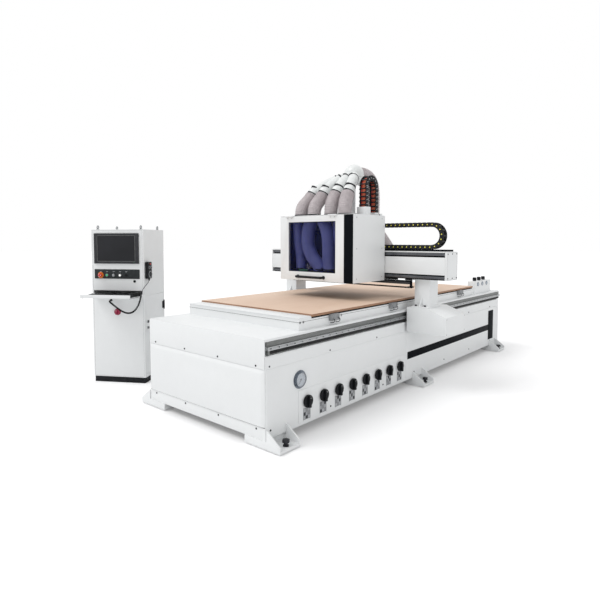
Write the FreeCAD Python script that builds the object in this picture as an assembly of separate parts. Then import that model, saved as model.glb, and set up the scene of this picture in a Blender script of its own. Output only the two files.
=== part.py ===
"""Moving-gantry cnc router for 1300 by 3000 mm sheets, with four spindles and a separate control cabinet.

Units are millimetres. The origin is the middle of the levelling bolts, on the floor.
+X points across the bed to the right of someone at its front end, +Y to its rear end, +Z up.
"""
import FreeCAD, Part
import math
import os

from FreeCAD import Placement, Rotation, Vector

os.makedirs("parts", exist_ok=True)

# Directions
X = Vector(1, 0, 0)
Y = Vector(0, 1, 0)
Z = Vector(0, 0, 1)

# Fits and cuts
RUN_GAP = 0.3
OVERRUN = 5.0

# Shapes that repeat
HALF_TURN = 180.0
HEXAGON_SIDES = 6
CUBIC = 3
STRAIGHT_ANGLE = 0.01
CORNER_SHARE = 0.45
EDGE_ALONG_SHARE = 0.5

# Bed
BED_WIDTH = 1363.0
BED_FRONT = 2080.0
BED_REAR = 2190.0
DECK_TOP = 745.0
DECK_THICK = 17.0
DECK_SKIN = 5.0
BED_WALL = 8.0
SEAM_HEIGHT = 148.0
SKIRT_BOTTOM = 75.0
SKIRT_INSET = 25.0
FOOT_CLEAR_HEIGHT = 62.0
RIB_COUNT = 5
WAY_INSET = 19.5
WAY_BOTTOM = 632.0

# Covers on the bed
COVER_THICK = 8.5
COVER_TOP = 542.0
COVER_BEVEL = 28.0
COVER_SEAM_Y = -228.0
COVER_END_GAP = 5.0
COVER_JOIN_GAP = 2.0
TOP_PLATE_THICK = 3.0
TOP_PLATE_SIDE_GAP = 4.0

# Levelling feet
BOLT_SPACING_X = 1549.0
BOLT_SPACING_Y = 3963.0
BOLT_PAD_RADIUS = 15.0
BOLT_PAD_HEIGHT = 7.5
BOLT_SHANK_RADIUS = 12.0
BOLT_HOLE_GAP = 1.0
BOLT_HEAD_FLATS = 46.0
BOLT_HEAD_THICK = 20.0
BOLT_TOP = 73.0
FOOT_PLATE_BOTTOM = 8.0
FOOT_PLATE_THICK = 20.0
FOOT_OUT = 815.0
FOOT_IN = 480.0
FOOT_LENGTH = 204.0
FOOT_GUSSET_THICK = 12.0
FOOT_GUSSET_LOW = 52.0
FOOT_GUSSET_HIGH = 138.0
FOOT_GUSSET_GAP = 0.5

# Guide ways along the bed
WAY_STRIP_THICK = 14.0
WAY_STRIP_BOTTOM = 692.0
RAIL_BOTTOM = 667.0
RAIL_HEIGHT = 24.0
RAIL_DEPTH = 28.0
RACK_HEIGHT = 29.0
RACK_DEPTH = 18.0
WAY_FRONT_INSET = 18.0
WAY_REAR_OVERHANG = 40.0
WAY_END_LENGTH = 16.0

# Table and board
TABLE_HALF_WIDTH = 643.5
TABLE_FRONT = -1702.0
TABLE_REAR = 1440.0
TABLE_BEAM_WIDTH = 60.0
TABLE_BEAM_WALL = 6.0
TABLE_CROSS_COUNT = 6
LIP_THICK = 6.0
LIP_OUT = 6.0
BOARD_THICK = 18.0
BOARD_WIDTH = 1303.0
BOARD_FRONT = -1565.0
BOARD_LENGTH = 2991.0
BOARD_TOP = 852.0
STOP_YS_SHARES = (-1305.0 / 2991.0, -423.0 / 2991.0, 1044.0 / 2991.0)
STOP_WIDTH = 95.0
STOP_HEIGHT = 50.0
STOP_DEPTH = 26.0
STOP_DROP = 30.0
STOP_PIN_RADIUS = 8.0
STOP_PIN_INSET = 13.0
STOP_PIN_SINK = 4.0
STOP_HOLE_RADIUS = 9.0
STOP_HOLE_STEP = 116.0
STOP_HOLE_DEPTH = 8.0
STOP_HOLE_PAIR = 36.0

# Air regulators behind the board
REG_X0 = 560.0
REG_X1 = 648.0
REG_Y0 = 1500.0
REG_Y1 = 1996.0
REG_TOP = 898.0
REG_WALL = 3.0
REG_KNOB_RADIUS = 23.0
REG_KNOB_HEIGHT = 38.0
REG_KNOB_FIRST = 95.0
REG_KNOB_STEP = 135.0
REG_COUNT = 3
REG_FLUTES = 6
REG_FLUTE_RADIUS = 4.6
REG_STEM_RADIUS = 8.0
REG_STEM_HEIGHT = 6.0

# Vacuum valves on the right side
VALVE_COUNT = 8
VALVE_FIRST_Y = -1672.0
VALVE_STEP = 188.0
VALVE_Z = 241.0
VALVE_KNOB_RADIUS = 46.0
VALVE_KNOB_DEPTH = 34.0
VALVE_GRIP_WIDTH = 20.0
VALVE_RIM = 5.0
VALVE_STEM_RADIUS = 12.0
VALVE_STEM_LENGTH = 6.0
VALVE_PLATE_THICK = 4.0
VALVE_PLATE_SIDE = 88.0
VALVE_PLATE_TOP = 333.0
VALVE_PLATE_BOTTOM = 96.0
LABEL_WIDTH = 80.0
LABEL_HEIGHT = 84.0
LABEL_TOP = 192.0
LABEL_THICK = 1.5

# Vacuum gauge
GAUGE_Y = -1746.0
GAUGE_Z = 413.0
GAUGE_FLANGE_RADIUS = 66.0
GAUGE_FLANGE_THICK = 5.0
GAUGE_DIAL_RADIUS = 50.0
GAUGE_DEPTH = 20.0
GAUGE_RIM = 4.0
GAUGE_FLOOR = 6.0
GAUGE_HUB_RADIUS = 4.0
GAUGE_NEEDLE_LENGTH = 40.0
GAUGE_NEEDLE_WIDTH = 5.0
GAUGE_NEEDLE_THICK = 2.0
GAUGE_NEEDLE_LIFT = 4.0
NEEDLE_REST_ANGLE = 135.0

# Black stripes on the rear right cover
STRIPE_THICK = 1.5
STRIPE_Y0 = -201.0
STRIPE_Y1 = 1840.0
STRIPE_Z0 = 272.0
STRIPE_Z1 = 342.0
BAR_WIDTH = 165.0
BAR_Z0 = 150.0
BAR_Z1 = 512.0

# Cover screws
SCREW_RADIUS = 7.0
SCREW_HEIGHT = 4.0
SCREW_PITCH = 658.0
SCREW_TOP_Z = 560.0
SCREW_LOW_Z = 130.0
SCREW_END_INSET = 38.0
SCREW_FRONT_PITCH = 396.0

# Gantry
FOOT_BOX_IN = 700.0
FOOT_BOX_OUT = 1089.0
FOOT_BOX_FRONT = -241.0
FOOT_BOX_LENGTH = 411.0
FOOT_BOX_BOTTOM = 546.0
FOOT_BOX_TOP = 776.0
FOOT_BOX_SHOULDER = 707.0
FOOT_BOX_FLAT = 205.0
FOOT_BOX_WALL = 8.0
CARRIAGE_THICK = 20.0
CARRIAGE_BOTTOM = 560.0
BLOCK_LENGTH = 110.0
BLOCK_HEIGHT = 46.0
BLOCK_REACH = 8.0
BLOCK_END_INSET = 20.0
COLUMN_IN = 740.0
COLUMN_WIDTH = 151.0
COLUMN_FRONT = -167.0
COLUMN_DEPTH = 167.0
COLUMN_WALL = 10.0
FLANGE_THICK = 12.0
FLANGE_FRONT_OUT = 62.0
FLANGE_BACK_OUT = 30.0
FLANGE_SIDE_OUT = 14.0
COLUMN_GUSSET_HEIGHT = 94.0
COLUMN_GUSSET_DEPTH = 50.0
COLUMN_GUSSET_THICK = 10.0
COLUMN_BOLT_RADIUS = 11.0
COLUMN_BOLT_HEIGHT = 12.0
COLUMN_BOLT_INSET = 30.2
BEAM_HALF = 1077.0
BEAM_FRONT = -218.0
BEAM_BACK = 3.0
BEAM_BOTTOM = 1035.0
BEAM_TOP = 1293.0
BEAM_WALL = 10.0
BEAM_END_THICK = 20.0
BEAM_FACE_STEP = 28.0
X_RAIL_SIZE = 25.0
X_RAIL_TOP_Z = 1268.0
X_RAIL_LOW_Z = 1058.0
BEAM_FACE_INSET = 13.0
BEAM_LIP = 9.0

# Cable chain along the beam
CHAIN_LINK = 48.0
CHAIN_HEIGHT = 42.0
CHAIN_WIDTH = 80.0
CHAIN_NECK = 8.0
CHAIN_NECK_INSET = 5.0
CHAIN_BACK = -20.0
CHAIN_TRAY_THICK = 4.0
CHAIN_TRAY_HEIGHT = 17.0
CHAIN_OUTER_RADIUS = 126.0
CHAIN_BEND_X = 861.0
CHAIN_BEND_LIFT = 1.2
CHAIN_TRAY_X0 = -420.0
CHAIN_TRAY_X1 = 1045.0
CHAIN_TRAY_LEG = 34.0
CHAIN_TRAY_LEGS = 5
CHAIN_FIXED_X = -100.0
CHAIN_UPPER_X = -160.0

# Sheet pusher frame under the beam
PUSHER_HALF = 736.0
PUSHER_Y = -206.0
PUSHER_THICK = 16.0
PUSHER_BAR = 12.0
PUSHER_TOP = 1022.0
PUSHER_HEIGHT = 71.0
PUSHER_POST = 18.0
PUSHER_ROD_RADIUS = 9.0
PUSHER_ROD_X = 700.0
PUSHER_CYL_RADIUS = 20.0

# Head
HEAD_X0 = -429.0
HEAD_X1 = 448.0
HEAD_FRONT = -754.0
HEAD_BACK = -228.0
HEAD_BOTTOM = 1012.0
HEAD_TOP = 1631.0
HEAD_WALL = 4.0
BAND_WIDTH = 102.0
DOOR_THICK = 22.0
DOOR_GAP = 2.0
DOOR_FRAME_LEFT = 109.0
DOOR_FRAME_RIGHT = 94.0
DOOR_WINDOW_Z0 = 1095.0
DOOR_WINDOW_Z1 = 1570.0
WINDOW_THICK = 5.0
WINDOW_INSET = 4.0
HOOD_EAR_WIDTH = 12.0
HOOD_LEAF_DROP = 24.0
HANDLE_X0 = -208.0
HANDLE_X1 = 128.0
HANDLE_Z = 1049.0
HANDLE_BAR_RADIUS = 12.0
HANDLE_STANDOFF = 40.0
HANDLE_POST_RADIUS = 9.0

# X carriage and Z plate
CARRIAGE_PLATE_THICK = 18.0
CARRIAGE_SIDE_GAP = 30.0
CARRIAGE_PLATE_BOTTOM = 1040.0
CARRIAGE_PLATE_TOP = 1650.0
X_BLOCK_LENGTH = 90.0
X_BLOCK_HEIGHT = 44.0
Z_RAIL_WIDTH = 25.0
Z_RAIL_DEPTH = 22.0
Z_RAIL_X = 240.0
Z_RAIL_LENGTH = 520.0
Z_BLOCK_LENGTH = 80.0
Z_BLOCK_WIDTH = 60.0
Z_PLATE_THICK = 18.0
Z_PLATE_BOTTOM = 1100.0
Z_PLATE_TOP = 1500.0

# Spindles
SPINDLE_COUNT = 4
SPINDLE_PITCH = 180.0
SPINDLE_MID_X = -41.0
SPINDLE_Y = -480.0
SPINDLE_SIDE = 130.0
SPINDLE_CORNER = 16.0
SPINDLE_BOTTOM = 1160.0
SPINDLE_LENGTH = 300.0
SPINDLE_SLIDE_WIDTH = 90.0
SPINDLE_SLIDE_RAIL = 20.0
SPINDLE_SLIDE_RAIL_WIDTH = 40.0
NOSE_RADIUS = 36.0
NOSE_LENGTH = 42.0
NOSE_GAP = 0.3
NUT_RADIUS = 25.0
NUT_LENGTH = 40.0
COLLET_BORE_RADIUS = 6.35
COLLET_BORE_DEPTH = 45.0

# Dust hoses, pipes and the duct behind the head
HOSE_RADIUS = 62.0
HOSE_WALL = 4.0
HOSE_RIB = 4.0
HOSE_RIBS = 11
HOSE_BASES_X = (-288.0, -123.0, 41.0, 206.0)
HOSE_BASES_Y = (-600.0, -600.0, -545.0, -545.0)
HOSE_RISE_SHARE = 0.5
HOSE_TOP_Z = 1838.0
HOSE_SPIGOT_RADIUS = 56.0
HOSE_SPIGOT_HEIGHT = 20.0
PIPE_RADIUS = 52.0
PIPE_TOP_XS = (-225.0, -101.0, 38.0, 150.0)
PIPE_TOP_Y = -300.0
PIPE_TOP_Z = 2068.0
PIPE_FOOT_XS = (-262.0, -122.0, 40.0, 186.0)
PIPE_FOOT_Y = -470.0
CLAMP_RADIUS = 57.0
CLAMP_WIDTH = 18.0
DOME_X = 40.0
DOME_Y = -165.0
DOME_Z = 2062.0
DOME_RADIUS = 100.0
PIPE_SINK = 25.0
CLAMP_SHARES = (0.1, 0.5)
RIB_PROFILE_SHARES = ((0.0, 0.0), (0.3, 1.0), (0.7, 1.0), (1.0, 0.0))

# Control cabinet, in its own axes: along the front, inwards, up
CAB_X = -1756.0
CAB_Y = -2038.0
CAB_TURN = 32.0
CAB_WIDTH = 540.0
CAB_DEPTH = 450.0
CAB_HEIGHT = 1500.0
CAB_PLINTH = 57.0
CAB_PLINTH_INSET = 6.0
CAB_WALL = 3.0

# Mast behind the pipes, and the collector box under the inner hoses
MAST_WIDTH = 120.0
MAST_THICK = 12.0
MAST_LIFT = 60.0
SHOE_FRONT = -722.0
SHOE_DEPTH = 120.0
SHOE_LIFT = 40.0
SHOE_HEIGHT = 60.0
INNER_SPREAD_SHARE = 0.75
INNER_LEAD_SHARE = 0.25
INNER_HOSE_RADIUS = 50.0

# Duct behind the beam
DUCT_RADIUS = 90.0
DUCT_RIB = 5.0
DUCT_RIBS = 9
DUCT_Y = 165.0
DUCT_Y_START = -40.0
DUCT_REACH = 240.0
DUCT_DIVE = 200.0
DUCT_MID_X = 30.0
DUCT_MID_Z = 1640.0
DUCT_END_X = 262.0
DUCT_END_Z = 1150.0
OUTLET_DROP = 10.0
CUFF_LENGTH = 70.0

# Standing chain behind the hood
Z_CHAIN_X = 302.0
Z_CHAIN_WIDTH = 75.0
Z_CHAIN_HEIGHT = 54.0
Z_CHAIN_GAP = 172.0
Z_CHAIN_FRONT_Y = -372.0
Z_CHAIN_AXIS_Z = 1905.0
Z_CHAIN_REAR_LINKS = 5
Z_CHAIN_FRONT_LINKS = 4
CHAIN_BOX_X0 = 253.0
CHAIN_BOX_X1 = 361.0
CHAIN_BOX_FRONT = 20.0
CHAIN_SHELF_THICK = 30.0

# Cabinet's side door
SIDE_DOOR_Y0 = 25.0
SIDE_DOOR_Y1 = 425.0
SIDE_DOOR_Z0 = 90.0
SIDE_DOOR_Z1 = 850.0
SIDE_DOOR_GAP = 2.0
DOOR_PIN_RADIUS = 4.0
DOOR_PIN_OUT = 7.0
DOOR_PIN_BACK = 5.0
DOOR_SLEEVE_RADIUS = 7.0
DOOR_SLEEVE_LENGTH = 70.0
DOOR_SLEEVE_INSET = 90.0
DOOR_LEAF_LENGTH = 28.0
DOOR_EAR_HEIGHT = 12.0
LOCK_RADIUS = 13.0
LOCK_DEPTH = 12.0
LOCK_Y = 60.0
LOCK_HIGH = 602.0
LOCK_LOW = 542.0

# Keyboard tray and what lies on it
SLOT_Z0 = 846.0
SLOT_Z1 = 908.0
SLOT_SIDE = 16.0
TRAY_X0 = 22.0
TRAY_X1 = 508.0
TRAY_OUT = 225.0
TRAY_IN = 40.0
TRAY_Z = 856.0
TRAY_THICK = 4.0
TRAY_LIP_THICK = 8.0
TRAY_LIP_SIDE = 8.0
TRAY_LIP_HEIGHT = 32.0
RUNNER_DEPTH = 280.0
RUNNER_DROP = 8.0
RUNNER_HEIGHT = 24.0
KEYBOARD_LENGTH = 390.0
KEYBOARD_DEPTH = 132.0
KEYBOARD_HEIGHT = 18.0
KEYBOARD_SIDE = 12.0
KEYBOARD_FRONT = 30.0
MOUSE_LENGTH = 100.0
MOUSE_WIDTH = 56.0
MOUSE_HEIGHT = 32.0

# Monitor, operating panel and buttons
MONITOR_X0 = 33.0
MONITOR_X1 = 495.0
MONITOR_Z0 = 1170.0
MONITOR_Z1 = 1463.0
MONITOR_OUT = 14.0
MONITOR_BEZEL = 36.0
MONITOR_BEZEL_LOW = 24.0
SCREEN_SINK = 3.0
PANEL_X0 = 31.0
PANEL_X1 = 498.0
PANEL_Z0 = 1023.0
PANEL_Z1 = 1114.0
PANEL_OUT = 6.0
BUTTON_Z = 1057.0
BUTTON_XS = (163.0, 231.0, 299.0)
BUTTON_RADIUS = 10.0
BEZEL_RADIUS = 15.0
BEZEL_OUT = 8.0
BUTTON_PROUD = 4.0
BUTTON_DEEP = 4.0
ESTOP_X = 96.0
ESTOP_CAP_RADIUS = 20.0
ESTOP_CAP_DEPTH = 13.0
ESTOP_STEM_RADIUS = 9.0
ESTOP_COLLAR_RADIUS = 30.0
ESTOP_COLLAR_OUT = 3.0
ESTOP_TRAVEL = 4.0

# Cap and main switch
USB_X = 445.0
USB_Z = 999.0
USB_RADIUS = 13.0
USB_OUT = 5.0
SWITCH_X = 262.0
SWITCH_Z = 700.0
SWITCH_PLATE = 66.0
SWITCH_PLATE_OUT = 4.0
SWITCH_RADIUS = 28.0
SWITCH_DEPTH = 26.0
SWITCH_GRIP = 16.0
SWITCH_STEM_RADIUS = 8.0
SWITCH_STEM_OUT = 4.0

# Lifting eyes
EYE_RADIUS = 20.0
EYE_WIRE = 6.0
EYE_BASE_RADIUS = 17.0
EYE_BASE_HEIGHT = 6.0
EYE_INSET = 45.0

# Pendant, its peg and its cord
PENDANT_Y0 = 22.0
PENDANT_WIDTH = 84.0
PENDANT_Z0 = 1023.0
PENDANT_HEIGHT = 165.0
PENDANT_DEPTH = 42.0
PENDANT_STAND = 1.0
PENDANT_CORNER = 12.0
PEG_OUT = 12.0
PEG_WIDTH = 16.0
PEG_HEIGHT = 12.0
PEG_DROP = 42.0
CORD_RADIUS = 9.0
TAIL_RADIUS = 3.5
CORD_ROUTE = (
    (196.0, -0.3, 812.0),
    (196.0, -86.0, 812.0),
    (212.0, -90.0, 730.0),
    (258.0, -68.0, 706.0),
    (330.0, -70.0, 684.0),
    (402.0, -70.0, 690.0),
    (462.0, -66.0, 722.0),
    (503.0, -60.0, 772.0),
    (525.0, -50.0, 830.0),
    (533.0, -42.0, 884.0),
)
TAIL_ROUTE = (
    (533.1, -41.9, 884.7),
    (538.0, -32.0, 918.0),
    (551.0, -6.0, 950.0),
    (561.0, 32.0, 978.0),
    (562.0, 62.0, 1000.0),
    (562.0, 64.0, 1022.5),
)


def box(x0, x1, y0, y1, z0, z1):
    """A block between two corners."""
    return Part.makeBox(x1 - x0, y1 - y0, z1 - z0, Vector(x0, y0, z0))


def rod(radius, length, foot, direction=Z):
    """A round bar from its foot along a direction."""
    return Part.makeCylinder(radius, length, foot, direction)


def prism(corners, travel):
    """A closed outline pulled along a vector."""
    wire = Part.makePolygon(list(corners) + [corners[0]])
    return Part.Face(wire).extrude(travel)


def mirrored(solid):
    """The same piece on the other side of the bed."""
    return solid.mirror(Vector(0, 0, 0), X)


def both_sides(solids):
    """Pieces and their mirror images across the bed."""
    return list(solids) + [mirrored(s) for s in solids]


def save(name, solids):
    """Writes one sub-part."""
    pieces = solids if isinstance(solids, list) else [solids]
    shape = pieces[0] if len(pieces) == 1 else Part.makeCompound(pieces)
    shape.exportStep("parts/" + name + ".step")


def pillow(face_x, y0, y1, z0, z1):
    """A cover panel whose long edges slope back to the wall it lies on."""
    back = box(face_x - COVER_THICK, face_x, y0, y1, z0, z1)
    bevel = [
        Vector(face_x, 0, z1 - COVER_BEVEL),
        Vector(face_x, 0, z1),
        Vector(face_x - COVER_THICK / 2, 0, z1),
    ]
    edge = prism([p + Y * y0 for p in bevel], Y * (y1 - y0))
    return back.cut(edge)


def bed_panels():
    """Welded bed: side walls, end walls, deck, inner ribs and the skirt beams between the feet."""
    half = BED_WIDTH / 2
    way_x = half - WAY_INSET
    deck_bottom = DECK_TOP - DECK_THICK
    y0, y1 = -BED_FRONT, BED_REAR
    walls = [box(half - BED_WALL, half, y0, y1, SEAM_HEIGHT, WAY_BOTTOM)]
    walls.append(box(way_x - BED_WALL, way_x, y0, y1, WAY_BOTTOM, deck_bottom))
    walls.append(box(way_x - BED_WALL, half, y0, y1, WAY_BOTTOM - BED_WALL, WAY_BOTTOM))
    lower = walls[0].cut(walls[2])
    step = [lower, walls[2], walls[1]]
    in_x = half - BED_WALL
    skirt_x = half - SKIRT_INSET
    step.append(box(skirt_x - BED_WALL, skirt_x, y0 + BED_WALL, y1 - BED_WALL, SKIRT_BOTTOM, SEAM_HEIGHT))
    solids = both_sides(step)
    deck = box(-half, half, y0, y1, deck_bottom, DECK_TOP)
    skin = DECK_SKIN
    void = box(skin - half, half - skin, y0 + skin, y1 - skin, deck_bottom + skin, DECK_TOP - skin)
    solids.append(deck.cut(void))
    pitch = (y1 - y0 - 2 * BED_WALL) / (RIB_COUNT + 1)
    rib_top = WAY_BOTTOM - BED_WALL
    solids.append(box(-in_x, in_x, y0, y0 + BED_WALL, SEAM_HEIGHT, rib_top))
    solids.append(box(-in_x, in_x, y1 - BED_WALL, y1, SEAM_HEIGHT, rib_top))
    upper_x = way_x - BED_WALL
    solids.append(box(-upper_x, upper_x, y0, y0 + BED_WALL, rib_top, deck_bottom))
    solids.append(box(-upper_x, upper_x, y1 - BED_WALL, y1, rib_top, deck_bottom))
    for i in range(RIB_COUNT):
        y = y0 + BED_WALL + pitch * (i + 1)
        rib = box(-in_x, in_x, y, y + BED_WALL, SEAM_HEIGHT, rib_top)
        solids.append(rib)
        solids.append(box(-upper_x, upper_x, y, y + BED_WALL, rib_top, deck_bottom))
    solids.append(box(-skirt_x, skirt_x, y0, y0 + BED_WALL, FOOT_CLEAR_HEIGHT, SEAM_HEIGHT))
    solids.append(box(-skirt_x, skirt_x, y1 - BED_WALL, y1, FOOT_CLEAR_HEIGHT, SEAM_HEIGHT))
    return solids


def end_cover(y_face, outward):
    """Cover on an end of the bed, with sloped edges at the top and both sides."""
    half = BED_WIDTH / 2
    depth = COVER_THICK * outward
    low = SEAM_HEIGHT + COVER_END_GAP
    top = COVER_TOP - COVER_JOIN_GAP
    side = half - COVER_END_GAP
    inset = COVER_BEVEL
    back = [Vector(-side, y_face, low), Vector(side, y_face, low)]
    back += [Vector(side, y_face, top), Vector(-side, y_face, top)]
    y_out = y_face + depth
    front = [Vector(inset - side, y_out, low), Vector(side - inset, y_out, low)]
    front += [Vector(side - inset, y_out, top - inset), Vector(inset - side, y_out, top - inset)]
    loops = [Part.makePolygon(p + [p[0]]) for p in (back, front)]
    return Part.makeLoft(loops, True, True)


def valve_y(i):
    """Where a valve stands along the bed."""
    return VALVE_FIRST_Y + i * VALVE_STEP


def bed_covers():
    """Side covers, end covers, the plates above the end covers and the valve bank's own plate."""
    half = BED_WIDTH / 2
    face = half + COVER_THICK
    y0, y1 = COVER_END_GAP - BED_FRONT, BED_REAR - COVER_END_GAP
    split = COVER_JOIN_GAP / 2
    front = pillow(face, y0, COVER_SEAM_Y - split, SKIRT_BOTTOM, COVER_TOP)
    rear = pillow(face, COVER_SEAM_Y + split, y1, SKIRT_BOTTOM, COVER_TOP)
    solids = both_sides([front, rear])
    last = VALVE_FIRST_Y + VALVE_STEP * (VALVE_COUNT - 1)
    plate_y0 = VALVE_FIRST_Y - VALVE_PLATE_SIDE
    plate_y1 = last + VALVE_PLATE_SIDE
    plate = box(face, face + VALVE_PLATE_THICK, plate_y0, plate_y1, VALVE_PLATE_BOTTOM, VALVE_PLATE_TOP)
    solids.append(plate)
    solids.append(end_cover(-BED_FRONT, -1))
    solids.append(end_cover(BED_REAR, 1))
    sides = (half - TOP_PLATE_SIDE_GAP, half - WAY_INSET - TOP_PLATE_SIDE_GAP)
    for y, out, side in ((-BED_FRONT, -1, sides[0]), (BED_REAR, 1, sides[1])):
        y_low = min(y, y + out * TOP_PLATE_THICK)
        y_high = max(y, y + out * TOP_PLATE_THICK)
        solids.append(box(-side, side, y_low, y_high, COVER_TOP, DECK_TOP))
    return solids


def foot_ys():
    """The six feet stand at both ends and at the middle of each side."""
    return (-BOLT_SPACING_Y / 2, 0.0, BOLT_SPACING_Y / 2)


def bed_foot(y):
    """Leg box with a base plate, and two gussets that flare out beside the levelling bolt."""
    y0, y1 = y - FOOT_LENGTH / 2, y + FOOT_LENGTH / 2
    plate_top = FOOT_PLATE_BOTTOM + FOOT_PLATE_THICK
    plate = box(FOOT_IN, FOOT_OUT, y0, y1, FOOT_PLATE_BOTTOM, plate_top)
    hole_foot = Vector(BOLT_SPACING_X / 2, y, 0)
    plate = plate.cut(rod(BOLT_SHANK_RADIUS + BOLT_HOLE_GAP, plate_top + OVERRUN, hole_foot))
    inner = y0 + FOOT_GUSSET_THICK
    outer = y1 - FOOT_GUSSET_THICK
    wall_x = BED_WIDTH / 2 - SKIRT_INSET
    cover_x = BED_WIDTH / 2 + COVER_THICK + FOOT_GUSSET_GAP
    leg = box(FOOT_IN, wall_x, inner, outer, plate_top, FOOT_CLEAR_HEIGHT)
    solids = [plate, leg]
    ramp = [
        Vector(FOOT_IN, 0, plate_top),
        Vector(FOOT_OUT, 0, plate_top),
        Vector(FOOT_OUT, 0, FOOT_GUSSET_LOW),
        Vector(cover_x, 0, FOOT_GUSSET_HIGH),
        Vector(cover_x, 0, FOOT_CLEAR_HEIGHT),
        Vector(FOOT_IN, 0, FOOT_CLEAR_HEIGHT),
    ]
    for start in (y0, outer):
        solids.append(prism([p + Y * start for p in ramp], Y * FOOT_GUSSET_THICK))
    solids.append(box(wall_x, wall_x + FOOT_GUSSET_THICK, inner, outer, plate_top, FOOT_CLEAR_HEIGHT))
    return [solids[0].multiFuse(solids[1:]).removeSplitter()]


def bed_feet():
    """Six welded feet."""
    solids = []
    for y in foot_ys():
        solids += both_sides(bed_foot(y))
    return solids


def hexagon(flats, height, foot):
    """Hexagonal head standing on its foot point."""
    reach = flats / 2 / math.cos(math.pi / HEXAGON_SIDES)
    corners = []
    for i in range(HEXAGON_SIDES):
        turn = 2 * math.pi * i / HEXAGON_SIDES
        corners.append(foot + X * (reach * math.cos(turn)) + Y * (reach * math.sin(turn)))
    return prism(corners, Z * height)


def bed_fasteners():
    """Levelling bolts on the floor, and the button-head screws of the covers."""
    solids = []
    head_z = BOLT_TOP - BOLT_HEAD_THICK
    for y in foot_ys():
        foot = Vector(BOLT_SPACING_X / 2, y, 0)
        bolt = rod(BOLT_SHANK_RADIUS, head_z, foot).fuse(rod(BOLT_PAD_RADIUS, BOLT_PAD_HEIGHT, foot))
        bolt = bolt.fuse(hexagon(BOLT_HEAD_FLATS, BOLT_HEAD_THICK, foot + Z * head_z)).removeSplitter()
        nut_z = FOOT_PLATE_BOTTOM + FOOT_PLATE_THICK
        nut = hexagon(BOLT_HEAD_FLATS, BOLT_HEAD_THICK, foot + Z * nut_z)
        nut = nut.cut(rod(BOLT_SHANK_RADIUS, nut_z + BOLT_HEAD_THICK, foot))
        solids += both_sides([bolt, nut])
    face = BED_WIDTH / 2
    count = int((BED_REAR + BED_FRONT - 2 * SCREW_END_INSET) // SCREW_PITCH)
    for i in range(count + 1):
        y = SCREW_END_INSET - BED_FRONT + i * SCREW_PITCH
        low_face = face + COVER_THICK
        if VALVE_FIRST_Y - VALVE_PLATE_SIDE < y < COVER_SEAM_Y:
            low_face += VALVE_PLATE_THICK
        top = rod(SCREW_RADIUS, SCREW_HEIGHT, Vector(face, y, SCREW_TOP_Z), X)
        low_y = y
        if low_face > face + COVER_THICK:
            low_y = valve_y((y - VALVE_FIRST_Y) // VALVE_STEP) + VALVE_STEP / 2
        low = rod(SCREW_RADIUS, SCREW_HEIGHT, Vector(low_face, low_y, SCREW_LOW_Z), X)
        left = rod(SCREW_RADIUS, SCREW_HEIGHT, Vector(-face - COVER_THICK, y, SCREW_LOW_Z), -X)
        solids += [top, mirrored(top), low, left]
    for i in (-1, 0, 1):
        x = i * SCREW_FRONT_PITCH
        plate_face = -BED_FRONT - TOP_PLATE_THICK
        solids.append(rod(SCREW_RADIUS, SCREW_HEIGHT, Vector(x, plate_face, SCREW_TOP_Z), -Y))
        solids.append(rod(SCREW_RADIUS, SCREW_HEIGHT, Vector(x, -BED_FRONT, SCREW_LOW_Z), -Y))
    return solids


def y_rails():
    """Guide rail, rack and cover strip on each side of the bed."""
    base = BED_WIDTH / 2 - WAY_INSET
    y0 = WAY_FRONT_INSET - BED_FRONT
    y1 = BED_REAR + WAY_REAR_OVERHANG
    rail = box(base, base + RAIL_DEPTH, y0, y1, RAIL_BOTTOM, RAIL_BOTTOM + RAIL_HEIGHT)
    strip = box(base, base + WAY_STRIP_THICK, y0, y1, WAY_STRIP_BOTTOM, DECK_TOP - DECK_THICK)
    rack_z = RAIL_BOTTOM - RACK_HEIGHT
    rack = box(base, base + RACK_DEPTH, y0 + WAY_END_LENGTH, y1, rack_z, rack_z + RACK_HEIGHT - RUN_GAP)
    stop = box(base, base + RAIL_DEPTH, y0, y0 + WAY_END_LENGTH - RUN_GAP,
               rack_z, rack_z + RACK_HEIGHT - RUN_GAP)
    return both_sides([rail, strip, rack, stop])


def stop_ys():
    """Where the pop-up stops stand along the table."""
    return [share * BOARD_LENGTH for share in STOP_YS_SHARES]


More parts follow.
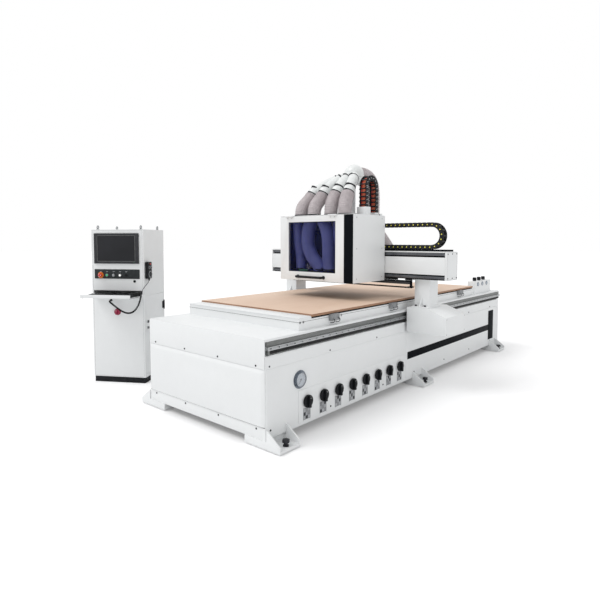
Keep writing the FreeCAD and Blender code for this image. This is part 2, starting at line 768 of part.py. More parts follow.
def table_frame():
    """Fabricated table: side and end beams, cross beams, the lip at the front and the regulator cabinet."""
    beam_top = BOARD_TOP - BOARD_THICK
    half = TABLE_HALF_WIDTH
    inner = half - TABLE_BEAM_WIDTH
    side = box(inner, half, TABLE_FRONT, TABLE_REAR, DECK_TOP, beam_top)
    hollow_x0, hollow_x1 = inner + TABLE_BEAM_WALL, half - TABLE_BEAM_WALL
    hollow_z0, hollow_z1 = DECK_TOP + TABLE_BEAM_WALL, beam_top - TABLE_BEAM_WALL
    y0, y1 = TABLE_FRONT + TABLE_BEAM_WALL, TABLE_REAR - TABLE_BEAM_WALL
    side = side.cut(box(hollow_x0, hollow_x1, y0, y1, hollow_z0, hollow_z1))
    hole_z = beam_top - STOP_DROP
    holes = [y + STOP_HOLE_STEP for y in stop_ys()]
    corner = TABLE_FRONT + TABLE_BEAM_WALL + STOP_HOLE_RADIUS
    holes += [corner, corner + STOP_HOLE_PAIR]
    for y in holes:
        foot = Vector(half - TABLE_BEAM_WALL - OVERRUN, y, hole_z)
        side = side.cut(rod(STOP_HOLE_RADIUS, TABLE_BEAM_WALL + OVERRUN * 2, foot, X))
    solids = [side, mirrored(side)]
    pitch = (TABLE_REAR - TABLE_FRONT - TABLE_BEAM_WIDTH) / (TABLE_CROSS_COUNT - 1)
    for i in range(TABLE_CROSS_COUNT):
        y = TABLE_FRONT + i * pitch
        solids.append(box(-inner, inner, y, y + TABLE_BEAM_WIDTH, DECK_TOP, beam_top))
    lip_y = TABLE_FRONT - LIP_OUT
    lip = box(-half, half, lip_y, BOARD_FRONT - RUN_GAP, beam_top, beam_top + LIP_THICK)
    solids.append(lip)
    shell = box(REG_X0, REG_X1, REG_Y0, REG_Y1, DECK_TOP, REG_TOP)
    inside = box(REG_X0 + REG_WALL, REG_X1 - REG_WALL, REG_Y0 + REG_WALL, REG_Y1 - REG_WALL,
                 DECK_TOP + REG_WALL, REG_TOP - REG_WALL)
    solids.append(shell.cut(inside))
    for i in range(REG_COUNT):
        y = REG_Y0 + REG_KNOB_FIRST + i * REG_KNOB_STEP
        stem = rod(REG_STEM_RADIUS, REG_STEM_HEIGHT, Vector((REG_X0 + REG_X1) / 2, y, REG_TOP))
        solids.append(stem)
    return solids


def regulator_knob(i):
    """Fluted knob on an air regulator."""
    y = REG_Y0 + REG_KNOB_FIRST + i * REG_KNOB_STEP
    foot = Vector((REG_X0 + REG_X1) / 2, y, REG_TOP + REG_STEM_HEIGHT + RUN_GAP)
    knob = rod(REG_KNOB_RADIUS, REG_KNOB_HEIGHT, foot)
    for k in range(REG_FLUTES):
        turn = 2 * math.pi * k / REG_FLUTES
        at = foot + X * (REG_KNOB_RADIUS * math.cos(turn)) + Y * (REG_KNOB_RADIUS * math.sin(turn))
        knob = knob.cut(rod(REG_FLUTE_RADIUS, REG_KNOB_HEIGHT + OVERRUN, at - Z * OVERRUN / 2))
    return knob


def spoilboard():
    """Fibreboard bed that the sheet lies on."""
    half = BOARD_WIDTH / 2
    bottom = BOARD_TOP - BOARD_THICK
    return box(-half, half, BOARD_FRONT, BOARD_FRONT + BOARD_LENGTH, bottom, BOARD_TOP)


def stop_pin_x():
    """Stop pins rise just outside the board's edge."""
    return BOARD_WIDTH / 2 + STOP_PIN_INSET


def stop_cylinders():
    """Air cylinders of the pop-up stops, screwed to the side of the table."""
    solids = []
    top = BOARD_TOP - BOARD_THICK - STOP_PIN_SINK
    for y in stop_ys():
        x0 = TABLE_HALF_WIDTH
        x1 = TABLE_HALF_WIDTH + STOP_DEPTH + STOP_PIN_RADIUS
        body = box(x0, x1, y - STOP_WIDTH / 2, y + STOP_WIDTH / 2, top - STOP_HEIGHT, top)
        bore_foot = Vector(stop_pin_x(), y, top - STOP_HEIGHT + STOP_HOLE_DEPTH)
        bore = rod(STOP_PIN_RADIUS + RUN_GAP, STOP_HEIGHT, bore_foot)
        solids.append(body.cut(bore))
    return solids


def stop_pins():
    """Pins of the pop-up stops, drawn in."""
    top = BOARD_TOP - BOARD_THICK - STOP_PIN_SINK
    length = STOP_HEIGHT - STOP_HOLE_DEPTH - RUN_GAP
    return [rod(STOP_PIN_RADIUS, length, Vector(stop_pin_x(), y, top - length)) for y in stop_ys()]


def valve_face():
    """Outer face of the valve bank's plate."""
    return BED_WIDTH / 2 + COVER_THICK + VALVE_PLATE_THICK


def valve_knob(i):
    """Round vacuum valve handle with a grip bar across it."""
    foot = Vector(valve_face() + VALVE_STEM_LENGTH + RUN_GAP, valve_y(i), VALVE_Z)
    grip_depth = VALVE_KNOB_DEPTH / 2
    disc = rod(VALVE_KNOB_RADIUS, VALVE_KNOB_DEPTH, foot, X)
    for side in (-1, 1):
        y0 = VALVE_GRIP_WIDTH / 2 if side > 0 else -VALVE_KNOB_RADIUS
        y1 = VALVE_KNOB_RADIUS if side > 0 else -VALVE_GRIP_WIDTH / 2
        ring = rod(VALVE_KNOB_RADIUS - VALVE_RIM, VALVE_KNOB_DEPTH, foot + X * grip_depth, X)
        half = box(foot.x, foot.x + VALVE_KNOB_DEPTH * 2, foot.y + y0, foot.y + y1,
                   VALVE_Z - VALVE_KNOB_RADIUS, VALVE_Z + VALVE_KNOB_RADIUS)
        disc = disc.cut(ring.common(half))
    return disc


def side_trim():
    """Valve stems and label plates, and the black stripe with its upright bar."""
    face = valve_face()
    solids = []
    for i in range(VALVE_COUNT):
        y = valve_y(i)
        solids.append(rod(VALVE_STEM_RADIUS, VALVE_STEM_LENGTH, Vector(face, y, VALVE_Z), X))
        label_y = y - LABEL_WIDTH / 2
        solids.append(box(face, face + LABEL_THICK, label_y, label_y + LABEL_WIDTH,
                          LABEL_TOP - LABEL_HEIGHT, LABEL_TOP))
    cover = BED_WIDTH / 2 + COVER_THICK
    solids.append(box(cover, cover + STRIPE_THICK, STRIPE_Y0, STRIPE_Y1, STRIPE_Z0, STRIPE_Z1))
    solids.append(box(cover, cover + STRIPE_THICK, STRIPE_Y1, STRIPE_Y1 + BAR_WIDTH, BAR_Z0, BAR_Z1))
    return solids


def gauge_body():
    """Flanged vacuum gauge, open under its rim for the needle."""
    cover = BED_WIDTH / 2 + COVER_THICK
    centre = Vector(cover, GAUGE_Y, GAUGE_Z)
    flange = rod(GAUGE_FLANGE_RADIUS, GAUGE_FLANGE_THICK, centre, X)
    drum = rod(GAUGE_DIAL_RADIUS + GAUGE_RIM, GAUGE_DEPTH, centre, X)
    well = rod(GAUGE_DIAL_RADIUS, GAUGE_DEPTH, centre + X * (GAUGE_FLANGE_THICK + GAUGE_FLOOR), X)
    return flange.fuse(drum).cut(well).removeSplitter()


def gauge_needle():
    """Needle and hub, pointing at zero."""
    cover = BED_WIDTH / 2 + COVER_THICK
    floor = cover + GAUGE_FLANGE_THICK + GAUGE_FLOOR
    centre = Vector(floor + RUN_GAP, GAUGE_Y, GAUGE_Z)
    hub = rod(GAUGE_HUB_RADIUS, GAUGE_NEEDLE_LIFT + GAUGE_NEEDLE_THICK, centre, X)
    x0 = floor + RUN_GAP + GAUGE_NEEDLE_LIFT
    half = GAUGE_NEEDLE_WIDTH / 2
    blade = [
        Vector(x0, -half, 0),
        Vector(x0, half, 0),
        Vector(x0, 0, GAUGE_NEEDLE_LENGTH),
    ]
    needle = prism([p + Y * GAUGE_Y + Z * GAUGE_Z for p in blade], X * GAUGE_NEEDLE_THICK)
    needle.rotate(centre, X, NEEDLE_REST_ANGLE)
    return hub.fuse(needle)


def build_bed():
    """Every sub-part of the bed and table."""
    save("bed_panels", bed_panels())
    save("bed_covers", bed_covers())
    save("bed_feet", bed_feet())
    save("bed_fasteners", bed_fasteners())
    save("y_rails", y_rails())
    save("table_frame", table_frame() + stop_cylinders())
    save("spoilboard", spoilboard())
    save("stop_pins", stop_pins())
    save("side_trim", side_trim())
    save("gauge_body", gauge_body())
    save("gauge_needle", gauge_needle())
    for i in range(VALVE_COUNT):
        save("valve_knob_" + str(i + 1), valve_knob(i))
    for i in range(REG_COUNT):
        save("regulator_knob_" + str(i + 1), regulator_knob(i))


def foot_box():
    """Folded cover over a gantry foot, open towards the bed, with the carriage plate and guide blocks."""
    y0 = FOOT_BOX_FRONT
    long = FOOT_BOX_LENGTH
    outline = [
        Vector(FOOT_BOX_IN, y0, FOOT_BOX_BOTTOM),
        Vector(FOOT_BOX_OUT, y0, FOOT_BOX_BOTTOM),
        Vector(FOOT_BOX_OUT, y0, FOOT_BOX_SHOULDER),
        Vector(FOOT_BOX_IN + FOOT_BOX_FLAT, y0, FOOT_BOX_TOP),
        Vector(FOOT_BOX_IN, y0, FOOT_BOX_TOP),
    ]
    shell = prism(outline, Y * long)
    w = FOOT_BOX_WALL
    hollow = [
        Vector(FOOT_BOX_IN - OVERRUN, y0 + w, FOOT_BOX_BOTTOM + w),
        Vector(FOOT_BOX_OUT - w, y0 + w, FOOT_BOX_BOTTOM + w),
        Vector(FOOT_BOX_OUT - w, y0 + w, FOOT_BOX_SHOULDER - w),
        Vector(FOOT_BOX_IN + FOOT_BOX_FLAT - w, y0 + w, FOOT_BOX_TOP - w),
        Vector(FOOT_BOX_IN - OVERRUN, y0 + w, FOOT_BOX_TOP - w),
    ]
    shell = shell.cut(prism(hollow, Y * (long - 2 * w)))
    rail_out = BED_WIDTH / 2 - WAY_INSET + RAIL_DEPTH
    plate_x = rail_out + RUN_GAP + BLOCK_REACH * 2
    y_in, y_out = y0 + w, y0 + long - w
    plate = box(plate_x, plate_x + CARRIAGE_THICK, y_in, y_out, CARRIAGE_BOTTOM, FOOT_BOX_TOP - w)
    solids = [shell, plate]
    rail_mid = RAIL_BOTTOM + RAIL_HEIGHT / 2
    for start in (y_in + BLOCK_END_INSET, y_out - BLOCK_END_INSET - BLOCK_LENGTH):
        block = box(rail_out - BLOCK_REACH, plate_x, start, start + BLOCK_LENGTH,
                    rail_mid - BLOCK_HEIGHT / 2, rail_mid + BLOCK_HEIGHT / 2)
        groove = box(rail_out - BLOCK_REACH - OVERRUN, rail_out + RUN_GAP, start - OVERRUN,
                     start + BLOCK_LENGTH + OVERRUN,
                     RAIL_BOTTOM - RUN_GAP, RAIL_BOTTOM + RAIL_HEIGHT + RUN_GAP)
        solids.append(block.cut(groove))
    return solids


def column():
    """Square column with its foot flange, front gusset and hexagon bolts."""
    x0, x1 = COLUMN_IN, COLUMN_IN + COLUMN_WIDTH
    y0, y1 = COLUMN_FRONT, COLUMN_FRONT + COLUMN_DEPTH
    z0 = FOOT_BOX_TOP
    top = z0 + FLANGE_THICK
    tube = box(x0, x1, y0, y1, top, BEAM_BOTTOM)
    w = COLUMN_WALL
    tube = tube.cut(box(x0 + w, x1 - w, y0 + w, y1 - w, top - OVERRUN, BEAM_BOTTOM + OVERRUN))
    flange = box(x0, x1 + FLANGE_SIDE_OUT, y0 - FLANGE_FRONT_OUT, y1 + FLANGE_BACK_OUT, z0, top)
    mid = (x0 + x1) / 2
    half = COLUMN_GUSSET_THICK / 2
    rib = [
        Vector(mid - half, y0, top),
        Vector(mid - half, y0 - COLUMN_GUSSET_DEPTH, top),
        Vector(mid - half, y0, top + COLUMN_GUSSET_HEIGHT),
    ]
    solids = [tube.fuse(flange).fuse(prism(rib, X * COLUMN_GUSSET_THICK)).removeSplitter()]
    bolt_y = y0 - FLANGE_FRONT_OUT / 2
    for x in (x0 + COLUMN_BOLT_INSET, x1 - COLUMN_BOLT_INSET):
        solids.append(hexagon(COLUMN_BOLT_RADIUS * 2, COLUMN_BOLT_HEIGHT, Vector(x, bolt_y, top)))
        back = Vector(x, y1 + FLANGE_BACK_OUT / 2, top)
        solids.append(hexagon(COLUMN_BOLT_RADIUS * 2, COLUMN_BOLT_HEIGHT, back))
    return solids


def gantry_beam():
    """Hollow beam with a stepped front face, closed ends and both linear rails of the cross axis."""
    y_step = BEAM_FRONT + BEAM_FACE_STEP
    end_x = BEAM_HALF - BEAM_END_THICK
    w = BEAM_WALL
    tube = box(-end_x, end_x, y_step, BEAM_BACK, BEAM_BOTTOM, BEAM_TOP)
    tube = tube.cut(box(-end_x, end_x, y_step + w, BEAM_BACK - w, BEAM_BOTTOM + w, BEAM_TOP - w))
    low_rail = X_RAIL_LOW_Z + X_RAIL_SIZE / 2
    top_rail = X_RAIL_TOP_Z - X_RAIL_SIZE / 2
    solids = [tube]
    solids.append(box(-end_x, end_x, BEAM_FRONT, y_step,
                      low_rail + BEAM_FACE_INSET, top_rail - BEAM_FACE_INSET))
    solids.append(box(-end_x, end_x, BEAM_FRONT, y_step, BEAM_TOP - BEAM_LIP, BEAM_TOP))
    for x0 in (-BEAM_HALF, end_x):
        solids.append(box(x0, x0 + BEAM_END_THICK, BEAM_FRONT, BEAM_BACK, BEAM_BOTTOM, BEAM_TOP))
    for z in (X_RAIL_LOW_Z, X_RAIL_TOP_Z):
        half = X_RAIL_SIZE / 2
        solids.append(box(-end_x, end_x, y_step - X_RAIL_SIZE, y_step, z - half, z + half))
    for x in (-PUSHER_ROD_X, PUSHER_ROD_X):
        shelf = box(x - PUSHER_CYL_RADIUS, x + PUSHER_CYL_RADIUS, y_step - RUN_GAP, BEAM_BACK - w,
                    BEAM_BOTTOM - PUSHER_BAR, BEAM_BOTTOM)
        solids.append(shelf)
    return solids


def link_block(length, height, width, skin):
    """One chain link lying along X, centred on its own middle, with an opening for the hoses."""
    half = length / 2
    body = box(-half, half, -width / 2, width / 2, -height / 2, height / 2)
    hole = box(-half, half, skin - width / 2, width / 2 - skin, skin - height / 2, height / 2 - skin)
    return body.cut(hole)


def strand(start, direction, count, height, width, cross):
    """A straight run of links along a direction, with a narrower neck between neighbours.

    cross is the direction of the chain's width.
    """
    pieces = []
    length = CHAIN_LINK * count
    skin = CHAIN_NECK_INSET
    neck = link_block(length, height - 2 * skin, width - 2 * skin, skin)
    neck.translate(X * (length / 2))
    for i in range(count):
        piece = link_block(CHAIN_LINK - CHAIN_NECK, height, width, skin * 2)
        piece.translate(X * (CHAIN_LINK * i + CHAIN_LINK / 2))
        pieces.append(piece)
    chain = neck.multiFuse(pieces)
    up = direction.cross(cross)
    turn = Rotation(direction, cross, up, "XYZ")
    chain.Placement = Placement(start, turn)
    return chain


def bend(centre, radius, height, width, cross, first, count):
    """Half turn of a chain about an axis, from the direction first, turning round cross."""
    skin = CHAIN_NECK_INSET
    side = cross * (width / 2 - skin)
    r0, r1 = radius - height / 2 + skin, radius + height / 2 - skin
    corners = [centre + first * r0 - side, centre + first * r1 - side]
    corners += [centre + first * r1 + side, centre + first * r0 + side]
    section = Part.Face(Part.makePolygon(corners + [corners[0]]))
    ring = section.revolve(centre, cross, HALF_TURN)
    pieces = []
    step = HALF_TURN / count
    for i in range(count):
        angle = step * i + step / 2
        turn = Rotation(cross, angle)
        out = turn.multVec(first)
        along = cross.cross(out)
        piece = link_block(CHAIN_LINK - CHAIN_NECK, height, width, skin * 2)
        piece.Placement = Placement(centre + out * radius, Rotation(along, cross, along.cross(cross), "XYZ"))
        pieces.append(piece)
    return ring.multiFuse(pieces)


def chain_mid_y():
    """Middle plane of the chain that lies along the beam."""
    return CHAIN_BACK - CHAIN_WIDTH / 2


def x_chain_z():
    """Heights of the two strands' middles and of the bend's axis."""
    bottom = BEAM_TOP + CHAIN_TRAY_HEIGHT
    low = bottom + CHAIN_HEIGHT / 2
    mid = bottom + CHAIN_OUTER_RADIUS
    return low, mid, 2 * mid - low


def x_chain_lower():
    """Lower strand lying on its tray, with the tray's legs."""
    low = x_chain_z()[0]
    y = chain_mid_y()
    count = int((CHAIN_BEND_X - CHAIN_FIXED_X) // CHAIN_LINK)
    start = Vector(CHAIN_BEND_X - RUN_GAP - count * CHAIN_LINK, y, low)
    run = strand(start, X, count, CHAIN_HEIGHT, CHAIN_WIDTH, Y)
    y0, y1 = y - CHAIN_WIDTH / 2, y + CHAIN_WIDTH / 2
    z0, z1 = BEAM_TOP, BEAM_TOP + CHAIN_TRAY_HEIGHT
    tray = box(CHAIN_TRAY_X0, CHAIN_TRAY_X1, y0, y1, z1 - CHAIN_TRAY_THICK, z1)
    legs = []
    span = CHAIN_TRAY_X1 - CHAIN_TRAY_X0
    for i in range(CHAIN_TRAY_LEGS):
        x = CHAIN_TRAY_X0 + (span - CHAIN_TRAY_LEG) * i / (CHAIN_TRAY_LEGS - 1)
        legs.append(box(x, x + CHAIN_TRAY_LEG, y0, y1, z0, z1 - CHAIN_TRAY_THICK))
    return [run, tray.multiFuse(legs).removeSplitter()]


def x_chain_bend():
    """The chain's half turn at the right end of the beam."""
    mid = x_chain_z()[1]
    radius = CHAIN_OUTER_RADIUS - CHAIN_HEIGHT / 2
    centre = Vector(CHAIN_BEND_X, chain_mid_y(), mid + CHAIN_BEND_LIFT)
    count = int(math.pi * radius // CHAIN_LINK)
    return bend(centre, radius, CHAIN_HEIGHT, CHAIN_WIDTH, Y * -1, Z * -1, count)


def x_chain_upper():
    """Upper strand, from the bend back to the head's arm."""
    high = x_chain_z()[2]
    count = int((CHAIN_BEND_X - CHAIN_UPPER_X) // CHAIN_LINK)
    start = CHAIN_BEND_X - RUN_GAP - count * CHAIN_LINK
    return strand(Vector(start, chain_mid_y(), high), X, count, CHAIN_HEIGHT, CHAIN_WIDTH, Y)


def pusher_frame():
    """Flat frame of thin bars that holds a sheet down, with its guide rods and end posts."""
    y0, y1 = PUSHER_Y - PUSHER_THICK, PUSHER_Y
    z1 = PUSHER_TOP
    z0 = z1 - PUSHER_HEIGHT
    outer = box(-PUSHER_HALF, PUSHER_HALF, y0, y1, z0, z1)
    window = box(PUSHER_POST - PUSHER_HALF, PUSHER_HALF - PUSHER_POST, y0 - OVERRUN, y1 + OVERRUN,
                 z0 + PUSHER_BAR, z1 - PUSHER_BAR)
    frame = outer.cut(window)
    solids = [frame]
    for x in (-PUSHER_ROD_X, PUSHER_ROD_X):
        ear = box(x - PUSHER_CYL_RADIUS, x + PUSHER_CYL_RADIUS, y1, pusher_rod_y() + PUSHER_CYL_RADIUS,
                  z0, z0 + PUSHER_BAR)
        top = BEAM_BOTTOM - PUSHER_BAR - RUN_GAP
        post = rod(PUSHER_ROD_RADIUS, top - z0 - PUSHER_BAR, Vector(x, pusher_rod_y(), z0 + PUSHER_BAR))
        solids += [ear, post]
    return solids


def pusher_rod_y():
    """The pusher's rods stand under the beam's front edge."""
    return PUSHER_Y + PUSHER_CYL_RADIUS * 2


def build_gantry():
    """Every sub-part that travels along the bed."""
    feet = both_sides(foot_box())
    posts = both_sides(column())
    save("gantry_legs", feet + posts)
    save("gantry_beam", gantry_beam())
    save("x_chain_lower", x_chain_lower())
    save("x_chain_bend", x_chain_bend())
    save("pusher_frame", pusher_frame())


def rail_front():
    """Front face of the cross rails."""
    return BEAM_FRONT + BEAM_FACE_STEP - X_RAIL_SIZE


def carriage_y():
    """Back face of the cross carriage's plate."""
    return rail_front() - RUN_GAP - BLOCK_REACH * 2


def x_carriage():
    """Cross carriage: plate, four guide blocks on the beam's rails and two upright rails on its front."""
    back = carriage_y()
    front = back - CARRIAGE_PLATE_THICK
    x0 = HEAD_X0 + CARRIAGE_SIDE_GAP
    x1 = HEAD_X1 - CARRIAGE_SIDE_GAP
    solids = [box(x0, x1, front, back, CARRIAGE_PLATE_BOTTOM, CARRIAGE_PLATE_TOP)]
    half = X_BLOCK_HEIGHT / 2
    rail = X_RAIL_SIZE / 2 + RUN_GAP
    for z in (X_RAIL_LOW_Z, X_RAIL_TOP_Z):
        for x in (x0, x1 - X_BLOCK_LENGTH):
            z_low = max(z - half, CARRIAGE_PLATE_BOTTOM)
            z_high = min(z + half, BEAM_TOP - BEAM_LIP - RUN_GAP)
            block = box(x, x + X_BLOCK_LENGTH, back, rail_front() + BLOCK_REACH, z_low, z_high)
            groove = box(x - OVERRUN, x + X_BLOCK_LENGTH + OVERRUN, rail_front() - RUN_GAP,
                         rail_front() + BLOCK_REACH + OVERRUN, z - rail, z + rail)
            solids.append(block.cut(groove))
    mid = (HEAD_X0 + HEAD_X1) / 2
    for side in (-1, 1):
        x = mid + side * Z_RAIL_X
        solids.append(box(x - Z_RAIL_WIDTH / 2, x + Z_RAIL_WIDTH / 2, front - Z_RAIL_DEPTH, front,
                          CARRIAGE_PLATE_BOTTOM, CARRIAGE_PLATE_BOTTOM + Z_RAIL_LENGTH))
    return solids


def mast_x():
    """The mast stands behind the pipe manifold."""
    return DOME_X


def head_mast():
    """Mast for the manifold and the arm that carries the cable chain's moving end over the beam."""
    high = x_chain_z()[2]
    back = carriage_y()
    x0, x1 = mast_x() - MAST_WIDTH / 2, mast_x() + MAST_WIDTH / 2
    plate = box(x0, x1, back, back + MAST_THICK, BEAM_TOP + MAST_LIFT, DOME_Z - DOME_RADIUS)
    seat = box(x0, x1, back, DOME_Y, DOME_Z - DOME_RADIUS - MAST_THICK, DOME_Z - DOME_RADIUS)
    arm_z = high + CHAIN_HEIGHT / 2 + RUN_GAP
    arm = box(CHAIN_UPPER_X, mast_x() + MAST_WIDTH / 2, back, CHAIN_BACK, arm_z, arm_z + MAST_THICK)
    solid = plate.fuse(seat).fuse(arm)
    return [solid.removeSplitter()]


def z_plate():
    """Lifting plate with its guide blocks and the spindles' slide rails."""
    rail_y = carriage_y() - CARRIAGE_PLATE_THICK - Z_RAIL_DEPTH
    back = rail_y - RUN_GAP - BLOCK_REACH
    front = back - Z_PLATE_THICK
    x0, x1 = HEAD_X0 + HEAD_WALL, HEAD_X1 - HEAD_WALL
    solids = [box(x0, x1, front, back, Z_PLATE_BOTTOM, Z_PLATE_TOP)]
    mid = (HEAD_X0 + HEAD_X1) / 2
    rail_half = Z_RAIL_WIDTH / 2 + RUN_GAP
    for side in (-1, 1):
        x = mid + side * Z_RAIL_X
        for z in (Z_PLATE_BOTTOM, Z_PLATE_TOP - Z_BLOCK_LENGTH):
            block = box(x - Z_BLOCK_WIDTH / 2, x + Z_BLOCK_WIDTH / 2, back, rail_y + BLOCK_REACH,
                        z, z + Z_BLOCK_LENGTH)
            groove = box(x - rail_half, x + rail_half, rail_y - RUN_GAP, rail_y + BLOCK_REACH + OVERRUN,
                         z - OVERRUN, z + Z_BLOCK_LENGTH + OVERRUN)
            solids.append(block.cut(groove))
    for i in range(SPINDLE_COUNT):
        x = spindle_x(i)
        half = SPINDLE_SLIDE_RAIL_WIDTH / 2
        solids.append(box(x - half, x + half, front - SPINDLE_SLIDE_RAIL, front, Z_PLATE_BOTTOM, Z_PLATE_TOP))
    return solids


def z_front():
    """Front face of the lifting plate."""
    rail_y = carriage_y() - CARRIAGE_PLATE_THICK - Z_RAIL_DEPTH
    return rail_y - RUN_GAP - BLOCK_REACH - Z_PLATE_THICK


def spindle_x(i):
    """Where a spindle stands across the head."""
    return SPINDLE_MID_X + SPINDLE_PITCH * (i - (SPINDLE_COUNT - 1) / 2)


def spindle_body(i):
    """Square air-cooled spindle motor, clamped to a slide of its own."""
    x = spindle_x(i)
    half = SPINDLE_SIDE / 2
    z0, z1 = SPINDLE_BOTTOM, SPINDLE_BOTTOM + SPINDLE_LENGTH
    motor = box(x - half, x + half, SPINDLE_Y - half, SPINDLE_Y + half, z0, z1)
    upright = [e for e in motor.Edges if abs(e.tangentAt(0).z) > EDGE_ALONG_SHARE]
    motor = motor.makeChamfer(SPINDLE_CORNER, upright)
    slide_w = SPINDLE_SLIDE_WIDTH / 2
    rail_y = z_front() - SPINDLE_SLIDE_RAIL
    slide = box(x - slide_w, x + slide_w, SPINDLE_Y + half, z_front() - RUN_GAP, z0, z1)
    rail_half = SPINDLE_SLIDE_RAIL_WIDTH / 2 + RUN_GAP
    groove = box(x - rail_half, x + rail_half, rail_y - RUN_GAP, z_front(), z0 - OVERRUN, z1 + OVERRUN)
    return [motor, slide.cut(groove)]


def spindle_nose(i):
    """Turning nose and collet nut, with the empty collet's bore."""
    foot = Vector(spindle_x(i), SPINDLE_Y, SPINDLE_BOTTOM - NOSE_GAP)
    nose = rod(NOSE_RADIUS, NOSE_LENGTH, foot, -Z)
    nut = rod(NUT_RADIUS, NUT_LENGTH, foot - Z * NOSE_LENGTH, -Z)
    bottom = foot - Z * (NOSE_LENGTH + NUT_LENGTH)
    bore = rod(COLLET_BORE_RADIUS, COLLET_BORE_DEPTH, bottom)
    return nose.fuse(nut).cut(bore).removeSplitter()


def door_x():
    """Left and right edges of the head's front door."""
    return HEAD_X0, HEAD_X1 - BAND_WIDTH


def hood_shell():
    """Sheet-metal hood round the spindles: sides, roof, band right of the door, hinge rail, hose spigots."""
    w = HEAD_WALL
    y0, y1 = HEAD_FRONT, HEAD_BACK
    right = door_x()[1]
    door_back = y0 + DOOR_THICK + DOOR_GAP
    solids = [box(HEAD_X0, HEAD_X0 + w, door_back, y1, HEAD_BOTTOM, HEAD_TOP - w)]
    solids.append(box(HEAD_X1 - w, HEAD_X1, y0, y1, HEAD_BOTTOM, HEAD_TOP - w))
    roof = box(HEAD_X0, HEAD_X1, y0, back_opening(), HEAD_TOP - w, HEAD_TOP)
    solids.append(roof)
    band = box(right + DOOR_GAP, HEAD_X1 - w, y0, y0 + DOOR_THICK, HEAD_BOTTOM, HEAD_TOP - w)
    solids.append(band)
    for x in hood_sleeve_xs():
        at = hood_hinge() + X * x
        pin_x = HOOD_EAR_WIDTH + RUN_GAP
        pin = rod(DOOR_PIN_RADIUS, DOOR_SLEEVE_LENGTH + pin_x * 2, at - X * pin_x, X)
        for ear_x in (x - pin_x, x + DOOR_SLEEVE_LENGTH + RUN_GAP):
            ear = rod(DOOR_SLEEVE_RADIUS, HOOD_EAR_WIDTH, hood_hinge() + X * ear_x, X)
            lug = box(ear_x, ear_x + HOOD_EAR_WIDTH, y0 - w, y0, at.z, HEAD_TOP)
            pin = pin.fuse(ear).fuse(lug)
        solids[2] = solids[2].fuse(pin)
    solids[2] = solids[2].removeSplitter()
    for x, y in zip(HOSE_BASES_X, HOSE_BASES_Y):
        solids.append(rod(HOSE_SPIGOT_RADIUS, HOSE_SPIGOT_HEIGHT, Vector(x, y, HEAD_TOP)))
    return solids


def hood_hinge():
    """A point of the door's hinge line, along the top of the hood's front."""
    return Vector(0, HEAD_FRONT - DOOR_SLEEVE_RADIUS - RUN_GAP, HEAD_TOP - HEAD_WALL - DOOR_GAP / 2)


def hood_sleeve_xs():
    """Left ends of the door's two hinge sleeves."""
    left, right = door_x()
    return left + DOOR_SLEEVE_INSET, right - DOOR_SLEEVE_INSET - DOOR_SLEEVE_LENGTH


def back_opening():
    """The roof ends in front of the cross carriage's plate, which passes up behind it."""
    return carriage_y() - CARRIAGE_PLATE_THICK - RUN_GAP


def dust_shoe():
    """Collector box in front of the spindles that the inner hoses run to, and the bracket that holds it."""
    x0, x1 = HEAD_X0 + HEAD_WALL, HEAD_X1 - HEAD_WALL
    y0 = SHOE_FRONT
    y1 = y0 + SHOE_DEPTH
    return box(x0, x1, y0, y1, HEAD_BOTTOM + SHOE_LIFT, HEAD_BOTTOM + SHOE_LIFT + SHOE_HEIGHT)


def inner_hose(i):
    """Smooth hose inside the hood, from a spigot in the roof to the collector box."""
    top_x = HOSE_BASES_X[i]
    foot_x = spindle_x(i) * INNER_SPREAD_SHARE + SPINDLE_MID_X * (1 - INNER_SPREAD_SHARE)
    top_z = HEAD_TOP - HEAD_WALL
    shoe_top = HEAD_BOTTOM + SHOE_LIFT + SHOE_HEIGHT
    y = SHOE_FRONT + SHOE_DEPTH / 2
    z_mid = (top_z + shoe_top) / 2
    lead = (top_z - shoe_top) * INNER_LEAD_SHARE
    sway = (foot_x - top_x) / 2
    points = [Vector(top_x, y, top_z), Vector(top_x, y, top_z - lead)]
    points.append(Vector(top_x + sway, y, z_mid))
    points += [Vector(foot_x, y, shoe_top + lead), Vector(foot_x, y, shoe_top)]
    return tube(points, INNER_HOSE_RADIUS)


def tube(points, radius, bore=0.0):
    """A round tube along straight runs joined by tangent arcs as large as the runs allow."""
    wire = Part.Wire(rounded_path(points))
    start = points[0]
    heading = (points[1] - points[0]).normalize()
    ring = Part.Wire(Part.makeCircle(radius, start, heading))
    solid = wire.makePipeShell([ring], True, False)
    if bore:
        inner = Part.Wire(Part.makeCircle(bore, start, heading))
        solid = solid.cut(wire.makePipeShell([inner], True, False))
    return solid


def rounded_path(points):
    """Edges of the path: its straight runs and the arcs between them."""
    edges = []
    last = points[0]
    for i in range(1, len(points) - 1):
        before = points[i] - points[i - 1]
        after = points[i + 1] - points[i]
        turn = before.getAngle(after)
        if turn < STRAIGHT_ANGLE:
            continue
        reach = CORNER_SHARE * min(before.Length, after.Length)
        radius = reach / math.tan(turn / 2)
        a = points[i] - before.normalize() * reach
        b = points[i] + after.normalize() * reach
        inward = (b - points[i]).normalize() + (a - points[i]).normalize()
        centre = points[i] + inward.normalize() * (radius / math.cos(turn / 2))
        middle = centre + (points[i] - centre).normalize() * radius
        edges.append(Part.makeLine(last, a))
        edges.append(Part.Arc(a, middle, b).toShape())
        last = b
    edges.append(Part.makeLine(last, points[-1]))
    return edges


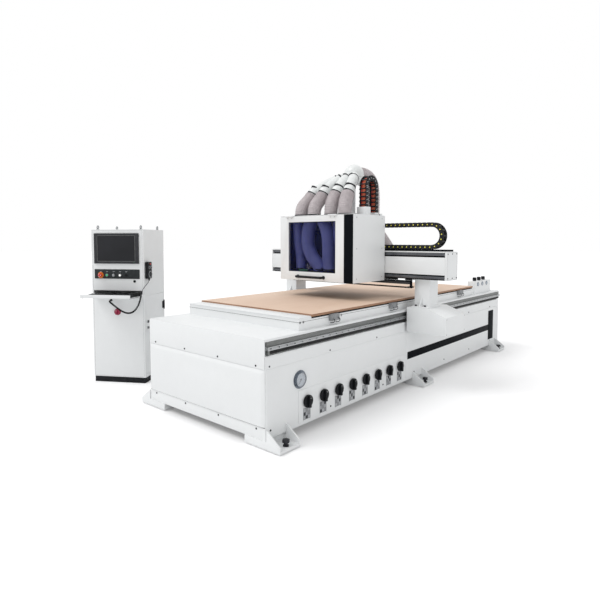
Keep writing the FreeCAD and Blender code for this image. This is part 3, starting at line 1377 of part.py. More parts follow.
def curve_points(a, a_way, b, b_way, count):
    """Even points of a smooth bend from a, leaving along a_way, to b, arriving along b_way, with headings."""
    found = []
    for i in range(count + 1):
        t = i / count
        s = 1 - t
        first = s * s
        second = s * t
        third = t * t
        p = a * (s * first) + (a + a_way) * (CUBIC * s * second) + (b - b_way) * (CUBIC * second * t)
        d = a_way * first + (b - b_way - a - a_way) * (2 * second) + b_way * third
        found.append((p + b * (t * third), d.normalize()))
    return found


def ring_at(point, heading, radius):
    """Circle across a path, its start held on the X side so that the loft doesn't twist."""
    across = (X - heading * X.dot(heading)).normalize()
    other = heading.cross(across)
    turn = Rotation(across, other, heading, "XYZ")
    circle = Part.makeCircle(radius)
    circle.Placement = Placement(point, turn)
    return Part.Wire(circle)


def ribbed_hose(track, radius, rib, wall):
    """Ribbed hose with its bore through a track of points and headings, each rib a ruled loft."""
    ribs = []
    for (p, d), (q, e) in zip(track, track[1:]):
        rings = []
        for share, height in RIB_PROFILE_SHARES:
            heading = (d + (e - d) * share).normalize()
            rings.append(ring_at(p + (q - p) * share, heading, radius + rib * height))
        bore = Part.makeLoft([ring_at(p, d, radius - wall), ring_at(q, e, radius - wall)], True, True)
        ribs.append(Part.makeLoft(rings, True, True).cut(bore))
    return ribs[0].multiFuse(ribs[1:])


def roof_hoses():
    """Four ribbed hoses from the roof spigots up to the rigid pipes."""
    solids = []
    for i in range(SPINDLE_COUNT):
        base = Vector(HOSE_BASES_X[i], HOSE_BASES_Y[i], HEAD_TOP + RUN_GAP)
        top, way = pipe_line(i)
        rise = (top - base).Length * HOSE_RISE_SHARE
        track = curve_points(base, Z * rise, top, way * rise, HOSE_RIBS)
        solids.append(ribbed_hose(track, HOSE_RADIUS, HOSE_RIB, HOSE_WALL))
    return solids


def pipe_line(i):
    """Lower end of a rigid pipe and the way it leans."""
    foot = Vector(PIPE_FOOT_XS[i], PIPE_FOOT_Y, HOSE_TOP_Z)
    top = Vector(PIPE_TOP_XS[i], PIPE_TOP_Y, PIPE_TOP_Z)
    way = (top - foot).normalize()
    return foot, way


def dust_pipes():
    """Rigid pipes with band clamps, joining in the domed manifold, whose outlet points back."""
    dome_at = Vector(DOME_X, DOME_Y, DOME_Z)
    low = Vector(DOME_X, DOME_Y, DOME_Z - DOME_RADIUS)
    side = X * DOME_RADIUS
    shoulder = dome_at + (X + Z).normalize() * DOME_RADIUS
    arc = Part.Arc(dome_at + side, shoulder, dome_at + Z * DOME_RADIUS).toShape()
    straight = [Part.makeLine(dome_at + Z * DOME_RADIUS, low), Part.makeLine(low, low + side)]
    straight.append(Part.makeLine(low + side, dome_at + side))
    outline = Part.Wire([arc] + straight)
    whole = Part.Face(outline).revolve(dome_at, Z, 2 * HALF_TURN)
    for i in range(SPINDLE_COUNT):
        foot, way = pipe_line(i)
        top = Vector(PIPE_TOP_XS[i], PIPE_TOP_Y, PIPE_TOP_Z)
        run = (top - foot).Length
        pipe = tube([foot + way * RUN_GAP, top, dome_at - Z * PIPE_SINK], PIPE_RADIUS)
        for share in CLAMP_SHARES:
            pipe = pipe.fuse(rod(CLAMP_RADIUS, CLAMP_WIDTH, foot + way * (run * share), way))
        whole = whole.fuse(pipe)
    outlet = rod(DUCT_RADIUS, DUCT_Y_START - DOME_Y, dome_at - Z * OUTLET_DROP, Y)
    return whole.fuse(outlet)


def rear_duct():
    """Large ribbed hose behind the beam, from the manifold down to its open cuff."""
    start = Vector(DOME_X, DUCT_Y_START + RUN_GAP, DOME_Z - OUTLET_DROP)
    shoulder = Vector(DUCT_MID_X, DUCT_Y, DUCT_MID_Z)
    end = Vector(DUCT_END_X, DUCT_Y, DUCT_END_Z)
    upper = curve_points(start, Y * DUCT_REACH, shoulder, Z * -DUCT_DIVE, DUCT_RIBS)
    lower = curve_points(shoulder, Z * -DUCT_DIVE, end, Z * -DUCT_DIVE, DUCT_RIBS)
    track = upper + lower[1:]
    hose = ribbed_hose(track, DUCT_RADIUS, DUCT_RIB, HOSE_WALL)
    cuff = rod(DUCT_RADIUS + DUCT_RIB, CUFF_LENGTH, end - Z * CUFF_LENGTH)
    cuff = cuff.cut(rod(DUCT_RADIUS - HOSE_WALL, CUFF_LENGTH, end - Z * CUFF_LENGTH))
    return [hose, cuff]


def z_chain_mid():
    """Middle heights of the standing chain: top of its loop's axis and both strands' places."""
    half = Z_CHAIN_GAP / 2
    y_mid = Z_CHAIN_FRONT_Y + half
    return y_mid, half


def z_chain_rear():
    """Rear strand, standing on a shelf of the cross carriage."""
    y_mid, half = z_chain_mid()
    start = Vector(Z_CHAIN_X, y_mid + half, Z_CHAIN_AXIS_Z - RUN_GAP - Z_CHAIN_REAR_LINKS * CHAIN_LINK)
    run = strand(start, Z, Z_CHAIN_REAR_LINKS, Z_CHAIN_HEIGHT, Z_CHAIN_WIDTH, X)
    shelf_z = start.z
    shelf = box(Z_CHAIN_X - Z_CHAIN_WIDTH / 2, Z_CHAIN_X + Z_CHAIN_WIDTH / 2, carriage_y(),
                y_mid + half + Z_CHAIN_HEIGHT / 2, shelf_z - CHAIN_SHELF_THICK, shelf_z)
    return [run, shelf]


def z_chain_loop():
    """The standing chain's half turn."""
    y_mid, half = z_chain_mid()
    centre = Vector(Z_CHAIN_X, y_mid, Z_CHAIN_AXIS_Z)
    count = int(math.pi * half // CHAIN_LINK)
    return bend(centre, half, Z_CHAIN_HEIGHT, Z_CHAIN_WIDTH, X * -1, Y * -1, count)


def z_chain_front():
    """Front strand and the box on the hood's roof that it ends in."""
    y_mid, half = z_chain_mid()
    foot_z = Z_CHAIN_AXIS_Z - RUN_GAP - Z_CHAIN_FRONT_LINKS * CHAIN_LINK
    start = Vector(Z_CHAIN_X, y_mid - half, foot_z)
    run = strand(start, Z, Z_CHAIN_FRONT_LINKS, Z_CHAIN_HEIGHT, Z_CHAIN_WIDTH, X)
    y0 = y_mid - half - Z_CHAIN_HEIGHT / 2
    cover = box(CHAIN_BOX_X0, CHAIN_BOX_X1, y0 - CHAIN_BOX_FRONT, y0 + Z_CHAIN_HEIGHT, HEAD_TOP, foot_z)
    return [run, cover]


def hood_door():
    """Front door of the hood: a folded frame round the window, with its hinge sleeve along the top."""
    left, right = door_x()
    y0 = HEAD_FRONT
    top = HEAD_TOP - HEAD_WALL - DOOR_GAP
    panel = box(left, right, y0, y0 + DOOR_THICK, HEAD_BOTTOM, top)
    win_x0, win_x1 = left + DOOR_FRAME_LEFT, right - DOOR_FRAME_RIGHT
    panel = panel.cut(box(win_x0, win_x1, y0 - OVERRUN, y0 + DOOR_THICK + OVERRUN,
                          DOOR_WINDOW_Z0, DOOR_WINDOW_Z1))
    for x in hood_sleeve_xs():
        at = hood_hinge() + X * x
        sleeve = rod(DOOR_SLEEVE_RADIUS, DOOR_SLEEVE_LENGTH, at, X)
        leaf = box(x, x + DOOR_SLEEVE_LENGTH, y0 - HEAD_WALL, y0, at.z - HOOD_LEAF_DROP, at.z)
        hole = rod(DOOR_PIN_RADIUS + RUN_GAP, DOOR_SLEEVE_LENGTH + OVERRUN * 2, at - X * OVERRUN, X)
        panel = panel.fuse(sleeve.fuse(leaf).cut(hole))
    return panel.removeSplitter()


def hood_window():
    """Tinted pane set into the door."""
    left, right = door_x()
    x0, x1 = left + DOOR_FRAME_LEFT, right - DOOR_FRAME_RIGHT
    y0 = HEAD_FRONT + WINDOW_INSET
    return box(x0, x1, y0, y0 + WINDOW_THICK, DOOR_WINDOW_Z0, DOOR_WINDOW_Z1)


def hood_handle():
    """Bar handle on two posts."""
    y = HEAD_FRONT - HANDLE_STANDOFF
    bar = rod(HANDLE_BAR_RADIUS, HANDLE_X1 - HANDLE_X0, Vector(HANDLE_X0, y, HANDLE_Z), X)
    solid = bar
    for x in (HANDLE_X0 + HANDLE_BAR_RADIUS * 2, HANDLE_X1 - HANDLE_BAR_RADIUS * 2):
        solid = solid.fuse(rod(HANDLE_POST_RADIUS, HANDLE_STANDOFF, Vector(x, y, HANDLE_Z), Y))
    return solid


def build_head():
    """Every sub-part of the head."""
    save("x_carriage", x_carriage() + head_mast())
    save("dust_pipes", dust_pipes())
    save("rear_duct", rear_duct())
    save("roof_hoses", roof_hoses())
    save("head_chains", z_chain_rear() + [x_chain_upper()])
    save("z_chain_loop", z_chain_loop())
    save("z_chain_front", z_chain_front())
    save("z_plate", z_plate())
    save("hood_shell", hood_shell() + [dust_shoe()])
    save("inner_hoses", [inner_hose(i) for i in range(SPINDLE_COUNT)])
    save("hood_door", hood_door())
    save("hood_window", hood_window())
    save("hood_handle", hood_handle())
    for i in range(SPINDLE_COUNT):
        save("spindle_body_" + str(i + 1), spindle_body(i))
        save("spindle_nose_" + str(i + 1), spindle_nose(i))


def placed(solids):
    """Cabinet pieces turned and set down beside the bed's front end."""
    found = []
    for solid in solids:
        piece = solid.copy()
        piece.rotate(Vector(0, 0, 0), Z, CAB_TURN)
        piece.translate(Vector(CAB_X, CAB_Y, 0))
        found.append(piece)
    return found


def cabinet_shell():
    """Folded panels of the cabinet, with the slot for the tray, its runners and the side door's opening."""
    w = CAB_WALL
    width, depth, low, top = CAB_WIDTH, CAB_DEPTH, CAB_PLINTH, CAB_HEIGHT
    slot_x0, slot_x1 = SLOT_SIDE, width - SLOT_SIDE
    solids = [box(0, width, 0, w, low, SLOT_Z0), box(0, width, 0, w, SLOT_Z1, top)]
    solids += [box(0, slot_x0, 0, w, SLOT_Z0, SLOT_Z1), box(slot_x1, width, 0, w, SLOT_Z0, SLOT_Z1)]
    solids.append(box(0, width, depth - w, depth, low, top))
    solids.append(box(0, w, w, depth - w, low, top))
    solids.append(box(w, width - w, w, depth - w, low, low + w))
    solids.append(box(w, width - w, w, depth - w, top - w, top))
    x0, x1 = width - w, width
    gap = SIDE_DOOR_GAP
    y0, y1 = SIDE_DOOR_Y0 - gap, SIDE_DOOR_Y1 + gap
    z0, z1 = SIDE_DOOR_Z0 - gap, SIDE_DOOR_Z1 + gap
    solids += [box(x0, x1, w, y0, low, top), box(x0, x1, y1, depth - w, low, top)]
    solids += [box(x0, x1, y0, y1, low, z0), box(x0, x1, y0, y1, z1, top)]
    for side_x0, side_x1 in ((w, TRAY_X0 - RUN_GAP), (TRAY_X1 + RUN_GAP, width - w)):
        z = TRAY_Z - RUNNER_DROP
        solids.append(box(side_x0, side_x1, w, RUNNER_DEPTH, z, z + RUNNER_HEIGHT))
    return placed(solids)


def side_door_axis():
    """Foot of the side door's hinge line."""
    return Vector(CAB_WIDTH + DOOR_PIN_OUT, SIDE_DOOR_Y1 + DOOR_PIN_BACK, 0)


def sleeve_zs():
    """Lower ends of the side door's two hinge sleeves."""
    high = SIDE_DOOR_Z1 - DOOR_SLEEVE_INSET - DOOR_SLEEVE_LENGTH
    return (SIDE_DOOR_Z0 + DOOR_SLEEVE_INSET, high)


def cabinet_door():
    """Side door with its hinge sleeves and both locks."""
    w = CAB_WALL
    plate = box(CAB_WIDTH - w, CAB_WIDTH, SIDE_DOOR_Y0, SIDE_DOOR_Y1, SIDE_DOOR_Z0, SIDE_DOOR_Z1)
    axis = side_door_axis()
    solid = plate
    for z in sleeve_zs():
        at = axis + Z * z
        sleeve = rod(DOOR_SLEEVE_RADIUS, DOOR_SLEEVE_LENGTH, at)
        leaf = box(CAB_WIDTH, CAB_WIDTH + w, SIDE_DOOR_Y1 - DOOR_LEAF_LENGTH, axis.y,
                   z, z + DOOR_SLEEVE_LENGTH)
        hole = rod(DOOR_PIN_RADIUS + RUN_GAP, DOOR_SLEEVE_LENGTH + OVERRUN * 2, at - Z * OVERRUN)
        relief = box(CAB_WIDTH - OVERRUN, CAB_WIDTH, SIDE_DOOR_Y1, axis.y + OVERRUN * 2,
                     z, z + DOOR_SLEEVE_LENGTH)
        solid = solid.fuse(sleeve.fuse(leaf).cut(hole).cut(relief))
    for z in (LOCK_LOW, LOCK_HIGH):
        solid = solid.fuse(rod(LOCK_RADIUS, LOCK_DEPTH, Vector(CAB_WIDTH, LOCK_Y, z), X))
    return placed([solid.removeSplitter()])


def lifting_eye(x, y):
    """Ring bolt on the cabinet's roof."""
    foot = Vector(x, y, CAB_HEIGHT)
    base = rod(EYE_BASE_RADIUS, EYE_BASE_HEIGHT, foot)
    centre = foot + Z * (EYE_BASE_HEIGHT + EYE_RADIUS - EYE_WIRE / 2)
    ring = Part.makeTorus(EYE_RADIUS - EYE_WIRE, EYE_WIRE, centre, X)
    return base.fuse(ring).removeSplitter()


def cabinet_plinth():
    """Black pieces fixed to the cabinet: plinth, lifting eyes, hinge pins, USB cap, switch plate, peg."""
    inset = CAB_PLINTH_INSET
    solids = [box(inset, CAB_WIDTH - inset, inset, CAB_DEPTH - inset, 0, CAB_PLINTH)]
    for x in (EYE_INSET, CAB_WIDTH - EYE_INSET):
        for y in (EYE_INSET, CAB_DEPTH - EYE_INSET):
            solids.append(lifting_eye(x, y))
    axis = side_door_axis()
    ear = DOOR_EAR_HEIGHT
    for z in sleeve_zs():
        pin = rod(DOOR_PIN_RADIUS, DOOR_SLEEVE_LENGTH + 2 * ear, axis + Z * (z - ear))
        y0 = SIDE_DOOR_Y1 + SIDE_DOOR_GAP
        for low in (z - ear, z + DOOR_SLEEVE_LENGTH + RUN_GAP):
            block = box(CAB_WIDTH, axis.x + DOOR_PIN_RADIUS, y0, axis.y + DOOR_SLEEVE_RADIUS,
                        low, low + ear - RUN_GAP)
            pin = pin.fuse(block)
        solids.append(pin.removeSplitter())
    solids.append(rod(USB_RADIUS, USB_OUT, Vector(USB_X, 0, USB_Z), -Y))
    half = SWITCH_PLATE / 2
    plate = box(SWITCH_X - half, SWITCH_X + half, -SWITCH_PLATE_OUT, 0, SWITCH_Z - half, SWITCH_Z + half)
    stem = rod(SWITCH_STEM_RADIUS, SWITCH_STEM_OUT, Vector(SWITCH_X, -SWITCH_PLATE_OUT, SWITCH_Z), -Y)
    solids.append(plate.fuse(stem))
    peg_y = PENDANT_Y0 + PENDANT_WIDTH / 2
    peg_z = PENDANT_Z0 + PENDANT_HEIGHT - PEG_DROP
    solids.append(box(CAB_WIDTH, CAB_WIDTH + PEG_OUT, peg_y - PEG_WIDTH / 2, peg_y + PEG_WIDTH / 2,
                      peg_z - PEG_HEIGHT, peg_z))
    return placed(solids)


def operator_panel():
    """Monitor with its sunk screen, and the button panel with its bezels and the stop button's collar."""
    frame = box(MONITOR_X0, MONITOR_X1, -MONITOR_OUT, 0, MONITOR_Z0, MONITOR_Z1)
    screen = box(MONITOR_X0 + MONITOR_BEZEL, MONITOR_X1 - MONITOR_BEZEL, -MONITOR_OUT - OVERRUN,
                 SCREEN_SINK - MONITOR_OUT, MONITOR_Z0 + MONITOR_BEZEL_LOW, MONITOR_Z1 - MONITOR_BEZEL_LOW)
    solids = [frame.cut(screen)]
    panel = box(PANEL_X0, PANEL_X1, -PANEL_OUT, 0, PANEL_Z0, PANEL_Z1)
    collar = rod(ESTOP_COLLAR_RADIUS, ESTOP_COLLAR_OUT, Vector(ESTOP_X, -PANEL_OUT, BUTTON_Z), -Y)
    neck = rod(BEZEL_RADIUS, BEZEL_OUT, Vector(ESTOP_X, -PANEL_OUT, BUTTON_Z), -Y)
    well = rod(ESTOP_STEM_RADIUS + RUN_GAP, BEZEL_OUT + OVERRUN, Vector(ESTOP_X, -PANEL_OUT, BUTTON_Z), -Y)
    panel = panel.fuse(collar).fuse(neck).cut(well)
    for x in BUTTON_XS:
        foot = Vector(x, -PANEL_OUT, BUTTON_Z)
        bezel = rod(BEZEL_RADIUS, BEZEL_OUT, foot, -Y)
        panel = panel.fuse(bezel).cut(rod(BUTTON_RADIUS + RUN_GAP, BEZEL_OUT + OVERRUN, foot, -Y))
    solids.append(panel.removeSplitter())
    return placed(solids)


def push_button(x):
    """Plunger of a push button, standing proud of its bezel."""
    foot = Vector(x, BUTTON_DEEP - PANEL_OUT - BEZEL_OUT, BUTTON_Z)
    return placed([rod(BUTTON_RADIUS, BUTTON_DEEP + BUTTON_PROUD, foot, -Y)])


def estop_button():
    """Mushroom head of the emergency stop, on its stem."""
    front = -PANEL_OUT - BEZEL_OUT
    stem_in = BEZEL_OUT - ESTOP_TRAVEL - RUN_GAP
    gap = ESTOP_TRAVEL + RUN_GAP
    stem = rod(ESTOP_STEM_RADIUS, stem_in + gap, Vector(ESTOP_X, front + stem_in, BUTTON_Z), -Y)
    foot = Vector(ESTOP_X, front - gap, BUTTON_Z)
    cap = rod(ESTOP_CAP_RADIUS, ESTOP_CAP_DEPTH, foot, -Y)
    rim = [e for e in cap.Edges if abs(e.CenterOfMass.y - (foot.y - ESTOP_CAP_DEPTH)) < RUN_GAP]
    cap = cap.makeFillet(ESTOP_CAP_DEPTH / 2, rim)
    return placed([stem.fuse(cap)])


def main_switch():
    """Rotary main switch with a raised grip."""
    foot = Vector(SWITCH_X, -SWITCH_PLATE_OUT - SWITCH_STEM_OUT - RUN_GAP, SWITCH_Z)
    disc = rod(SWITCH_RADIUS, SWITCH_DEPTH / 2, foot, -Y)
    half = SWITCH_GRIP / 2
    grip = box(SWITCH_X - half, SWITCH_X + half, foot.y - SWITCH_DEPTH, foot.y,
               SWITCH_Z - SWITCH_RADIUS, SWITCH_Z + SWITCH_RADIUS)
    grip = grip.common(rod(SWITCH_RADIUS, SWITCH_DEPTH, foot, -Y))
    return placed([disc.fuse(grip).removeSplitter()])


def keyboard_tray():
    """Sliding tray with its front lip, the keyboard and the mouse."""
    z0, z1 = TRAY_Z, TRAY_Z + TRAY_THICK
    plate = box(TRAY_X0, TRAY_X1, -TRAY_OUT, TRAY_IN, z0, z1)
    lip = box(TRAY_X0 - TRAY_LIP_SIDE, TRAY_X1 + TRAY_LIP_SIDE, -TRAY_OUT - TRAY_LIP_THICK, -TRAY_OUT,
              z0, z0 + TRAY_LIP_HEIGHT)
    solids = [plate, lip]
    x0 = TRAY_X0 + KEYBOARD_SIDE
    y0 = KEYBOARD_FRONT - TRAY_OUT
    low, high = z1 + KEYBOARD_HEIGHT / 2, z1 + KEYBOARD_HEIGHT
    wedge = [Vector(x0, y0, z1), Vector(x0, y0 + KEYBOARD_DEPTH, z1)]
    wedge += [Vector(x0, y0 + KEYBOARD_DEPTH, high), Vector(x0, y0, low)]
    solids.append(prism(wedge, X * KEYBOARD_LENGTH))
    mouse_x = TRAY_X1 - KEYBOARD_SIDE / 2 - MOUSE_WIDTH / 2
    mouse_y = y0 + MOUSE_LENGTH / 2
    dome = Part.makeSphere(MOUSE_LENGTH / 2)
    shape = dome.transformGeometry(mouse_squash())
    shape.translate(Vector(mouse_x, mouse_y, z1))
    solids.append(shape.common(box(TRAY_X0, TRAY_X1, -TRAY_OUT, TRAY_IN, z1, z1 + MOUSE_HEIGHT)))
    return placed(solids)


def mouse_squash():
    """Scales a ball to the mouse's width and height."""
    matrix = FreeCAD.Matrix()
    matrix.scale(MOUSE_WIDTH / MOUSE_LENGTH, 1, 2 * MOUSE_HEIGHT / MOUSE_LENGTH)
    return matrix


def pendant():
    """Hand pendant, its back slotted for the peg that it hangs on."""
    x0 = CAB_WIDTH + PENDANT_STAND
    y0, y1 = PENDANT_Y0, PENDANT_Y0 + PENDANT_WIDTH
    z0, z1 = PENDANT_Z0, PENDANT_Z0 + PENDANT_HEIGHT
    body = box(x0, x0 + PENDANT_DEPTH, y0, y1, z0, z1)
    along = [e for e in body.Edges if abs(e.tangentAt(0).x) > EDGE_ALONG_SHARE]
    body = body.makeFillet(PENDANT_CORNER, along)
    mid = (y0 + y1) / 2
    half = PEG_WIDTH / 2 + RUN_GAP
    top = z1 - PEG_DROP + RUN_GAP
    slot = box(x0 - OVERRUN, CAB_WIDTH + PEG_OUT + RUN_GAP, mid - half, mid + half,
               z0 + PENDANT_CORNER * 2, top)
    return placed([body.cut(slot)])


def pendant_cord():
    """Curly cord as a plain tube of its outer size, and the straight tail up to the pendant."""
    curl = tube([Vector(*p) for p in CORD_ROUTE], CORD_RADIUS)
    tail = tube([Vector(*p) for p in TAIL_ROUTE], TAIL_RADIUS)
    return placed([curl, tail])


def build_cabinet():
    """Every sub-part of the control cabinet."""
    save("cabinet_shell", cabinet_shell())
    save("cabinet_door", cabinet_door())
    save("cabinet_plinth", cabinet_plinth())
    save("operator_panel", operator_panel())
    for name, x in zip(("start_button", "pause_button", "reset_button"), BUTTON_XS):
        save(name, push_button(x))
    save("estop_button", estop_button())
    save("main_switch", main_switch())
    save("keyboard_tray", keyboard_tray())
    save("pendant", pendant())
    save("pendant_cord", pendant_cord())


build_bed()
build_gantry()
build_head()
build_cabinet()
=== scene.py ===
"""Flat-bed cnc router with its control cabinet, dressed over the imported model."""

from math import cos, pi, radians, sin, tau

import bmesh
import bpy
from bpy.types import Operator, Panel, PropertyGroup
from mathutils import Matrix, Vector


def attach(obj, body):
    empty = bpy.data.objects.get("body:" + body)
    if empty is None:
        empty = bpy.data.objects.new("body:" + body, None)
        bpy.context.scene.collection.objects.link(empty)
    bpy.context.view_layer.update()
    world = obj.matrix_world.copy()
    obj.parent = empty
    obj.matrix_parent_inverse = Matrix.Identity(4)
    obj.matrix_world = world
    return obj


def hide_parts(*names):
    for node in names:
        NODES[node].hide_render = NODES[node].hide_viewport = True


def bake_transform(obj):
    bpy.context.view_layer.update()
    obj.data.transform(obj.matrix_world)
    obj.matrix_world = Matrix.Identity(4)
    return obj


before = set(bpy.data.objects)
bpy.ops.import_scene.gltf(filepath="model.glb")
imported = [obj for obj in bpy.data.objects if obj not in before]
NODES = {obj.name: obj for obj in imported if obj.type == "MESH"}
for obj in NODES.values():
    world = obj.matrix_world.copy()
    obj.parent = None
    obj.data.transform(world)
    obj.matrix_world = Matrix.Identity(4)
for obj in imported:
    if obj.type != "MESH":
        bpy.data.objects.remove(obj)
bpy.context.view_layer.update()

bl_info = {
    "name": "Flat-bed cnc router",
    "version": (1, 0, 0),
    "blender": (4, 5, 0),
    "location": "View3D > Sidebar > Router",
    "description": "Dresses a flat-bed cnc router and its control cabinet",
    "category": "Object",
}

MM = 0.001
X = Vector((1, 0, 0))
Y = Vector((0, 1, 0))
Z = Vector((0, 0, 1))

# The cabinet stands turned beside the bed; its pieces are made in its own axes and then moved there
CABINET_CORNER = (-1.756, -2.038, 0)
CABINET_ANGLE = radians(32)
CABINET_TURN = Matrix.Translation(CABINET_CORNER) @ Matrix.Rotation(CABINET_ANGLE, 4, "Z")

MERGE_DISTANCE = 2e-6
FLAT_ANGLE = radians(0.6)
CRISP_ANGLE = radians(38)
EASE_PROFILE = 0.6


def mm(x, y, z):
    """A point given in millimetres."""
    return Vector((x, y, z)) * MM


def angles(count, turn=tau):
    """Angles that share a turn into equal steps, from zero."""
    return [turn * k / count for k in range(count)]


# Meshes

def linked(name, data):
    """Object of some data, put in the scene."""
    obj = bpy.data.objects.new(name, data)
    bpy.context.scene.collection.objects.link(obj)
    return obj


def mesh_from(name, bm):
    """Mesh of a shape in progress, which ends here."""
    mesh = bpy.data.meshes.new(name)
    bm.to_mesh(mesh)
    bm.free()
    return mesh


def eased(bm, edges, ease, steps=2):
    """Rounds edges by a size in millimetres."""
    bmesh.ops.bevel(bm, geom=list(edges), offset=ease * MM, segments=steps, profile=EASE_PROFILE,
                    affect="EDGES", clamp_overlap=True)


def block(bm, low, high, ease=0.0, steps=2):
    """Box between two corners in millimetres, its edges eased."""
    size = [(b - a) * MM for a, b in zip(low, high)]
    middle = [(a + b) / 2 * MM for a, b in zip(low, high)]
    matrix = Matrix.Translation(middle) @ Matrix.Diagonal((*size, 1))
    made = bmesh.ops.create_cube(bm, size=1, matrix=matrix)["verts"]
    if ease:
        eased(bm, {e for v in made for e in v.link_edges}, ease, steps)


def turned(bm, profile, foot, axis=Z, segments=32, hollow=False):
    """Spins (radius, height) pairs in millimetres about an axis; the ends are capped, or joined if hollow."""
    turn = Z.rotation_difference(axis).to_matrix()
    rings = []
    for radius, height in profile:
        spots = [(0, 0)]
        if radius > 0:
            spots = [(radius * cos(a), radius * sin(a)) for a in angles(segments)]
        rings.append([bm.verts.new(mm(*foot) + turn @ mm(x, y, height)) for x, y in spots])
    for low, high in zip(rings, rings[1:] + rings[:1] if hollow else rings[1:]):
        for i in range(segments):
            j = (i + 1) % segments
            loop = [low[i % len(low)], low[j % len(low)], high[j % len(high)], high[i % len(high)]]
            loop = [v for k, v in enumerate(loop) if v not in loop[:k]]
            if len(loop) > 2:
                bm.faces.new(loop)
    if hollow:
        return
    for ring in (rings[0], rings[-1]):
        if len(ring) > 2:
            bm.faces.new(ring)


def pin(bm, foot, axis, radius, length, ease=0.5, segments=24):
    """Plain round bar with eased ends."""
    profile = [(radius - ease, 0), (radius, ease), (radius, length - ease), (radius - ease, length)]
    turned(bm, profile, foot, axis, segments)


def extruded(bm, outline, along, ease=0.0):
    """Outline of points in millimetres pushed along a vector in millimetres."""
    low = [bm.verts.new(mm(*p)) for p in outline]
    high = [bm.verts.new(mm(*(Vector(p) + Vector(along)))) for p in outline]
    faces = [bm.faces.new(low), bm.faces.new(list(reversed(high)))]
    for i in range(len(low)):
        j = (i + 1) % len(low)
        faces.append(bm.faces.new([low[j], low[i], high[i], high[j]]))
    if ease:
        eased(bm, {e for f in faces for e in f.edges}, ease)


def skinned(bm, rings, capped=True):
    """Skin over equal rings of vertices, one after the other, closed at both ends if capped."""
    for low, high in zip(rings, rings[1:]):
        for k in range(len(low)):
            j = (k + 1) % len(low)
            bm.faces.new([low[k], low[j], high[j], high[k]])
    if capped:
        bm.faces.new(list(reversed(rings[0])))
        bm.faces.new(rings[-1])


def swept(bm, points, radius, sides=16, capped=True):
    """Round tube along points in metres; radius in metres or one for each point."""
    radii = radius if isinstance(radius, (list, tuple)) else [radius] * len(points)
    side = None
    rings = []
    for i, p in enumerate(points):
        ahead = points[min(i + 1, len(points) - 1)] - points[max(i - 1, 0)]
        ahead.normalize()
        if side is None:
            side = ahead.orthogonal().normalized()
        side = (side - ahead * side.dot(ahead)).normalized()
        other = ahead.cross(side)
        rings.append([bm.verts.new(p + (side * cos(a) + other * sin(a)) * radii[i])
                      for a in angles(sides)])
    skinned(bm, rings, capped)


def smooth_line(corners, steps):
    """Smooth line through points in metres, with a number of steps between each two."""
    line = []
    last = len(corners) - 1
    for i in range(last):
        a = corners[max(i - 1, 0)]
        b, c = corners[i], corners[i + 1]
        d = corners[min(i + 2, last)]
        for k in range(steps):
            t = k / steps
            line.append(0.5 * ((2 * b) + (c - a) * t + (2 * a - 5 * b + 4 * c - d) * t * t
                               + (3 * b - a - 3 * c + d) * t ** 3))
    line.append(corners[-1].copy())
    return line


def bent(a, a_way, b, b_way, count=40):
    """Points of a smooth bend from a, leaving along a_way, to b, arriving along b_way."""
    points = []
    for i in range(count + 1):
        t = i / count
        s = 1 - t
        points.append(a * s ** 3 + (a + a_way) * (3 * s * s * t) + (b - b_way) * (3 * s * t * t) + b * t ** 3)
    return points


def added(bm, part, matrix=None):
    """Joins another mesh in progress into this one, moved by a matrix, with its material indices."""
    if matrix is not None:
        part.transform(matrix)
    mesh = mesh_from("part", part)
    bm.from_mesh(mesh)
    bpy.data.meshes.remove(mesh)


def marked(bm, index, add, *args, **words):
    """Runs a mesh call and gives the faces that it makes a material index."""
    before = set(bm.faces)
    add(bm, *args, **words)
    for face in bm.faces:
        if face not in before:
            face.material_index = index


def soften(bm):
    """Smooth shading, with the sharp edges kept crisp."""
    for face in bm.faces:
        face.smooth = True
    for edge in bm.edges:
        edge.smooth = len(edge.link_faces) == 2 and edge.calc_face_angle(0) < CRISP_ANGLE


def piece(name, bm, material, body, replaced=(), place=None, outward=True):
    """Object that rides its body, or stays where it is made when given two bodies, and stands for the nodes
    named.
    """
    if place is not None:
        bm.transform(place)
    if outward:
        bmesh.ops.recalc_face_normals(bm, faces=bm.faces)
    soften(bm)
    obj = linked(name, mesh_from(name, bm))
    for each in material if isinstance(material, (list, tuple)) else [material]:
        obj.data.materials.append(each)
    if isinstance(body, tuple):
        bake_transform(obj)
    else:
        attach(obj, body)
    if replaced:
        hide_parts(*replaced)
    return obj


def boxes(name, material, body, corners, ease=0.0, replaced=(), place=None):
    """Piece made of boxes, each between two corners in millimetres."""
    bm = bmesh.new()
    for low, high in corners:
        block(bm, low, high, ease)
    piece(name, bm, material, body, replaced, place)


def dressed(name, node, material, body, ease=1.5, angle=30, choose=None):
    """Copy of a node, its edges eased, standing for it; choose gives each face's material index."""
    bm = bmesh.new()
    bm.from_mesh(NODES[node].data)
    for face in bm.faces:
        face.material_index = 0
    bmesh.ops.remove_doubles(bm, verts=bm.verts, dist=MERGE_DISTANCE)
    bmesh.ops.dissolve_limit(bm, angle_limit=FLAT_ANGLE, verts=bm.verts, edges=bm.edges, delimit={"NORMAL"})
    sharp = radians(angle)
    eased(bm, [e for e in bm.edges if len(e.link_faces) == 2 and e.calc_face_angle(0) > sharp], ease)
    if choose:
        bm.normal_update()
        for face in bm.faces:
            face.material_index = choose(face.calc_center_median() / MM, face.normal)
    return piece(name, bm, material, body, [node], outward=False)


# Geometry Nodes

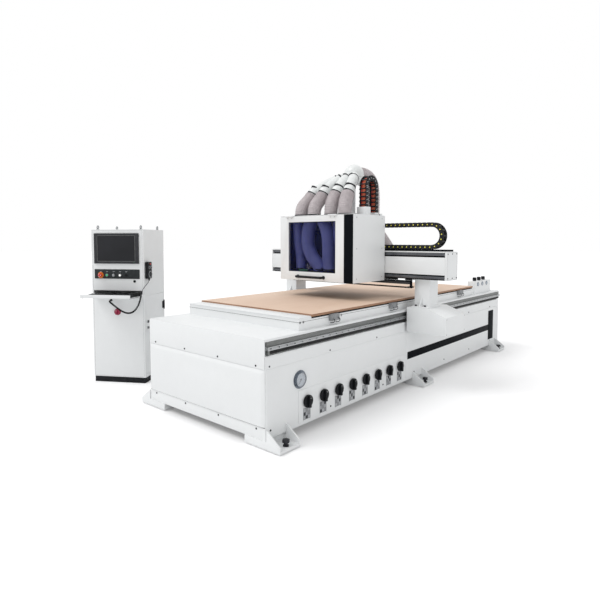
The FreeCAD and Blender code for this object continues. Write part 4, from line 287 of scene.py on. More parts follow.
def new_tree(name, sizes):
    """Empty geometry tree with named length inputs."""
    tree = bpy.data.node_groups.new(name, "GeometryNodeTree")
    tree.interface.new_socket("Geometry", in_out="INPUT", socket_type="NodeSocketGeometry")
    for label, default in sizes.items():
        socket = tree.interface.new_socket(label, in_out="INPUT", socket_type="NodeSocketFloat")
        socket.default_value = default
    tree.interface.new_socket("Geometry", in_out="OUTPUT", socket_type="NodeSocketGeometry")
    return tree, tree.nodes.new("NodeGroupInput"), tree.nodes.new("NodeGroupOutput")


def feed(tree, node, feeds):
    """Feeds a node's inputs from other nodes' outputs, or sets them to values."""
    for label, item in feeds.items():
        if hasattr(item, "is_output"):
            tree.links.new(item, node.inputs[label])
        else:
            node.inputs[label].default_value = item
    return node


def add_node(tree, kind, feeds, **settings):
    """New node of a tree, with settings of its own and its inputs fed."""
    node = tree.nodes.new(kind)
    for label, value in settings.items():
        setattr(node, label, value)
    return feed(tree, node, feeds)


def worked_out(tree, mode, *terms):
    """Value of a math node."""
    return add_node(tree, "ShaderNodeMath", dict(enumerate(terms)), operation=mode).outputs[0]


def shape_of(tree, part):
    """Geometry of a kit part."""
    return add_node(tree, "GeometryNodeObjectInfo", {"Object": part}).outputs["Geometry"]


def point_vector(tree):
    """Vector that each point of a holder carries."""
    named = add_node(tree, "GeometryNodeInputNamedAttribute", {"Name": "way"}, data_type="FLOAT_VECTOR")
    return named.outputs["Attribute"]


def facing_turn(tree, pivot="AUTO"):
    """Rotation that points a part's own Z along its point's vector."""
    feeds = {"Vector": point_vector(tree)}
    align = add_node(tree, "FunctionNodeAlignRotationToVector", feeds, axis="Z", pivot_axis=pivot)
    return align.outputs["Rotation"]


def euler_turn(tree):
    """Rotation by the three angles that a point's vector holds."""
    return add_node(tree, "FunctionNodeEulerToRotation", {0: point_vector(tree)}).outputs[0]


def set_on(tree, points, shape, **more):
    """Instances of a shape on points, their Rotation and Scale fed where given."""
    feeds = {"Points": points, "Instance": shape, **more}
    return add_node(tree, "GeometryNodeInstanceOnPoints", feeds).outputs["Instances"]


def realized(tree, geometry):
    """Instances made real."""
    return add_node(tree, "GeometryNodeRealizeInstances", {"Geometry": geometry}).outputs["Geometry"]


def finish_tree(tree, geometry, material, output):
    """Realize Instances and Set Material at a tree's end."""
    feeds = {"Geometry": realized(tree, geometry), "Material": material}
    coat = add_node(tree, "GeometryNodeSetMaterial", feeds)
    feed(tree, output, {"Geometry": coat.outputs["Geometry"]})


def settled(name, holder, tree, values, body, replaced=(), place=None):
    """Evaluates a geometry tree on a holder object and keeps the result as a plain mesh piece."""
    modifier = holder.modifiers.new("shape", "NODES")
    modifier.node_group = tree
    for item in tree.interface.items_tree:
        if item.item_type == "SOCKET" and item.in_out == "INPUT" and item.name in values:
            modifier[item.identifier] = values[item.name]
    bpy.context.view_layer.update()
    graph = bpy.context.evaluated_depsgraph_get()
    mesh = bpy.data.meshes.new_from_object(holder.evaluated_get(graph))
    used = [m for m in mesh.materials if m is not None]
    holder.modifiers.remove(modifier)
    bpy.data.objects.remove(holder)
    bm = bmesh.new()
    bm.from_mesh(mesh)
    bmesh.ops.remove_doubles(bm, verts=bm.verts, dist=MERGE_DISTANCE)
    return piece(name, bm, used, body, replaced, place)


def line_holder(points):
    """Curve object of straight runs through points in metres, for a tree to read."""
    data = bpy.data.curves.new("line", "CURVE")
    data.dimensions = "3D"
    spline = data.splines.new("POLY")
    spline.points.add(len(points) - 1)
    for item, p in zip(spline.points, points):
        item.co = (*p, 1)
    return linked("line", data)


def point_holder(places):
    """Mesh object of loose points in metres, each with its vector, for a tree to read."""
    mesh = bpy.data.meshes.new("points")
    mesh.from_pydata([p for p, way in places], [], [])
    ways = mesh.attributes.new("way", "FLOAT_VECTOR", "POINT")
    for item, (p, way) in zip(ways.data, places):
        item.vector = tuple(way)
    return linked("points", mesh)


def kit_part(name, bm):
    """Object that a tree repeats; it is removed when the tree has run."""
    soften(bm)
    return linked(name, mesh_from(name, bm))


def set_at(name, places, rotation, part, material, body, replaced, place=None):
    """A kit part at points in metres, turned as a function of the tree gives, by a geometry tree."""
    tree, source, output = new_tree(name, {"Size": 1.0})
    each = set_on(tree, source.outputs["Geometry"], shape_of(tree, part), Rotation=rotation(tree),
                  Scale=source.outputs["Size"])
    finish_tree(tree, each, material, output)
    obj = settled(name, point_holder(places), tree, {"Size": 1.0}, body, replaced, place)
    bpy.data.objects.remove(part)
    return obj


def repeated(name, places, part, material, body, replaced=(), place=None):
    """One small part at many places in millimetres, each facing its own way."""
    in_metres = [(mm(*p), way) for p, way in places]
    return set_at(name, in_metres, facing_turn, part, material, body, replaced, place)


def set_along(name, frames, part, material, body, replaced=()):
    """One part at many places in metres, each with the three angles that it is turned by."""
    return set_at(name, frames, euler_turn, part, material, body, replaced)


# Finishes

def rgb(red, green, blue):
    """Linear colour from display values between 0 and 255."""
    def channel(value):
        value /= 255
        return value / 12.92 if value <= 0.04045 else ((value + 0.055) / 1.055) ** 2.4
    return (channel(red), channel(green), channel(blue), 1.0)


def shaded(shade, share, lift=0.0):
    """A colour made darker or paler by a share, and lifted evenly."""
    return tuple(min(1.0, c * share + lift) for c in shade[:3]) + (1.0,)


class Finish:
    """A node material being put together."""

    def __init__(self, name, roughness=0.5, metallic=0.0, gloss=0.5):
        self.material = bpy.data.materials.new(name)
        self.material.use_nodes = True
        self.tree = self.material.node_tree
        self.shader = self.tree.nodes["Principled BSDF"]
        self.set({"Roughness": roughness, "Metallic": metallic, "Specular IOR Level": gloss})
        self.place = add_node(self.tree, "ShaderNodeTexCoord", {}).outputs["Object"]
        self.bumped = None

    def set(self, feeds):
        """Feeds the surface's own inputs."""
        feed(self.tree, self.shader, feeds)

    def stretched(self, x, y, z):
        """Object coordinates at a scale of their own along each axis."""
        feeds = {"Scale": (x, y, z), "Vector": self.place}
        return add_node(self.tree, "ShaderNodeMapping", feeds).outputs["Vector"]

    def noise(self, scale, detail=4.0, roughness=0.55, vector=None):
        """Noise from 0 to 1."""
        feeds = {"Scale": scale, "Detail": detail, "Roughness": roughness, "Vector": vector or self.place}
        return add_node(self.tree, "ShaderNodeTexNoise", feeds).outputs["Fac"]

    def ramp(self, value, *stops):
        """Colours by a value, between two stops of a place and a colour each."""
        node = add_node(self.tree, "ShaderNodeValToRGB", {"Fac": value})
        for element, (place, shade) in zip(node.color_ramp.elements, stops):
            element.position = place
            element.color = shade
        return node.outputs["Color"]

    def ranged(self, value, low, high, start=0.0, end=1.0):
        """A value moved from start and end to low and high."""
        feeds = {"Value": value, "From Min": start, "From Max": end, "To Min": low, "To Max": high}
        return add_node(self.tree, "ShaderNodeMapRange", feeds).outputs["Result"]

    def mixed(self, share, first, second):
        """Two colours mixed by a value; 6, 7 and 2 are the node's colour sockets."""
        feeds = {0: share, 6: first, 7: second}
        return add_node(self.tree, "ShaderNodeMix", feeds, data_type="RGBA").outputs[2]

    def facing(self, axis):
        """How far a surface faces along one axis, from -1 to 1."""
        normal = add_node(self.tree, "ShaderNodeNewGeometry", {}).outputs["Normal"]
        return add_node(self.tree, "ShaderNodeSeparateXYZ", {"Vector": normal}).outputs[axis]

    def coat(self, value):
        """Base colour."""
        self.set({"Base Color": value})

    def rough(self, value):
        """Roughness."""
        self.set({"Roughness": value})

    def bump(self, value, strength, distance):
        """Raises the surface by a value, over any bump set before."""
        feeds = {"Strength": strength, "Distance": distance, "Height": value}
        if self.bumped:
            feeds["Normal"] = self.bumped
        self.bumped = add_node(self.tree, "ShaderNodeBump", feeds).outputs["Normal"]
        self.set({"Normal": self.bumped})


def powder_coat(name, shade, dusty, grain=900.0, roughness=0.42, gloss=0.5):
    """Baked powder coat: fine orange peel, faint waviness of the sheet and a little handling grime."""
    f = Finish(name, roughness, gloss=gloss)
    broad = f.noise(2.3, 3.0)
    patches = f.noise(11.0, 5.0, 0.62)
    f.coat(f.ramp(f.mixed(0.5, broad, patches), (0.30, dusty), (0.66, shade)))
    f.rough(f.ranged(patches, roughness - 0.07, roughness + 0.1))
    f.bump(f.noise(grain, 2.0), 0.10, 0.0004)
    f.bump(f.noise(6.0, 1.0), 0.12, 0.004)
    return f.material


def moulded(name, shade, paler, roughness=0.5, grain=1400.0, strength=0.16, gloss=0.5):
    """Moulded plastic with a fine eroded grain."""
    f = Finish(name, roughness, gloss=gloss)
    f.coat(f.ramp(f.noise(38.0, 4.0), (0.35, shade), (0.75, paler)))
    f.rough(f.ranged(f.noise(70.0), roughness - 0.08, roughness + 0.08))
    f.bump(f.noise(grain, 2.0), strength, 0.0004)
    return f.material


def ground_steel(name, shade, darker, axis, roughness=0.26):
    """Ground steel with fine lines along one axis and faint oil stains."""
    f = Finish(name, roughness, 1.0)
    scale = [900.0] * 3
    scale["XYZ".index(axis)] = 9.0
    lines = f.noise(1.0, 3.0, 0.7, f.stretched(*scale))
    stains = f.noise(9.0, 5.0, 0.6)
    f.coat(f.mixed(f.ranged(stains, 0.0, 0.5, 0.45, 0.8), f.ramp(lines, (0.3, darker), (0.7, shade)), darker))
    f.rough(f.ranged(lines, roughness - 0.07, roughness + 0.12))
    f.bump(lines, 0.12, 0.0003)
    return f.material


def plated(name, shade, roughness=0.3):
    """Plated small parts with slight blotches."""
    f = Finish(name, roughness, 1.0)
    blotch = f.noise(160.0, 4.0)
    f.coat(f.ramp(blotch, (0.3, shaded(shade, 0.72)), (0.7, shade)))
    f.rough(f.ranged(blotch, roughness - 0.08, roughness + 0.14))
    return f.material


def rubber(name, shade, roughness=0.68):
    """Dull rubber with dust in its grain."""
    f = Finish(name, roughness, gloss=0.25)
    f.coat(f.ramp(f.noise(55.0, 6.0, 0.7), (0.42, shade), (0.8, shaded(shade, 1.9, 0.006))))
    f.bump(f.noise(2200.0, 2.0), 0.2, 0.0003)
    return f.material


def board_finish():
    """Pressed board: a skimmed tan face with faint cutter passes, and brown sawn edges in thin layers."""
    f = Finish("tan_board", 0.62)
    specks = f.noise(420.0, 6.0, 0.75)
    clouds = f.noise(3.2, 4.0, 0.55, f.stretched(1.0, 0.35, 1.0))
    face = f.ramp(clouds, (0.3, rgb(212, 184, 162)), (0.7, rgb(223, 198, 178)))
    face = f.mixed(f.ranged(specks, 0.0, 0.32, 0.5, 0.78), face, rgb(186, 152, 126))
    feeds = {"Scale": 12.6, "Distortion": 0.15, "Vector": f.place}
    passes = add_node(f.tree, "ShaderNodeTexWave", feeds, bands_direction="X").outputs["Fac"]
    face = f.mixed(f.ranged(passes, 0.0, 0.07), face, rgb(200, 168, 144))
    layers = f.noise(1.0, 2.0, 0.5, f.stretched(3.0, 3.0, 420.0))
    side = f.ramp(layers, (0.35, rgb(134, 98, 74)), (0.65, rgb(172, 132, 104)))
    f.coat(f.mixed(f.ranged(f.facing("Z"), 0.0, 1.0, 0.35, 0.75), side, face))
    f.rough(f.ranged(specks, 0.52, 0.72))
    f.bump(specks, 0.22, 0.0006)
    f.bump(passes, 0.05, 0.0004)
    return f.material


def hose_finish(name, shade, deep):
    """Translucent polyurethane hose: greyer in random dusty patches, a soft sheen on it."""
    f = Finish(name, 0.42)
    f.set({"Subsurface Weight": 0.12, "Subsurface Radius": (0.004, 0.004, 0.004), "Sheen Weight": 0.08})
    dust = f.noise(26.0, 5.0, 0.6)
    f.coat(f.ramp(dust, (0.3, deep), (0.7, shade)))
    f.rough(f.ranged(dust, 0.34, 0.55))
    f.bump(f.noise(340.0, 3.0), 0.1, 0.0006)
    return f.material


def pane_finish():
    """Tinted acrylic pane."""
    f = Finish("tinted_pane", 0.06, gloss=0.12)
    f.set({"Alpha": 0.2})
    f.coat(f.ramp(f.noise(3.0, 2.0), (0.3, rgb(15, 19, 60)), (0.7, rgb(23, 29, 78))))
    f.rough(f.ranged(f.noise(30.0, 5.0), 0.04, 0.14))
    return f.material


def clear_finish():
    """Clear gauge glass."""
    f = Finish("gauge_glass", 0.04)
    f.set({"Alpha": 0.14})
    f.rough(f.ranged(f.noise(60.0, 5.0), 0.03, 0.1))
    return f.material


def screen_finish():
    """Dark glass of the monitor, off."""
    f = Finish("screen_glass", 0.16, gloss=0.22)
    f.coat(f.ramp(f.noise(4.0, 2.0), (0.3, rgb(30, 31, 34)), (0.7, rgb(36, 37, 41))))
    f.rough(f.ranged(f.noise(45.0, 5.0), 0.12, 0.3))
    return f.material


def glowing(name, shade, strength):
    """Lit lens of a push button."""
    f = Finish(name, 0.25)
    f.coat(f.ramp(f.noise(90.0), (0.3, shade), (0.7, shaded(shade, 1.25))))
    f.set({"Emission Color": shade, "Emission Strength": strength})
    return f.material


class Finishes:
    """Every finish of the router, made once and kept here."""


F = Finishes()


def make_finishes(colours):
    """Makes the finishes from the user's colours."""
    white = (*colours.machine, 1.0)
    dusty = shaded(colours.machine, 0.965)
    F.white = powder_coat("machine_white", white, dusty)
    F.white_top = powder_coat("tray_white", white, dusty, roughness=0.36)
    # Black paint of the real black parts, also used as painted shade in the beam's recess and below it.
    F.black_paint = powder_coat("black_paint", rgb(11, 14, 18), rgb(15, 18, 23), 1200.0, 0.5, 0.03)
    F.board = board_finish()
    F.rail_y = ground_steel("rail_along_bed", rgb(205, 207, 208), rgb(150, 152, 154), "Y")
    # Darker than the other rails: partly the steel's own colour, partly painted shade under the beam's lip.
    F.rail_x = ground_steel("rail_along_beam", rgb(120, 122, 126), rgb(74, 76, 80), "X", 0.34)
    F.rail_z = ground_steel("rail_upright", rgb(190, 192, 194), rgb(130, 132, 134), "Z")
    F.rack = ground_steel("rack_steel", rgb(84, 84, 84), rgb(52, 52, 52), "Y", 0.5)
    F.strip = ground_steel("way_strip", rgb(150, 152, 150), rgb(98, 100, 100), "Y", 0.44)
    F.zinc = plated("zinc_plate", rgb(178, 180, 182), 0.34)
    F.black_oxide = plated("black_oxide", rgb(66, 66, 70), 0.46)
    F.chrome = plated("bright_steel", rgb(214, 216, 220), 0.14)
    F.black_plastic = moulded("black_plastic", rgb(15, 17, 20), rgb(30, 32, 36), gloss=0.2)
    F.key_black = moulded("key_black", rgb(26, 28, 32), rgb(44, 46, 50), 0.55, gloss=0.2)
    F.grip_black = moulded("grip_black", rgb(32, 34, 38), rgb(52, 54, 58), 0.45, gloss=0.2)
    F.chain = moulded("chain_plastic", rgb(24, 25, 27), rgb(42, 43, 46), 0.52, gloss=0.2)
    F.charcoal = moulded("charcoal_bezel", rgb(50, 51, 54), rgb(62, 63, 66), 0.55, gloss=0.2)
    F.panel_black = moulded("button_panel", rgb(38, 42, 44), rgb(48, 52, 54), 0.45, gloss=0.2)
    F.grey_plastic = moulded("grey_plastic", rgb(128, 130, 132), rgb(150, 152, 154))
    F.light_plastic = moulded("pale_plastic", rgb(196, 200, 202), rgb(214, 217, 219), 0.4)
    # Grey of the screen's rim and of the panel joints, also used for the painted shadow line under the
    # table's lip.
    F.rim_grey = moulded("screen_rim", rgb(92, 93, 92), rgb(110, 111, 110), 0.4)
    F.pvc = moulded("white_pipe", rgb(222, 225, 224), rgb(234, 236, 236), 0.3, 500.0, 0.05)
    F.yellow = moulded("yellow_tag", rgb(214, 204, 70), rgb(234, 226, 110), 0.45)
    F.white_tag = moulded("white_tag", rgb(205, 206, 208), rgb(228, 229, 230), 0.45)
    F.red = moulded("red_plastic", rgb(196, 40, 34), rgb(216, 60, 48), 0.35)
    F.dark_red = moulded("crimson_plastic", rgb(140, 22, 58), rgb(168, 34, 74), 0.38)
    F.amber = moulded("amber_collar", rgb(226, 120, 40), rgb(238, 160, 60), 0.4)
    F.red_hose = moulded("red_hose", rgb(186, 40, 34), rgb(206, 60, 50), 0.35)
    F.orange_hose = moulded("orange_hose", rgb(214, 104, 66), rgb(228, 132, 92), 0.35)
    F.hose = hose_finish("ribbed_hose", (*colours.hose, 1.0), shaded(colours.hose, 0.8))
    F.inner_hose = hose_finish("inner_hose", rgb(106, 111, 176), rgb(86, 93, 160))
    F.pane = pane_finish()
    F.screen = screen_finish()
    F.rubber = rubber("cord_rubber", rgb(20, 21, 23))
    # Painted shadow: near-black rubber finish of the strips that stand for shade under the board's edge and
    # between the pusher and the beam.
    F.dark_gap = rubber("brush_black", rgb(14, 15, 16), 0.85)
    F.label_pale = moulded("label_print", rgb(158, 160, 164), rgb(184, 186, 190), 0.5)
    F.glass = clear_finish()
    F.dial = moulded("dial_face", rgb(178, 188, 200), rgb(192, 200, 210), 0.3)
    F.ink = moulded("dial_ink", rgb(28, 30, 36), rgb(38, 40, 46), 0.5)
    F.bezel = plated("gauge_rim", rgb(128, 136, 146), 0.26)
    F.green_lens = glowing("green_lens", rgb(40, 170, 110), 0.15)
    F.grey_lens = glowing("grey_lens", rgb(150, 152, 156), 0.0)
    F.white_lens = glowing("white_lens", rgb(240, 240, 236), 0.35)
    F.green_dust = moulded("green_brush", rgb(44, 92, 66), rgb(58, 116, 82), 0.7)
    # Painted shade: the hood's inside and the door's inner faces are made near black for the darkness inside
    # the hood.
    F.hood_dark = powder_coat("hood_lining", rgb(14, 16, 18), rgb(10, 12, 14), 900.0, 0.6, 0.1)
    F.light_metal = ground_steel("cast_plate", rgb(176, 178, 182), rgb(140, 142, 146), "Z", 0.42)
    F.motor = powder_coat("spindle_grey", rgb(52, 56, 62), rgb(40, 44, 50), 900.0, 0.4)


# Stage

FLOOR_RADIUS = 60
FLOOR_COLOUR = (0.86, 0.86, 0.865, 1)
FLOOR_GLOW = 0.17
SKY_LIGHT = 0.83
SUN_STRENGTH = 1.15
SUN_WIDTH = radians(28)
SUN_FROM = Vector((-0.45, -0.62, 1.0))
CAMERA_PLACE = (2.972, -4.357, 1.400)
CAMERA_TILT = radians(90 - 3.36)
CAMERA_HEADING = radians(41.11)
CAMERA_LENS = 29.79
CAMERA_SHIFT = -0.0517


def make_floor():
    """Pale floor that keeps the shadow and looks nearly white to the camera."""
    coat = bpy.data.materials.new("pale_floor")
    coat.use_nodes = True
    tree = coat.node_tree
    path = add_node(tree, "ShaderNodeLightPath", {})
    glow = worked_out(tree, "MULTIPLY", path.outputs["Is Camera Ray"], FLOOR_GLOW)
    feed(tree, tree.nodes["Principled BSDF"],
         {"Base Color": FLOOR_COLOUR, "Roughness": 0.9, "Specular IOR Level": 0.0,
          "Emission Color": (1, 1, 1, 1), "Emission Strength": glow})
    bm = bmesh.new()
    bmesh.ops.create_circle(bm, cap_ends=True, segments=96, radius=FLOOR_RADIUS)
    floor = linked("floor", mesh_from("floor", bm))
    floor.data.materials.append(coat)


def make_studio():
    """Even white light all round, seen as pure white by the camera, by metal and through glass."""
    world = bpy.data.worlds.new("studio")
    bpy.context.scene.world = world
    world.use_nodes = True
    tree = world.node_tree
    path = add_node(tree, "ShaderNodeLightPath", {})
    seen = path.outputs["Is Camera Ray"]
    for ray in ("Is Glossy Ray", "Is Transmission Ray"):
        seen = worked_out(tree, "MAXIMUM", seen, path.outputs[ray])
    level = add_node(tree, "ShaderNodeMapRange", {"Value": seen, "To Min": SKY_LIGHT, "To Max": 1.0})
    feed(tree, tree.nodes["Background"], {"Color": (1, 1, 1, 1), "Strength": level.outputs["Result"]})


def make_stage():
    """Floor, studio light, one soft sun and the photograph's camera."""
    scene = bpy.context.scene
    scene.view_settings.view_transform = "Standard"
    make_floor()
    make_studio()

    sun = bpy.data.lights.new("key", "SUN")
    sun.energy = SUN_STRENGTH
    sun.angle = SUN_WIDTH
    linked("key", sun).rotation_euler = SUN_FROM.to_track_quat("Z", "Y").to_euler()

    camera = bpy.data.cameras.new("camera")
    camera.sensor_width = 36
    camera.lens = CAMERA_LENS
    camera.shift_y = CAMERA_SHIFT
    camera.clip_end = 200
    view = linked("camera", camera)
    view.location = CAMERA_PLACE
    view.rotation_euler = (CAMERA_TILT, 0, CAMERA_HEADING)
    scene.camera = view


# Bed

BED_SIDE = 690
BED_REAR = 2187
BED_FRONT = -2080
COVER_SIDE = 681.5
BOLT_SIDE = 774.5
BOLT_ROWS = (-1981.5, 0, 1981.5)
BOARD_SIDE = 643.3
WAY_START, WAY_END = -2062, 2230
WAY_INNER = 662
RACK_FACE = 677
PLATE_FACE = 694
VALVE_COUNT = 8
VALVE_ROWS = [-1672 + 188 * i for i in range(VALVE_COUNT)]
VALVE_PITCH = VALVE_ROWS[1] - VALVE_ROWS[0]
VALVE_HEIGHT = 241


def screw_part(radius, height):
    """Button-head screw with a socket, standing on its seat."""
    bm = bmesh.new()
    turned(bm, [(radius, 0), (radius, height * 0.35), (radius * 0.82, height * 0.8), (radius * 0.55, height),
                (radius * 0.5, height), (radius * 0.46, height * 0.45)], (0, 0, 0), Z, 12)
    return kit_part("screw_kit", bm)


def plug_part(radius, inner, low, high):
    """Plug ring of a rail's bolt hole, sunk in the rail up to a height."""
    bm = bmesh.new()
    turned(bm, [(radius, low), (radius, high), (inner, high), (inner, low + 0.1)], (0, 0, 0), Z, 12)
    return kit_part("plug_kit", bm)


def mirrored(low, high):
    """A span on the right and the same span on the left, each from low to high."""
    return (-high, -low), (low, high)


def dress_bed():
    """Covers, feet, bolts, screws and panel joints of the bed, with painted shadow lines under the table's
    lip and the board's edge.
    """
    dressed("side_covers", "bed_covers", F.white, "bed", 2.0, 12)
    dressed("feet", "bed_feet", F.white, "bed", 1.5)
    dressed("bed_frame", "bed_panels", F.white, "bed", 1.5)

    skirt_top, joint_top = 148.4, 152.6
    rail_joint, rail_joint_top = 806, 808.6
    table_front = -1707.8
    gaps = bmesh.new()
    block(gaps, (-676, BED_FRONT - 0.6, skirt_top), (676, BED_FRONT + 0.2, joint_top))
    # Painted shadow: a dark line under the table's lip, along its front and both sides; the strip before it
    # is the joint at the front cover's foot.
    block(gaps, (-643.4, table_front - 0.5, rail_joint), (643.4, table_front, rail_joint_top))
    for low, high in mirrored(643.2, 643.8):
        block(gaps, (low, table_front, rail_joint), (high, 1430, rail_joint_top))
    piece("panel_gaps", gaps, F.rim_grey, "bed")

    # Painted shadow: dark strips under the board's overhanging edge, along both sides.
    boxes("board_edge_seals", F.dark_gap, "bed",
          [((low, -1560, 821), (high, 1424, 833.8)) for low, high in mirrored(BOARD_SIDE, BOARD_SIDE + 1.7)])
    boxes("skirt_corners", F.white, "bed",
          [((low, y, 61), (high, y + 3, skirt_top - 0.2))
           for low, high in mirrored(655, 682) for y in (BED_FRONT, BED_REAR)])
    levelling_bolts()
    cover_screws()


def levelling_bolts():
    """Levelling bolts: foot pad, threaded shank, lock nut and hexagon head."""
    thread_start, thread_end, thread_pitch = 9.0, 52, 2.2
    root, crest = 11.6, 12.0
    shank = 20
    bm = bmesh.new()
    profile = [(13, 0), (15, 1.5), (15, 6), (13.5, 7.5), (12, 7.5)]
    z = thread_start
    while z < thread_end:
        profile += [(root, z), (crest, z + 0.7), (crest, z + 1.3), (root, z + 2.0)]
        z += thread_pitch
    for x in (-BOLT_SIDE, BOLT_SIDE):
        for y in BOLT_ROWS:
            turned(bm, profile, (x, y, 0), Z, 24)
            for foot, tall, wide in ((28, 9, 22), (54, 19, 26.5)):
                nut = [(shank, foot), (wide, foot), (wide, foot + tall), (shank, foot + tall)]
                turned(bm, nut, (x, y, 0), Z, 6)
            turned(bm, [(21.5, 72.4), (21.5, 73.6), (shank, 73.9)], (x, y, 0), Z, 24)
    piece("levelling_bolts", bm, F.black_oxide, "bed")


def cover_screws():
    """Button-head screws of the covers and of the skirt, those among the valves set between two of them."""
    cover_height, skirt_height = 560, 130
    places = []
    for i in range(7):
        y = -2042 + 658 * i
        for side in (-1, 1):
            places.append(((side * COVER_SIDE, y, cover_height), (side, 0, 0)))
        places.append(((-BED_SIDE, y, skirt_height), (-1, 0, 0)))
        right = (BED_SIDE, y, skirt_height)
        if -1760 < y < -268:
            below = (y - VALVE_ROWS[0]) // VALVE_PITCH
            right = (PLATE_FACE, VALVE_ROWS[0] + VALVE_PITCH * (below + 0.5), skirt_height)
        places.append((right, (1, 0, 0)))
    for x in (-594, -198, 198, 594):
        places.append(((x, -2083, cover_height), (0, -1, 0)))
        places.append(((x, BED_FRONT, skirt_height), (0, -1, 0)))
    repeated("cover_screws", places, screw_part(7, 4), F.black_oxide, "bed", ["bed_fasteners"])


def way_parts():
    """Profiled guide rail with its bolt holes, toothed rack and cover strip on each side of the bed."""
    run = (0, WAY_END - WAY_START, 0)
    rail_section = [(WAY_INNER, 667), (690, 667), (690, 673), (686, 677), (686, 681), (690, 685),
                    (690, 689.5), (688.5, 691), (WAY_INNER, 691)]
    strip_section = [(WAY_INNER, 692), (676, 692), (676, 726.5), (674.5, 728), (WAY_INNER, 728)]
    stop = WAY_START + 16
    rails = bmesh.new()
    strips = bmesh.new()
    for side in (-1, 1):
        extruded(rails, [(side * x, WAY_START, z) for x, z in rail_section], run)
        extruded(strips, [(side * x, WAY_START, z) for x, z in strip_section], run)
        low, high = sorted((side * WAY_INNER, side * RACK_FACE))
        block(strips, (low, stop, 637.7), (high, WAY_END, 666.7), 0.8)
        low, high = sorted((side * WAY_INNER, side * 690))
        block(strips, (low, WAY_START, 638), (high, stop - 0.3, 666.7), 1.0)
    piece("guide_rails", rails, F.rail_y, "bed")
    piece("way_strips", strips, F.strip, "bed", ["y_rails"])
    rack_teeth()
    holes = [((side * 690, -2032 + 80 * i, 679), (side, 0, 0)) for side in (-1, 1) for i in range(53)]
    repeated("rail_plugs", holes, plug_part(4.2, 3.2, -0.4, 0.0), F.black_oxide, "bed")


def rack_teeth():
    """Teeth of both racks, set along two lines by a geometry tree."""
    tooth_width, tooth_height = 22, 3.0
    root_half, tip_half = 2.3, 0.95
    values = {"Pitch": 6.3 * MM, "Length": 4260 * MM}
    tooth = bmesh.new()
    extruded(tooth, [(0, -root_half, 0), (0, root_half, 0), (0, tip_half, tooth_height),
                     (0, -tip_half, tooth_height)], (tooth_width, 0, 0))
    bmesh.ops.translate(tooth, verts=tooth.verts, vec=mm(-tooth_width / 2, 0, 0))
    part = kit_part("tooth_kit", tooth)
    tree, source, output = new_tree("rack_teeth", values)
    pitch = source.outputs["Pitch"]
    step = add_node(tree, "ShaderNodeCombineXYZ", {"Y": pitch}).outputs["Vector"]
    feeds = {"Count": worked_out(tree, "DIVIDE", source.outputs["Length"], pitch), "Offset": step}
    line = add_node(tree, "GeometryNodeMeshLine", feeds, mode="OFFSET").outputs["Mesh"]
    teeth = realized(tree, set_on(tree, line, shape_of(tree, part)))
    racks = set_on(tree, source.outputs["Geometry"], teeth, Rotation=facing_turn(tree, "Y"))
    finish_tree(tree, racks, F.rack, output)
    places = [(mm(side * RACK_FACE, -2040, 652), (side, 0, 0)) for side in (-1, 1)]
    settled("rack_teeth", point_holder(places), tree, values, "bed")
    bpy.data.objects.remove(part)


# Chains

LOWER_STRAND = ("gantry", "chain_bend", (-0.1, 0, 0), (0.861, 0, 0))
UPPER_STRAND = ("head", "gantry", (-0.147, 0, 0), (1.931, 0, 0))
REAR_STRAND = ("head", "chain_loop", (0, 0, 1.6647), (0, 0, 1.905))
FRONT_STRAND = ("hood", "head", (0, 0, 1.7127), (0, 0, 2.1156))
ROOF_HOSES = ("head", "hood", (0, 0, 1.862), (0, 0, 1.612))
PLATE_THICK = 5


def link_plates(pitch, height, width):
    """Side plates and cross bars of one chain link, which runs along X, its width along Y."""
    bar_half, bar_inset = 2.4, 3.2
    corner = height * 0.2
    top = height / 2
    bm = bmesh.new()
    for side in (-1, 1):
        for start, end, inset in ((-0.5, 0.18, 0.0), (-0.12, 0.5, PLATE_THICK * 0.55)):
            x0, x1 = start * pitch, end * pitch
            y = side * (width / 2 - inset)
            outline = [(x0 + corner, -top), (x1 - corner, -top), (x1, corner - top), (x1, top - corner),
                       (x1 - corner, top), (x0 + corner, top), (x0, top - corner), (x0, corner - top)]
            extruded(bm, [(x, y, z) for x, z in outline], (0, -side * PLATE_THICK, 0), 0.8)
    bar = pitch * 0.17
    half = width / 2 - PLATE_THICK * 1.6
    for z in (bar_inset - top, top - bar_inset):
        block(bm, (-bar, -half, z - bar_half), (bar, half, z + bar_half), 0.9)
    bmesh.ops.recalc_face_normals(bm, faces=bm.faces)
    return kit_part("link_kit", bm)


def link_tags(pitch, width, radius):
    """Coloured tags on both sides of one link."""
    bm = bmesh.new()
    for side in (-1, 1):
        foot = (pitch * 0.30, side * (width / 2 - 4.4), 0)
        turned(bm, [(radius, 0), (radius, 4.2), (radius * 0.8, 4.9), (0, 4.9)], foot, Y * side, 14)
    bmesh.ops.recalc_face_normals(bm, faces=bm.faces)
    return kit_part("tag_kit", bm)


def run_frames(start, way, count, pitch, across):
    """Places of links in a straight strand, start to end, with the side that their width lies along."""
    turn = Matrix((way, across, way.cross(across))).transposed().to_euler()
    return [(start + way * (pitch * (i + 0.5) * MM), turn) for i in range(count)]


def bend_frames(centre, radius, count, first, second, across):
    """Places of links round a half turn, from the first direction over the second to the first's opposite."""
    frames = []
    for i in range(count):
        a = pi * (i + 0.5) / count
        out = first * cos(a) + second * sin(a)
        way = second * cos(a) - first * sin(a)
        turn = Matrix((way, across, way.cross(across))).transposed().to_euler()
        frames.append((centre + out * radius * MM, turn))
    return frames


def chain_part(name, frames, size, tag, tag_radius, body, replaced=()):
    """Links of a pitch, height and width along a list of places, with their tags."""
    pitch, height, width = size
    set_along(name, frames, link_plates(pitch, height, width), F.chain, body, replaced)
    set_along(name + "_tags", frames, link_tags(pitch, width, tag_radius), tag, body)


